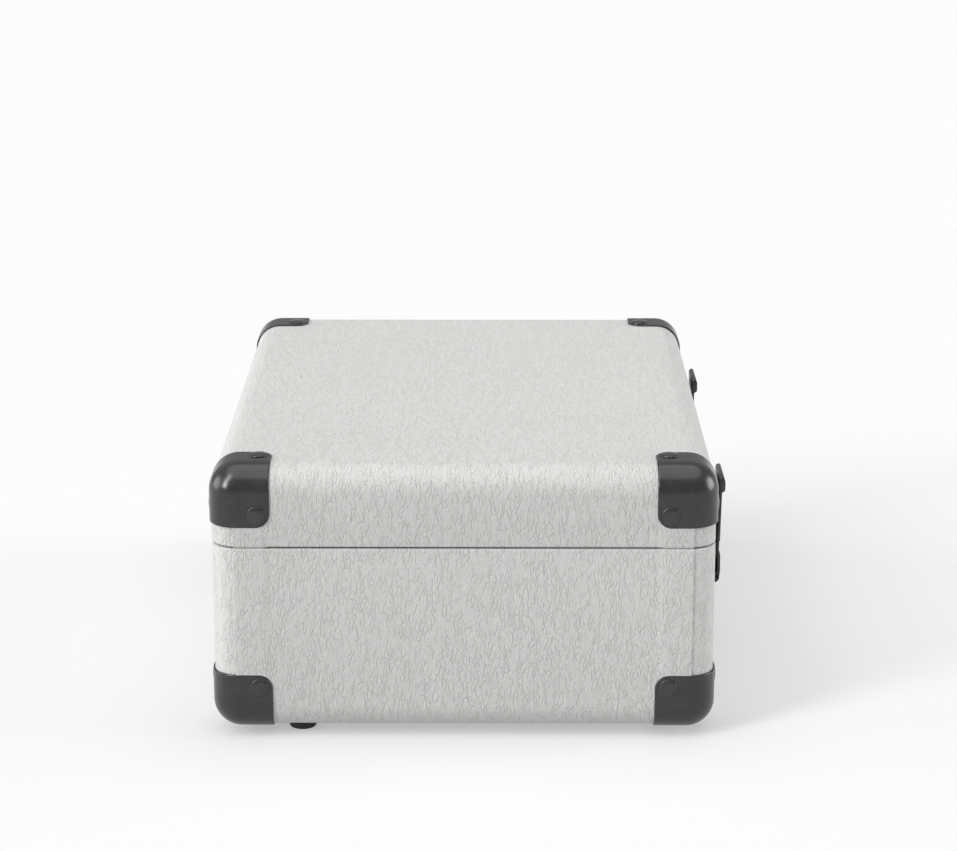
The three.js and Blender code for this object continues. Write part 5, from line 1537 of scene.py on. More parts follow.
@dataclass
class Latch:
    """A draw latch: a fixed base, a swinging hasp with a folded lip, and its keeper."""

    side: Side
    knuckle: float = 2.8
    fixed_knuckle: float = 6.0
    lip_drop: float = 7.5
    plate: float = 1.0
    rib_half: float = 7.0
    base_rivets: tuple[float, float, float] = (11.4, 1.7, 0.75)
    keeper_rivets: tuple[float, float, float] = (8.0, 1.6, 0.7)

    def __post_init__(self) -> None:
        """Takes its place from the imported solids."""
        self.word = self.side.name.lower()
        self.low, self.high = span(f"latch_hasp_{self.word}")
        self.base_low, self.base_high = span(f"latch_base_{self.word}")
        self.face = self.base_high.y
        self.axis = Vector((0.0, self.face - 2.8, self.base_low.z + self.knuckle))

    def hasp(self) -> Shape:
        """The strap, which leans out as it rises, with its lip and raised rib."""
        face = self.face + 0.3
        out = face - self.low.y
        z = self.axis.z
        top = self.high.z
        foot = top - self.lip_drop
        outline = [
            (3.4, z - 0.6), (5.7, z - 0.4), (out - 2.0, z + 2.0), (out - 1.8, z + 4.0),
            (out - 1.9, z + 12.4), (out - 2.3, z + 14.2), (out - 2.7, z + 15.2),
            (out - 2.5, z + 22.0), (out - 2.0, z + 32.0), (out - 1.75, foot - 4.5),
            (out - 1.7, foot - 0.4), (out - 0.9, foot), (out - 0.2, foot + 0.5), (out, foot + 1.4),
            (out, top - 1.9), (out - 0.3, top - 0.8), (out - 0.9, top - 0.2), (out - 1.7, top),
            (out - 2.5, top - 0.4), (out - 3.0, top - 1.2), (out - 3.1, top - 2.2),
            (out - 3.1, foot - 4.0), (out - 3.4, z + 32.0), (out - 4.0, z + 22.0),
            (out - 4.1, z + 15.2), (out - 3.6, z + 12.4), (out - 3.4, z + 4.0),
        ]
        strap = Shape.along_x([(face - o, h) for o, h in outline], self.low.x, self.high.x)
        strap.softened(0.35, 2, 50)
        centre_x = (self.low.x + self.high.x) / 2
        rib = Shape.along_x(
            [(face - o, h) for o, h in (
                (out - 2.2, z + 17.0), (out - 1.5, z + 18.2), (out - 1.3, z + 29.0),
                (out - 1.9, z + 30.4), (out - 2.9, z + 30.0), (out - 3.2, z + 17.4),
            )],
            centre_x - self.rib_half, centre_x + self.rib_half,
        ).softened(0.4, 2, 30)
        return strap.joined(rib)

    def knuckles(self, spans: Sequence[Flat]) -> Shape:
        """Rolled knuckles on the pin's axis."""
        whole = Shape()
        for start, end in spans:
            barrel = Shape.lathe(rod_profile(self.knuckle, end - start, 0.35), 28)
            whole.joined(barrel.moved(facing((1, 0, 0), (start, self.axis.y, self.axis.z))))
        return whole

    def base(self) -> Shape:
        """The fixed plate with its outer knuckles and two rivets."""
        low, high = self.base_low, self.base_high
        sheet = (high.y - self.plate, high.y)
        plate = Shape.box((low.x, high.x), sheet, (low.z + 1.4, high.z)).softened(0.3, 2)
        k = self.fixed_knuckle
        plate.joined(self.knuckles([(low.x, low.x + k), (high.x - k, high.x)]))
        at = Vector(((low.x + high.x) / 2, high.y - self.plate, high.z - 2.8))
        return plate.joined(self.rivets(at, *self.base_rivets))

    def rivets(self, at: Vector, apart: float, radius: float, height: float) -> Shape:
        """Two domed rivets at equal distances on either side of a point."""
        pair = Shape()
        profile = [
            (0.0, -0.3), (radius, -0.3), (radius, 0.2), (radius - 0.6, height - 0.15),
            (0.0, height),
        ]
        for side in Side:
            place = (at.x + side.value * apart, at.y, at.z)
            pair.joined(Shape.lathe(profile, 24).moved(facing((0, -1, 0), place)))
        return pair

    def keeper(self) -> Shape:
        """The catch on the lid, with a nose under the lip and two rivets."""
        low, high = span(f"latch_keeper_{self.word}")
        nose = high.y - low.y
        outline = [
            (0.0, low.z), (1.0, low.z), (1.0, high.z - 9.0), (1.6, high.z - 8.2),
            (nose - 0.4, high.z - 6.6), (nose, high.z - 6.0), (nose, high.z - 4.8),
            (nose - 0.5, high.z - 4.0), (1.6, high.z - 2.9), (1.0, high.z - 2.2), (1.0, high.z),
            (0.0, high.z),
        ]
        body = Shape.along_x([(high.y - o, h) for o, h in outline], low.x, high.x).softened(
            0.25, 2, 40
        )
        at = Vector(((low.x + high.x) / 2, high.y - self.plate, low.z + 3.6))
        return body.joined(self.rivets(at, *self.keeper_rivets))

    def build(self) -> None:
        """Makes the three parts."""
        base_node = f"latch_base_{self.word}"
        Piece(f"latch_plate_{self.word}", "base", "latch_black", [LATCH]).build(
            self.base(), [base_node]
        )
        inner = (self.low.x + self.fixed_knuckle + 0.3, self.high.x - self.fixed_knuckle - 0.3)
        swing = self.hasp().joined(self.knuckles([inner]))
        Piece(f"hasp_{self.word}", f"latch_{self.word}", "latch_black", [LATCH]).build(
            swing, [f"latch_hasp_{self.word}"]
        )
        keeper_node = f"latch_keeper_{self.word}"
        Piece(f"latch_catch_{self.word}", "lid", "latch_black", [LATCH]).build(
            self.keeper(), [keeper_node]
        )


@dataclass
class CarryHandle:
    """A moulded grip on two bent legs that turn in screwed mounts."""

    leg: float = 2.2
    pin: float = 1.6
    grip_length: float = 84.0
    grip_height: float = 15.0
    grip_thickness: float = 9.2
    rib_count: int = 9
    rib_height: float = 0.35
    grip_steps: int = 72
    grip_sides: int = 28
    squareness: float = 0.62
    bend_x: float = 57.7
    screw_from_middle: float = 8.4

    def __post_init__(self) -> None:
        """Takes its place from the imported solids."""
        self.low, self.high = span("handle")
        self.mount_low, self.mount_high = span("handle_mount_right")
        self.pivot = Vector(
            (0.0, self.mount_high.y - 4.1, (self.mount_low.z + self.mount_high.z) / 2)
        )
        self.grip_z = self.low.z + self.grip_height / 2
        self.grip_y = self.low.y + self.grip_thickness / 2

    def grip(self) -> Shape:
        """The grip, swollen in the middle, with finger ribs on its inner side."""
        rows = []
        for i in range(self.grip_steps + 1):
            share = i / self.grip_steps
            x = -self.grip_length / 2 + self.grip_length * share
            end = min(1.0, min(share, 1 - share) * self.grip_length / 5.0)
            round_off = math.sqrt(max(0.0, 1 - (1 - end) ** 2)) * 0.5 + 0.5
            swell = 0.9 + 0.1 * math.sin(math.pi * share)
            middle_part = abs(share - 0.5) < 0.36
            wave = math.cos(2 * math.pi * self.rib_count * share)
            rib = self.rib_height * wave if middle_part else 0.0
            half_y = self.grip_thickness / 2 * round_off * swell - 0.2
            half_z = (self.grip_height / 2 - 0.4) * round_off * swell
            row = []
            for k in range(self.grip_sides):
                turn = 2 * math.pi * k / self.grip_sides
                cos_t, sin_t = math.cos(turn), math.sin(turn)
                y = half_y * math.copysign(abs(cos_t) ** self.squareness, cos_t)
                z = half_z * math.copysign(abs(sin_t) ** self.squareness, sin_t)
                groove = rib * max(0.0, sin_t) if sin_t > 0 else 0.0
                row.append((x, self.grip_y + y, self.grip_z + z + groove))
            rows.append(row)
        return Shape.rings(rows)

    def leg_shape(self, side: Side) -> Shape:
        """One bent leg with its pin."""
        x = side.value * (self.high.x - self.low.x - 16.0) / 2
        inner = side.value * self.bend_x
        y, z = self.pivot.y, self.pivot.z
        bent = inner - side.value * 2.6
        low = side.value * (self.grip_length / 2 - 3.0)
        path = [
            (x, y, z), (inner, y, z), (bent + side.value * 0.6, y, z - 0.5), (bent, y, z - 2.0),
            (bent, y, z - 7.0)
        ]
        path += [(bent - side.value * 2.0, y, z - 9.6),
                 (low + side.value * 8.0, y - 0.6, self.grip_z + 6.0),
                 (low + side.value * 4.6, y - 1.2, self.grip_z + 2.4),
                 (low + side.value * 2.0, y - 1.8, self.grip_z + 0.6),
                 (low - side.value * 2.0, y - 2.0, self.grip_z)]
        pin = Shape.tube(path[:2], self.pin, 20)
        return Shape.tube(path[1:], self.leg - 0.1, 20).joined(pin)

    def mount(self, side: Side) -> Shape:
        """A plate with an eye and two screws."""
        low, high = span(f"handle_mount_{side.name.lower()}")
        centre = (low + high) / 2
        outline = rounded((high.x - low.x) / 2, (high.z - low.z) / 2, 3.2, 5)
        plate = Shape.plate(outline, [], 0.0, 1.2, 0.3).moved(
            facing((0, -1, 0), (centre.x, high.y, centre.z))
        )
        reach = high.y - low.y
        profile = [(0.0, -3.9), (reach - 3.4, -3.4), (reach - 3.0, -3.0)]
        profile += arc((reach - 3.0, 0.0), 3.0, -90, 90, 10)
        profile += [(reach - 3.0, 3.0), (reach - 3.4, 3.4), (0.0, 3.9)]
        eye = Shape.along_x(
            [(high.y - o, centre.z + h) for o, h in profile], low.x + 0.2, high.x - 0.2
        )
        plate.joined(eye.softened(0.3, 2, 50))
        for sign in (-1, 1):
            at = (centre.x, high.y - 1.2, centre.z + sign * self.screw_from_middle)
            plate.joined(Screw(2.5, 0.9).shape().painted(1).moved(facing((0, -1, 0), at)))
        return plate

    def build(self) -> None:
        """Makes the handle and its mounts."""
        whole = self.grip()
        for side in Side:
            whole.joined(self.leg_shape(side).painted(1))
            word = side.name.lower()
            Piece(f"handle_plate_{word}", "base", "latch_black", [LATCH, STEEL]).build(
                self.mount(side), [f"handle_mount_{word}"]
            )
        Piece("carry_handle", "handle", "grip_plastic", [GRIP, LATCH]).build(whole, ["handle"])


# ------------------------------------------------------------------ sockets


@dataclass
class SocketPanel:
    """The recessed tray in the rear wall, with two phono sockets and the power inlet."""

    flange: float = 5.0
    sheet: float = 1.2
    wall: float = 1.6
    collar: float = 5.2

    def __post_init__(self) -> None:
        """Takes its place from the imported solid."""
        self.low, self.high = span("jack_panel")
        self.centre = (self.low + self.high) / 2

    def tray(self) -> Shape:
        """The flange, four walls, the back and four screws."""
        low, high = self.low, self.high
        half_x = (high.x - low.x) / 2
        half_z = (high.z - low.z) / 2
        hole = rounded(half_x - self.flange - self.wall, half_z - self.flange - self.wall, 1.6, 3)
        frame_part = Shape.plate(rounded(half_x, half_z, 3.0, 5), [hole], 0.0, self.sheet, 0.3)
        shape = frame_part.moved(
            facing((0, 1, 0), (self.centre.x, high.y - self.sheet, self.centre.z))
        )
        x = (low.x + self.flange, high.x - self.flange)
        z = (low.z + self.flange, high.z - self.flange)
        y = (low.y, high.y - self.sheet + 0.2)
        for walls in (
            ((x[0], x[0] + self.wall), z), ((x[1] - self.wall, x[1]), z),
            (x, (z[0], z[0] + self.wall)), (x, (z[1] - self.wall, z[1])),
        ):
            shape.joined(Shape.box(walls[0], y, walls[1]))
        shape.joined(Shape.box(x, (y[0], y[0] + self.wall), z))
        for sx in (-1, 1):
            for sz in (-1, 1):
                at = (
                    self.centre.x + sx * (half_x - 2.9), high.y - 0.05,
                    self.centre.z + sz * (half_z - 2.9)
                )
                shape.joined(Screw(1.7, 0.6).shape().painted(1).moved(facing((0, 1, 0), at)))
        return shape

    def phono(self, x: float, end: float) -> Shape:
        """One barrel with its coloured collar."""
        start = self.low.y + self.wall
        length = end - start
        barrel = Shape.lathe(
            [(1.7, -1.0), (4.1, -1.0), (4.1, length - 0.4), (3.8, length), (2.9, length),
             (2.7, length - 0.5), (2.7, length - 2.0), (1.7, length - 2.2)], 40,
        )
        collar = Shape.lathe(
            [
                (4.0, 0.0), (self.collar, 0.0), (self.collar, 1.2), (self.collar - 0.4, 1.6),
                (4.0, 1.6)
            ],
            40
        )
        index = 1 if x < self.centre.x - 12 else 2
        place = facing((0, 1, 0), (x, start, self.centre.z))
        core = Shape.lathe(
            [(1.7, -1.0), (2.75, -1.0), (2.75, length - 2.4), (1.7, length - 2.4)], 24
        )
        return barrel.joined(collar.painted(index), core.painted(index)).moved(place)

    def build(self) -> None:
        """Makes the tray and the sockets."""
        Piece("socket_tray", "base", "black_plastic", [BLACK, STEEL]).build(
            self.tray(), ["jack_panel"]
        )
        low, high = span("phono_sockets")
        pair = Shape()
        for x in (low.x + 7.0, high.x - 7.0):
            pair.joined(self.phono(x, high.y))
        block = Shape.box((low.x, high.x), (low.y, self.low.y - 0.3), (low.z, high.z))
        pair.joined(block.softened(0.6).painted(3))
        Piece("phono_pair", "base", "turned_brass", [BRASS, MARK, RED, BLACK]).build(
            pair, ["phono_sockets"]
        )
        low, high = span("power_socket")
        start = self.low.y + self.wall
        length = high.y - start
        barrel = Shape.lathe([
            (2.9, -4.0), (4.6, -4.0), (4.6, length - 0.4), (4.2, length), (3.3, length),
            (2.9, length - 0.5),
        ], 40)
        pin = Shape.lathe(
            [
                (0.0, -4.0), (1.0, -4.0), (1.0, length - 1.2), (0.7, length - 0.8),
                (0.0, length - 0.8)
            ],
            20
        )
        shape = barrel.joined(pin.painted(1)).moved(
            facing((0, 1, 0), ((low.x + high.x) / 2, start, self.centre.z))
        )
        shape.joined(
            Shape.box((low.x, high.x), (low.y, self.low.y - 0.3), (low.z, high.z)).softened(0.6)
        )
        Piece("power_inlet", "base", "black_plastic", [BLACK, STEEL]).build(shape, ["power_socket"])


# ------------------------------------------------------------------ deck and platter


@dataclass
class Deck:
    """The moulded deck with its openings, the adapter's dish, screws, marks and grille cloth."""

    thickness: float = 4.0
    edge: float = 0.4
    grille_radius: float = 24.5
    slots: int = 7
    slot_width: float = 3.0
    slot_pitch: float = 6.6
    bearing_hole: float = 7.3
    pulley_hole: float = 7.0
    shaft_hole: float = 3.5
    phones_hole: float = 3.8
    light_hole: float = 2.0
    rod_hole: float = 2.5
    switch_hole: Flat = (6.0, 1.7)
    dish_radius: float = 19.5
    dish_depth: float = 2.4
    peg_radius: float = 3.2
    screw_inset: float = 7.0
    cloth_radius: float = 25.6
    cloth: float = 0.16
    ticks: int = 11
    tick_from: float = 230.0
    tick_step: float = 28.0
    tick_radius: float = 11.6
    tick: tuple[float, float, float] = (1.7, 0.5, 0.12)
    dots: tuple[tuple[str, tuple[float, ...]], ...] = (
        ("speed_switch", (-4.0, 0.0, 4.0)), ("autostop_switch", (-4.0, 4.0)),
    )
    dot_radius: float = 0.55
    dot_drop: float = 5.4

    def __post_init__(self) -> None:
        """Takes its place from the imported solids."""
        self.low, self.high = span("motor_board")
        self.centre = (self.low + self.high) / 2
        self.top = self.low.z + self.thickness
        self.dish = middle("adapter_45")

    def grille(self, x: float, y: float) -> list[list[Flat]]:
        """The slots over one loudspeaker, each as long as the round opening is wide there."""
        outlines = []
        for number in range(self.slots):
            offset = (number - (self.slots - 1) / 2) * self.slot_pitch
            half = math.sqrt(self.grille_radius ** 2 - offset ** 2)
            outlines.append(
                rounded(half, self.slot_width / 2, self.slot_width / 2 - 0.2, 4, (x, y + offset))
            )
        return outlines

    def holes(self) -> list[list[Flat]]:
        """Every opening that goes through the deck."""
        def round_hole(at: Vector, radius: float) -> list[Flat]:
            """A round opening."""
            return arc((at.x, at.y), radius, 0.0, 345.0, 23)
        rod = Tonearm().rod_place()
        outlines = [
            round_hole(middle("bearing_sleeve"), self.bearing_hole),
            round_hole(middle("motor_pulley"), self.pulley_hole),
            round_hole(middle("volume_knob"), self.shaft_hole),
            round_hole(middle("headphone_jack"), self.phones_hole),
            round_hole(middle("power_light"), self.light_hole), round_hole(rod, self.rod_hole),
        ]
        for node in ("speed_switch", "autostop_switch"):
            at = middle(node)
            outlines.append(rounded(*self.switch_hole, 0.6, 3, (at.x, at.y)))
        for side in Side:
            at = middle(f"speaker_{side.name.lower()}")
            outlines += self.grille(at.x, at.y)
        return outlines

    def marks(self) -> Shape:
        """Printed ticks round the volume knob and beside the switches."""
        length, width, height = self.tick
        whole = Shape()
        knob = middle("volume_knob")
        for number in range(self.ticks):
            turn = Matrix.Rotation(math.radians(self.tick_from - self.tick_step * number), 4, "Z")
            bar = Shape.box((0.0, length), (-width / 2, width / 2), (0.0, height))
            whole.joined(
                bar.moved(upright(knob.x, knob.y, self.top) @ turn @ upright(self.tick_radius, 0))
            )
        r = self.dot_radius
        for node, offsets in self.dots:
            at = middle(node)
            for offset in offsets:
                dot = Shape.lathe([(0.0, 0.0), (r, 0.0), (r, height), (0.0, height)], 16)
                whole.joined(dot.moved(upright(at.x + offset, at.y - self.dot_drop, self.top)))
        return whole

    def screws(self) -> Shape:
        """The heads that hold the deck down."""
        half_x = (self.high.x - self.low.x) / 2 - self.screw_inset
        half_y = (self.high.y - self.low.y) / 2 - self.screw_inset
        places = [(sx * half_x, sy * half_y) for sx in (-1, 1) for sy in (-1, 1)]
        places += [
            (-half_x, 16.0), (half_x, 36.0), (-98.0, -half_y), (78.0, -half_y), (-20.0, half_y)
        ]
        whole = Shape()
        for x, y in places:
            whole.joined(
                Screw(2.6, 1.0).shape().moved(
                    upright(self.centre.x + x, self.centre.y + y, self.top)
                )
            )
        return whole

    def build(self) -> None:
        """Makes the deck and the cloth behind its grilles."""
        half_x = (self.high.x - self.low.x) / 2
        half_y = (self.high.y - self.low.y) / 2
        outline = rounded(half_x, half_y, 1.5, 3, (self.centre.x, self.centre.y))
        sheet = Shape.plate(outline, self.holes(), self.low.z, self.top, self.edge)
        floor = self.top - self.dish_depth
        r = self.dish_radius
        room = Shape.lathe([(0.0, floor), (r - 0.6, floor), (r, floor + 0.6), (r, self.top - 0.3),
                            (r + 0.4, self.top + 0.2), (r + 0.4, self.top + 2),
                            (0.0, self.top + 2)], 72)
        body = carve(sheet, [room.moved(upright(self.dish.x, self.dish.y))])
        peg_top = self.high.z
        p = self.peg_radius
        peg = Shape.lathe([
            (0.0, floor - 0.4), (p, floor - 0.4), (p, peg_top - 0.9), (p - 0.9, peg_top),
            (0.0, peg_top),
        ], 32)
        body.joined(peg.moved(upright(self.dish.x, self.dish.y)))
        body.joined(self.screws().painted(1), self.marks().painted(2))
        Piece("deck", "base", "deck_plastic", [DECK, STEEL, MARK]).build(body, ["motor_board"])
        for side in Side:
            word = side.name.lower()
            at = middle(f"speaker_{word}")
            top = self.low.z - 0.06
            disc = Shape.lathe(
                [
                    (0.0, top - self.cloth), (self.cloth_radius, top - self.cloth),
                    (self.cloth_radius, top), (0.0, top)
                ],
                64,
            )
            Piece(f"grille_cloth_{word}", "base", "cone_paper", [CLOTH]).build(
                disc.moved(upright(at.x, at.y))
            )


@dataclass
class Platter:
    """The platter with its drive ring, the ribbed mat and the spindle."""

    disc: float = 3.0
    skirt: float = 3.0
    foot: float = 1.0
    ring: Flat = (51.0, 54.0)
    hub: float = 14.0
    bore: float = 3.85
    steps: int = 128
    rib_pitch: float = 2.8
    rib_depth: float = 0.35
    ribs_from: float = 52.0

    def wheel(self, low: Vector, high: Vector) -> Shape:
        """The moulded wheel."""
        r = (high.x - low.x) / 2
        inner = r - self.skirt
        under = high.z - self.disc
        foot = low.z + self.foot
        ring_in, ring_out = self.ring
        profile = [
            (self.bore, low.z), (self.hub - 0.5, low.z), (self.hub, low.z + 0.5), (self.hub, under),
            (ring_in, under), (ring_in, foot + 0.4), (ring_in + 0.4, foot), (ring_out - 0.4, foot),
            (ring_out, foot + 0.4), (ring_out, under), (inner, under), (inner, foot + 0.4),
            (inner + 0.4, foot), (r - 0.5, foot), (r, foot + 0.5), (r, foot + 2.6),
            (r - 0.5, foot + 2.9), (r - 0.5, foot + 3.7), (r, foot + 4.0), (r, high.z - 1.6),
            (r - 0.25, high.z - 0.7), (r - 0.9, high.z - 0.15), (r - 1.6, high.z),
            (r - 6.0, high.z), (self.bore + 0.4, high.z), (self.bore, high.z - 0.4),
        ]
        return Shape.lathe(profile, self.steps)

    def mat(self, low: Vector, high: Vector) -> Shape:
        """The mat, with ribs round its outer part."""
        r = (high.x - low.x) / 2
        profile = [
            (self.bore, low.z), (r - 0.3, low.z), (r, low.z + 0.3), (r, high.z - 0.4),
            (r - 0.4, high.z)
        ]
        radius = r - 2.6
        while radius > self.ribs_from:
            profile += [
                (radius, high.z), (radius - 0.25, high.z - self.rib_depth),
                (radius - 0.95, high.z - self.rib_depth), (radius - 1.2, high.z),
            ]
            radius -= self.rib_pitch
        profile += [(self.bore + 0.4, high.z), (self.bore, high.z - 0.4)]
        return Shape.lathe(profile, self.steps)

    def spindle(self, low: Vector, high: Vector) -> Shape:
        """The shaft, with its tapered top."""
        r = (high.x - low.x) / 2
        top = high.z
        return Shape.lathe([
            (0.0, low.z), (r - 0.3, low.z), (r, low.z + 0.3), (r, top - 5.0), (r - 0.1, top - 3.6),
            (r - 0.5, top - 2.2), (r - 1.2, top - 1.0), (r - 2.2, top - 0.25), (0.0, top),
        ], 40)

    def build(self) -> None:
        """Makes the three parts on their common axis."""
        parts = (
            ("turntable_wheel", "platter", "platter_plastic", PLATTER, self.wheel),
            ("ribbed_mat", "slip_mat", "mat_felt", FELT, self.mat),
            ("centre_shaft", "spindle", "bright_steel", STEEL, self.spindle),
        )
        for name, node, slot, finish, form in parts:
            low, high = span(node)
            centre = (low + high) / 2
            Piece(name, "platter", slot, [finish]).build(
                form(low, high).moved(upright(centre.x, centre.y)), [node]
            )


# ------------------------------------------------------------------ tonearm


@dataclass
class Tonearm:
    """The arm on its gimbal, with its base, rest, clip and cueing lift.

    Its own frame has the pivot at the origin, the arm along -Y at rest and the deck below.
    """

    rest_angle: float = 5.0
    axis_below_top: float = 5.0
    deck_drop: float = 28.7
    length: float = 187.2
    tube: float = 3.2
    stub: float = 34.0
    shell: tuple[float, float, float] = (22.0, 31.0, 3.0)
    shell_past: float = 12.0
    shell_top: float = -0.5
    housing: tuple[float, float, float] = (5.0, 7.0, 5.0)
    cross_pin: float = 1.2
    cheek_gap: float = 8.0
    cheek: float = 3.0
    cheek_depth: float = 12.0
    yoke_foot: float = -15.0
    yoke_disc: Flat = (14.0, 2.5)
    flange: Flat = (20.0, 3.0)
    flange_screws: tuple[float, ...] = (150.0, 210.0, 270.0)
    flange_screw_inset: float = 4.0
    bracket_wall: float = 2.5
    column: float = 11.0
    weight: tuple[float, float, float] = (11.0, 16.0, 33.0)
    weight_band: float = 4.0
    weight_pitch: float = 1.8
    cartridge_size: tuple[float, float, float] = (14.0, 18.0, 5.5)
    terminals: tuple[float, ...] = (-3.9, -1.3, 1.3, 3.9)
    stylus_drop: float = 1.2
    rest_at: float = -125.0
    rest_length: float = 8.0
    rest_column: tuple[float, float] = (1.5, 4.0)
    seat: float = -4.8
    clip_at: Flat = (6.8, 4.0)
    clip_length: float = 10.5
    clip_half: float = 1.7
    clip_open: float = 112.0
    cue_radius: float = 34.0
    cue_width: float = 6.0
    cue_plate: float = 2.0
    cue_top: float = -3.7
    cue_from: float = -14.0
    cue_to: float = 42.0
    cue_steps: int = 16
    rod_angle: float = -10.0
    rod: float = 2.0
    lever_at: tuple[float, float, float] = (29.0, -22.0, -20.7)
    lever_length: float = 24.0
    lever_width: float = 5.0
    lever_rise: float = 35.0
    lever_hub: float = 4.0
    pad_ribs: int = 4
    pad_pitch: float = 1.6

    def __post_init__(self) -> None:
        """Takes the pivot from the yoke's box."""
        low, high = span("arm_yoke")
        self.pivot = Vector(
            ((low.x + high.x) / 2, (low.y + high.y) / 2, high.z - self.axis_below_top)
        )
        turn = Matrix.Rotation(math.radians(self.rest_angle), 4, "Z")
        self.home = upright(*self.pivot) @ turn

    def cue_point(self, angle: float, radius: float) -> Flat:
        """A point of the cueing arc, by its angle from the arm's own line."""
        turn = math.radians(angle)
        return (-radius * math.sin(turn), -radius * math.cos(turn))

    def rod_place(self) -> Vector:
        """Where the cueing rod goes through the deck."""
        return self.home @ Vector((*self.cue_point(self.rod_angle, self.cue_radius), 0.0))

    def cross(self, start: float, end: float, y: float, z: float, radius: float) -> Shape:
        """A rod along X."""
        rod = Shape.lathe(rod_profile(radius, end - start, 0.2), 20)
        return rod.moved(facing((1, 0, 0), (start, y, z)))

    def pedestal(self) -> Shape:
        """The flange and column, with the bracket of the cueing lever."""
        floor = -self.deck_drop
        r, thick = self.flange
        top = floor + thick
        c = self.column
        head = self.yoke_foot - 0.5
        shape = Shape.lathe([
            (0.0, floor), (r - 0.2, floor), (r, floor + 0.2), (r, top - 1.0), (r - 0.3, top - 0.3),
            (r - 1.0, top), (c + 1.4, top), (c + 0.5, top + 0.4), (c, top + 1.4), (c, head - 2.2),
            (c - 0.4, head - 1.8), (c - 0.4, head - 1.2), (c, head - 0.8), (c - 0.3, head),
            (0.0, head),
        ], 72)
        for angle in self.flange_screws:
            x, y = arc((0.0, 0.0), r - self.flange_screw_inset, angle, angle + 1, 1)[0]
            shape.joined(Screw(2.2, 0.9).shape().painted(1).moved(upright(x, y, top)))
        hub_x, hub_y, hub_z = self.lever_at
        gap = self.lever_width / 2 + 0.3
        wall = self.bracket_wall
        outline = rounded((hub_x + gap + wall) / 2, 6.0, 3.0, 4, ((hub_x + gap + wall) / 2, hub_y))
        shape.joined(Shape.plate(outline, [], floor, top - 0.5, 0.4))
        hub = self.lever_hub
        side = [(hub_y - 5, floor + 0.5), (hub_y + 5, floor + 0.5), (hub_y + hub, hub_z)]
        side += arc((hub_y, hub_z), hub, 20.0, 160.0, 8) + [(hub_y - hub, hub_z)]
        for start in (hub_x - gap - wall, hub_x + gap):
            shape.joined(Shape.along_x(side, start, start + wall).softened(0.3, 2, 40))
        return shape.joined(
            self.cross(hub_x - gap - 1, hub_x + gap + 1, hub_y, hub_z, self.cross_pin).painted(1)
        )

    def gimbal(self) -> Shape:
        """The turning disc with its two cheeks and their bearing caps."""
        foot = self.yoke_foot
        r, thick = self.yoke_disc
        shape = Shape.lathe([
            (0.0, foot), (r - 0.5, foot), (r, foot + 0.5), (r, foot + thick - 0.6),
            (r - 0.6, foot + thick), (0.0, foot + thick),
        ], 64)
        deep = self.cheek_depth / 2
        side = [(-deep, foot + 0.5), (deep, foot + 0.5), (deep - 1.7, 1.6)]
        side += arc((0.0, 0.6), deep - 1.7, 14.0, 166.0, 10) + [(-deep + 1.7, 1.6)]
        for sign in (-1, 1):
            inner = sign * self.cheek_gap
            outer = sign * (self.cheek_gap + self.cheek)
            low, high = min(inner, outer), max(inner, outer)
            cheek = Shape.along_x(side, low, high).softened(0.35, 2, 40)
            bore = Shape.lathe([(0.0, 0.0), (1.5, 0.0), (1.5, 1.9), (0.0, 1.9)], 24)
            shape.joined(
                carve(cheek, [bore.moved(facing((sign, 0, 0), (inner - sign * 0.1, 0, 0)))])
            )
            cap = Shape.lathe([(0.0, -0.2), (2.6, -0.2), (2.6, 0.3), (2.2, 0.6), (0.0, 0.6)], 28)
            shape.joined(cap.painted(1).moved(facing((sign, 0, 0), (outer, 0, 0))))
        return shape

    def arm(self) -> Shape:
        """The tube, its pivot housing, the headshell and the finger lift."""
        width, long, thick = self.shell
        front = -(self.length + self.shell_past)
        rear = front + long
        tube = self.tube
        start = rear - 6.0
        whole = self.stub - start
        rod = Shape.lathe([
            (0.0, 0.0), (tube - 0.4, 0.0), (tube, 0.4), (tube, 9.0), (tube - 0.35, 9.3),
            (tube - 0.35, 10.3), (tube, 10.6), (tube, whole - 0.8), (tube - 0.8, whole),
            (0.0, whole),
        ], 40).moved(facing((0, 1, 0), (0, start, 0)))
        hx, hy, hz = self.housing
        rod.joined(Shape.box((-hx, hx), (-hy, hy), (-hz, hz)).softened(1.2, 3))
        rod.joined(
            self.cross(-self.cheek_gap - 1.3, self.cheek_gap + 1.3, 0.0, 0.0, self.cross_pin)
        )
        half = width / 2
        top = self.shell_top
        outline = [
            (-half, front + 4.0), (-half + 1.2, front + 1.2), (-half + 4.0, front),
            (half - 4.0, front), (half - 1.2, front + 1.2), (half, front + 4.0), (half, rear - 9.0),
            (half - 2.0, rear - 6.0), (4.4, rear - 0.4), (3.4, rear), (-3.4, rear),
            (-4.4, rear - 0.4), (-half + 2.0, rear - 6.0), (-half, rear - 9.0),
        ]
        holes = [rounded(0.9, 4.5, 0.85, 4, (sign * 6.0, rear - 14.0)) for sign in (-1, 1)]
        rod.joined(Shape.plate(outline, holes, top - thick, top, 0.5))
        lift = [
            (half - 1.2, top - 2.4), (half + 4.0, top - 2.4), (half + 8.8, top - 1.7),
            (half + 9.0, top - 1.3), (half + 8.6, top - 1.0), (half + 4.0, top - 1.2),
            (half - 1.2, top - 1.2),
        ]
        rod.joined(Shape.along_y(lift, front + 6.0, front + 10.0).softened(0.25, 2, 40))
        for sign in (-1, 1):
            rod.joined(
                Screw(1.5, 0.8).shape().painted(1).moved(upright(sign * 6.0, front + 8.0, top))
            )
        return rod

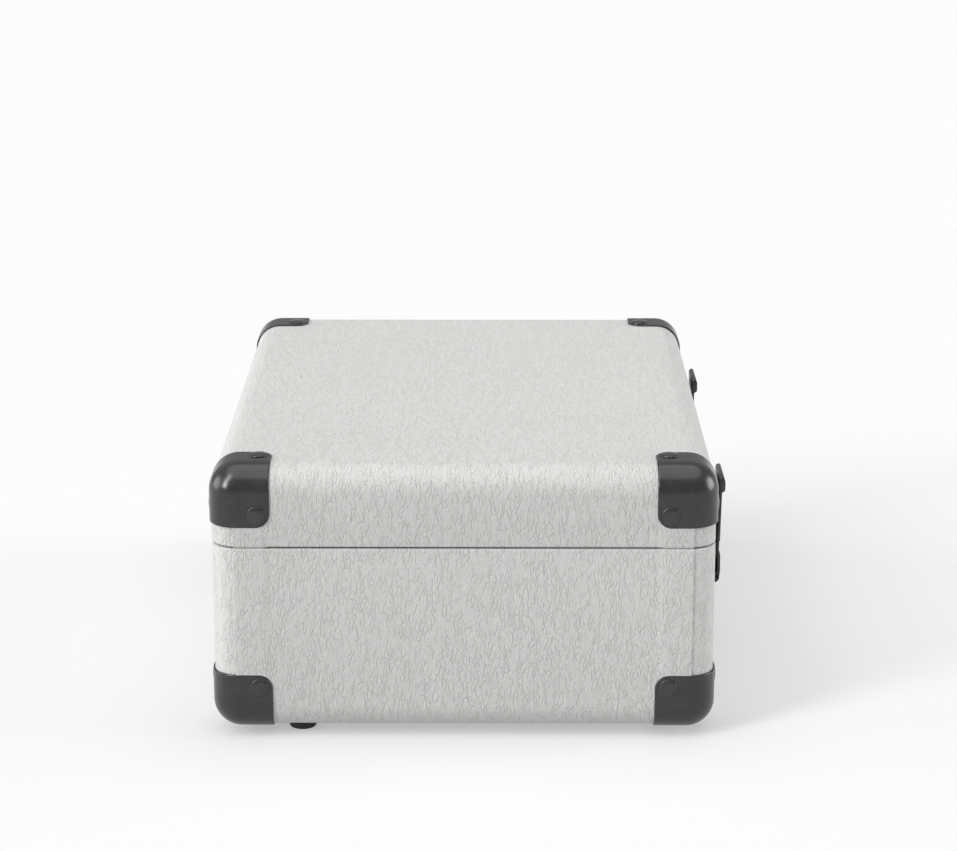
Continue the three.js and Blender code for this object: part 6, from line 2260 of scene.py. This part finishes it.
    def pickup(self) -> Shape:
        """The cartridge with its stylus guard and tip."""
        width, long, tall = self.cartridge_size
        front = -(self.length + self.shell_past) + 4.0
        rear = front + long
        top = self.shell_top - self.shell[2] - 0.3
        foot = top - tall
        side = [
            (front, top), (front, foot + 2.2), (front + 3, foot), (rear - 2, foot),
            (rear, foot + 1.5), (rear, top)
        ]
        shape = Shape.along_x(side, -width / 2, width / 2).softened(0.4, 2, 25)
        guard = Shape.box((-3.4, 3.4), (front - 0.6, front + 4.0), (foot + 0.5, foot + 2.6))
        shape.joined(guard.softened(0.4, 2).painted(1))
        for x in self.terminals:
            tag = Shape.lathe([(0.0, 0.0), (0.6, 0.0), (0.6, 2.2), (0.0, 2.4)], 12)
            shape.joined(tag.painted(2).moved(facing((0, 1, 0), (x, rear - 0.2, foot + 3.4))))
        tip = Shape.lathe(
            [(0.0, -self.stylus_drop), (0.25, -self.stylus_drop + 0.4), (0.7, 0.5), (0.0, 0.6)], 16
        )
        return shape.joined(tip.painted(2).moved(upright(0, -self.length, foot)))

    def balance(self) -> Shape:
        """The counterweight, with a grooved grip."""
        r, start, end = self.weight
        bore = self.tube + 0.3
        profile = [(bore, start), (r - 1.0, start), (r - 0.3, start + 0.3), (r, start + 1.0)]
        z = start + self.weight_band
        while z < end - self.weight_band:
            profile += [(r, z), (r - 0.45, z + 0.35), (r - 0.45, z + 0.75), (r, z + 1.1)]
            z += self.weight_pitch
        profile += [(r, end - 1.0), (r - 0.3, end - 0.3), (r - 1.0, end), (r - 3.0, end),
                    (r - 3.4, end - 0.6), (bore + 0.8, end - 0.6), (bore, end)]
        return Shape.lathe(profile, 72).moved(facing((0, 1, 0), (0, 0, 0)))

    def cradle(self) -> Shape:
        """The rest's column, the seat under the tube, its cheek and the clip's two ears."""
        y = self.rest_at
        floor = -self.deck_drop
        at, r = self.rest_column
        seat = self.seat
        ends = (y - self.rest_length / 2, y + self.rest_length / 2)
        shape = Shape.lathe([
            (0.0, floor), (7.8, floor), (8.0, floor + 0.2), (8.0, floor + 1.4), (7.5, floor + 2.0),
            (r + 1.2, floor + 2.0), (r + 0.3, floor + 2.5), (r, floor + 3.4), (r, seat - 1.0),
            (0.0, seat - 1.0),
        ], 48).moved(upright(at, y))
        inner = self.tube + 0.8
        fork = [(-4.5, seat - 3.0), (inner + 5.0, seat - 3.0), (inner + 5.0, self.clip_at[1] - 2.3),
                (inner, self.clip_at[1] - 2.3), (inner, seat + 0.5), (inner - 0.6, seat),
                (-3.6, seat), (-4.5, seat - 0.4)]
        shape.joined(Shape.along_y(fork, *ends).softened(0.35, 2, 40))
        for start in (ends[0], ends[1] - 2.0):
            ear = [(inner + 0.6, seat + 1), (inner + 5.0, seat + 1),
                   (inner + 5.0, self.clip_at[1] + 0.2), (inner + 4.2, self.clip_at[1] + 1.0),
                   (inner + 1.4, self.clip_at[1] + 1.0), (inner + 0.6, self.clip_at[1] + 0.2)]
            shape.joined(Shape.along_y(ear, start, start + 2.0).softened(0.2, 2, 40))
        pin = Shape.lathe([(0.0, 0.0), (0.7, 0.0), (0.7, 7.0), (0.0, 7.0)], 16)
        return shape.joined(
            pin.painted(1).moved(
                facing((0, 1, 0), (self.clip_at[0], ends[0] + 0.5, self.clip_at[1]))
            )
        )

    def clip(self) -> Shape:
        """The strap over the arm, standing open, in its own frame before it is turned."""
        half = self.clip_half
        strap = [(-self.clip_length, 0.5), (-self.clip_length, 1.5), (-self.clip_length + 0.5, 2.0),
                 (0.3, 2.0), (0.3, 0.4), (-self.clip_length + 0.4, 0.4)]
        shape = Shape.along_y(strap, -half, half).softened(0.2, 2, 40)
        hub = Shape.lathe([
            (1.0, -half), (1.8, -half), (2.0, -half + 0.2), (2.0, half - 0.2), (1.8, half),
            (1.0, half),
        ], 28)
        shape.joined(hub.moved(facing((0, 1, 0), (0, 0, 0))))
        place = upright(self.clip_at[0], self.rest_at, self.clip_at[1])
        return shape.moved(place @ Matrix.Rotation(math.radians(self.clip_open), 4, "Y"))

    def cue_arc(self) -> Shape:
        """The lifting arc with a rubber pad, on its rod."""
        steps = self.cue_steps
        angles = [
            self.cue_from + (self.cue_to - self.cue_from) * i / steps for i in range(steps + 1)
        ]

        def band(inner: float, outer: float) -> list[Flat]:
            """The outline between two radii."""
            far = [self.cue_point(a, outer) for a in angles]
            return far + [self.cue_point(a, inner) for a in reversed(angles)]

        half = self.cue_width / 2
        top = self.cue_top
        r = self.cue_radius
        shape = Shape.plate(band(r - half, r + half), [], top - self.cue_plate, top - 0.5, 0.25)
        shape.joined(
            Shape.plate(band(r - half + 0.6, r + half - 0.6), [], top - 0.8, top, 0.2).painted(1)
        )
        foot = span("cue_rest")[0].z - self.pivot.z
        end = top - self.cue_plate / 2
        rod = Shape.lathe([
            (0.0, foot), (self.rod - 0.3, foot), (self.rod, foot + 0.3), (self.rod, end),
            (0.0, end),
        ], 28)
        return shape.joined(rod.painted(2).moved(upright(*self.cue_point(self.rod_angle, r))))

    def lever(self) -> Shape:
        """The cueing lever, raised, with a ribbed finger pad."""
        half = self.lever_width / 2
        long = self.lever_length
        hub = self.lever_hub
        shape = Shape.lathe([
            (1.5, -half), (hub - 0.4, -half), (hub, -half + 0.4), (hub, half - 0.4),
            (hub - 0.4, half), (1.5, half),
        ], 36).moved(facing((1, 0, 0), (0, 0, 0)))
        shape.joined(
            Shape.box((-half + 0.8, half - 0.8), (-long, -hub + 0.8), (-1.4, 1.4)).softened(0.5, 2)
        )
        shape.joined(Shape.box((-half, half), (-long - 3, -long + 5), (-2.0, 1.8)).softened(0.7, 3))
        for number in range(self.pad_ribs):
            y = -long - 1.2 + number * self.pad_pitch
            shape.joined(
                Shape.box((-half + 0.6, half - 0.6), (y, y + 0.7), (1.5, 2.0)).softened(0.15, 2)
            )
        turn = Matrix.Rotation(math.radians(-self.lever_rise), 4, "X")
        return shape.moved(upright(*self.lever_at) @ turn)

    def build(self) -> None:
        """Makes every part of the arm."""
        parts = (
            ("arm_pedestal", "base", "black_plastic", [BLACK, STEEL], self.pedestal, "arm_base"),
            ("gimbal", "arm_yoke", "black_plastic", [BLACK, STEEL], self.gimbal, "arm_yoke"),
            ("arm_with_headshell", "tonearm", "arm_metal", [ARM, STEEL], self.arm, "arm_tube"),
            ("pickup", "tonearm", "black_plastic", [BLACK, RED, BRASS], self.pickup, "cartridge"),
            ("balance_weight", "tonearm", "bright_steel", [STEEL], self.balance, "counterweight"),
            ("arm_cradle", "base", "black_plastic", [BLACK, STEEL], self.cradle, "arm_rest"),
            ("transit_clip", "arm_clip", "black_plastic", [BLACK], self.clip, "arm_clip"),
            (
                "cue_platform", "cue_rest", "black_plastic", [BLACK, RUBBER, STEEL], self.cue_arc,
                "cue_rest"
            ),
            ("cue_handle", "cue_lever", "black_plastic", [BLACK], self.lever, "cue_lever"),
        )
        for name, body, slot, finishes, form, node in parts:
            Piece(name, body, slot, finishes).build(form().moved(self.home), [node])


# ------------------------------------------------------------------ controls and works


@dataclass
class SlideSwitch:
    """A slide switch's ribbed button on its stem."""

    node: str
    height: float = 5.0
    stem: Flat = (3.0, 2.4)
    ribs: int = 5

    def build(self) -> None:
        """Makes the button."""
        low, high = span(self.node)
        centre = (low + high) / 2
        half = (high.x - low.x) / 2
        deep = (high.y - low.y) / 2
        foot = high.z - self.height
        outline = [(-half, foot), (half, foot), (half - 0.5, high.z)]
        pitch = (2 * half - 1.8) / self.ribs
        for number in range(self.ribs):
            x = half - 0.9 - number * pitch
            outline += [
                (x, high.z), (x - 0.3, high.z - 0.6), (x - pitch * 0.45, high.z - 0.6),
                (x - pitch * 0.6, high.z)
            ]
        outline += [(-half + 0.5, high.z)]
        shape = Shape.along_y(outline, -deep, deep).softened(0.15, 2, 40)
        sx, sy = self.stem
        shape.joined(
            Shape.box((-sx / 2, sx / 2), (-sy / 2, sy / 2), (low.z, foot + 0.5)).softened(0.15, 2)
        )
        Piece(f"{self.node}_button", self.node, "black_plastic", [BLACK]).build(
            shape.moved(upright(centre.x, centre.y)), [self.node]
        )


@dataclass
class VolumeKnob:
    """A turned knob with fine upright ridges and a pointer line."""

    height: float = 11.0
    mark_height: float = 0.4
    shaft: float = 3.0
    ridges: int = 48
    ridge: float = 0.35

    def build(self) -> None:
        """Makes the knob on its shaft."""
        low, high = span("volume_knob")
        centre = (low + high) / 2
        r = (high.x - low.x) / 2
        top = high.z - self.mark_height
        foot = top - self.height
        profile = [
            (0.01, foot, 0), (r - 0.5, foot, 0), (r, foot + 0.5, 0), (r, foot + 1.4, 0),
            (r - 0.2, foot + 1.6, 1), (r - 0.7, top - 1.9, 1), (r - 0.6, top - 1.5, 0),
            (r - 0.9, top - 0.7, 0), (r - 1.7, top - 0.05, 0), (r - 2.4, top, 0),
            (r - 3.0, top - 0.35, 0), (0.01, top - 0.35, 0),
        ]
        steps = self.ridges * 4
        rows = []
        for radius, z, share in profile:
            row = []
            for i in range(steps):
                reach = radius - share * self.ridge * (1 if i % 4 >= 2 else 0)
                turn = 2 * math.pi * i / steps
                row.append((reach * math.cos(turn), reach * math.sin(turn), z))
            rows.append(row)
        shape = Shape.rings(rows)
        shaft = Shape.lathe([(0.0, low.z), (self.shaft - 0.4, low.z), (self.shaft, low.z + 0.4),
                             (self.shaft, foot + 0.5), (0.0, foot + 0.5)], 32)
        mark = Shape.box((-0.6, 0.6), (3.0, r - 2.2), (top - 0.6, high.z)).softened(0.2, 2)
        shape.joined(shaft, mark.painted(1))
        Piece("volume_dial", "volume_knob", "bright_steel", [STEEL, MARK]).build(
            shape.moved(upright(centre.x, centre.y)), ["volume_knob"]
        )


@dataclass
class SmallFittings:
    """The headphone socket, the power light and the large-hole adapter."""

    phones_bore: float = 1.8
    phones_barrel: float = 3.5
    adapter_bore: float = 3.65

    def phones(self, low: Vector, high: Vector) -> Shape:
        """A bush with a slotted ring nut."""
        r = (high.x - low.x) / 2
        seat = high.z - 1.0
        bore, barrel = self.phones_bore, self.phones_barrel
        ring = Shape.lathe([
            (bore, low.z), (barrel, low.z), (barrel, seat), (r - 0.2, seat), (r, seat + 0.2),
            (r, high.z - 0.35), (r - 0.35, high.z), (bore + 0.9, high.z),
            (bore + 0.3, high.z - 0.3), (bore, high.z - 0.8),
        ], 40)
        gap = Shape.box((-r - 1, r + 1), (-0.4, 0.4), (high.z - 0.45, high.z + 1))
        return carve(ring, [gap])

    def light(self, low: Vector, high: Vector) -> Shape:
        """A domed lens in a thin ring."""
        r = (high.x - low.x) / 2
        top = high.z
        lens = Shape.lathe([
            (0.0, low.z), (r, low.z), (r, top - 1.0), (r * 0.92, top - 0.6), (r * 0.7, top - 0.25),
            (r * 0.4, top - 0.05), (0.0, top),
        ], 32)
        rim = top - 1.55
        ring = Shape.lathe([(r + 0.05, rim), (r + 1.2, rim), (r + 1.0, rim + 0.45),
                            (r + 0.35, rim + 0.6), (r + 0.05, rim + 0.5)], 40)
        return lens.joined(ring.painted(1))

    def adapter(self, low: Vector, high: Vector) -> Shape:
        """A stepped ring with a dished top."""
        r = (high.x - low.x) / 2
        bore = self.adapter_bore
        return Shape.lathe([
            (bore, low.z + 0.3), (bore + 0.3, low.z), (r - 0.3, low.z), (r, low.z + 0.3),
            (r, low.z + 1.7), (r - 0.3, low.z + 2.0), (r - 2.6, high.z - 0.6), (r - 3.2, high.z),
            (r - 5.0, high.z), (r - 5.6, high.z - 0.7), (r - 6.0, high.z - 1.6),
            (bore + 4.2, high.z - 1.6), (bore + 3.6, high.z - 0.7), (bore + 3.0, high.z),
            (bore + 0.4, high.z), (bore, high.z - 0.4),
        ], 80)

    def build(self) -> None:
        """Makes the three fittings."""
        parts = (
            ("phones_bush", "base", "bright_steel", [STEEL], self.phones, "headphone_jack"),
            ("lamp_lens", "base", "light_lens", [LAMP, STEEL], self.light, "power_light"),
            ("single_adapter", "adapter_45", "black_plastic", [BLACK], self.adapter, "adapter_45"),
        )
        for name, body, slot, finishes, form, node in parts:
            low, high = span(node)
            centre = (low + high) / 2
            Piece(name, body, slot, finishes).build(
                form(low, high).moved(upright(centre.x, centre.y)), [node]
            )


@dataclass
class Works:
    """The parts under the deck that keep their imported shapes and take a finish."""

    dressed: tuple[tuple[str, Finish], ...] = (
        ("speaker_left", BLACK), ("speaker_right", BLACK), ("speaker_cone_left", PAPER),
        ("speaker_cone_right", PAPER), ("amplifier_board", CIRCUIT), ("drive_belt", RUBBER),
        ("motor_pulley", BRASS), ("drive_motor", STEEL), ("bearing_sleeve", BRASS),
    )

    def build(self) -> None:
        """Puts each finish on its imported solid."""
        for node, finish in self.dressed:
            for place in bpy.data.objects[node].material_slots:
                place.material = finish.material()


# ------------------------------------------------------------------ studio


@dataclass
class Studio:
    """A pale floor that runs out to white, one soft key light and the camera."""

    floor_half: float = 14.0
    floor_tone: Colour = (0.378, 0.378, 0.378)
    floor_glow: float = 0.382
    sky: float = 0.4
    key_heights: tuple[float, ...] = (20.0, 32.0, 44.0, 56.0)
    key_bearing: float = 126.5
    key_light: float = 0.45
    key_angle: float = 16.0
    top_light: float = 0.5
    top_angle: float = 70.0
    fill_height: float = 12.0
    fill_angle: float = 36.0
    fills: tuple[Flat, ...] = ((84.0, 0.085), (276.0, 0.13))
    camera_place: tuple[float, float, float] = (-1.5439, -0.0093, 0.5421)
    pitch: float = 15.228
    yaw: float = 0.228
    lens: float = 105.55

    def floor(self) -> None:
        """The floor, a sheet with an even matt finish."""
        graph = Graph("studio_floor")
        tone = graph.noise(graph.place.outputs["Object"], 3.0, 2.0)
        lighter = tuple(min(1.0, part * 1.004) for part in self.floor_tone)
        material = graph.dress(
            Base_Color=graph.blend(tone, self.floor_tone, lighter), Roughness=0.9,
            Specular_IOR_Level=0.0,
            Emission_Color=(1.0, 1.0, 1.0), Emission_Strength=self.floor_glow,
        )
        half = self.floor_half
        data = bpy.data.meshes.new("studio_floor")
        data.from_pydata(
            [(-half, -half, 0), (half, -half, 0), (half, half, 0), (-half, half, 0)], [],
            [(0, 1, 2, 3)]
        )
        data.materials.append(material)
        made = bpy.data.objects.new("studio_floor", data)
        bpy.context.scene.collection.objects.link(made)

    def light(self) -> None:
        """An even surround, the tall key light and the overhead light."""
        world = bpy.data.worlds.new("studio")
        world.use_nodes = True
        world.node_tree.nodes["Background"].inputs["Color"].default_value = (1.0, 1.0, 1.0, 1.0)
        world.node_tree.nodes["Background"].inputs["Strength"].default_value = self.sky
        bpy.context.scene.world = world
        share = self.key_light / len(self.key_heights)
        for number, height in enumerate(self.key_heights):
            self.sun(f"key_{number}", height, self.key_bearing, share, self.key_angle)
        self.sun("overhead", 90.0, 0.0, self.top_light, self.top_angle)
        for bearing, level in self.fills:
            self.sun(f"fill_{bearing:.0f}", self.fill_height, bearing, level, self.fill_angle)

    def sun(self, name: str, height: float, bearing: float, level: float, angle: float) -> None:
        """A distant soft light.

        Args:
            name: the light's name.
            height: its angle over the floor in degrees.
            bearing: its direction round the object, anticlockwise from +X in degrees.
            level: how bright it makes a white floor, as a share of full white.
            angle: its apparent size in degrees.
        """
        lamp = bpy.data.lights.new(name, "SUN")
        up = math.radians(height)
        round_ = math.radians(bearing)
        lamp.energy = level * math.pi / math.sin(up)
        lamp.angle = math.radians(angle)
        made = bpy.data.objects.new(name, lamp)
        towards = Vector(
            (math.cos(up) * math.cos(round_), math.cos(up) * math.sin(round_), math.sin(up))
        )
        made.rotation_euler = (-towards).to_track_quat("-Z", "Y").to_euler()
        made.location = towards * 3.0
        bpy.context.scene.collection.objects.link(made)

    def camera(self) -> None:
        """A long lens looking along the case from its left end."""
        lens = bpy.data.cameras.new("camera")
        lens.lens = self.lens
        lens.sensor_width = 36.0
        lens.clip_end = 60.0
        made = bpy.data.objects.new("camera", lens)
        made.location = self.camera_place
        pitch = math.radians(self.pitch)
        yaw = math.radians(self.yaw)
        ahead = Vector(
            (math.cos(pitch) * math.cos(yaw), math.cos(pitch) * math.sin(yaw), -math.sin(pitch))
        )
        made.rotation_euler = ahead.to_track_quat("-Z", "Y").to_euler()
        bpy.context.scene.collection.objects.link(made)
        bpy.context.scene.camera = made

    def build(self) -> None:
        """Makes the floor, the lights and the camera."""
        self.floor()
        self.light()
        self.camera()
        bpy.context.scene.view_settings.view_transform = "Standard"


def main() -> None:
    """Builds the studio and every sub-assembly in order."""
    logging.basicConfig(level=logging.INFO, format="%(message)s")
    Studio().build()
    case = Case()
    case.build()
    for half in Half:
        for end in End:
            for side in Side:
                CornerPlate(end, side, half).build(case)
    for end in End:
        for side in Side:
            Foot(end, side).build()
    ServicePanel().build()
    for side in Side:
        Hinge(side).build()
        Latch(side).build()
    CarryHandle().build()
    SocketPanel().build()
    Deck().build()
    Platter().build()
    Tonearm().build()
    for node in ("speed_switch", "autostop_switch"):
        SlideSwitch(node).build()
    VolumeKnob().build()
    SmallFittings().build()
    Works().build()


if __name__ == "__main__":
    main()
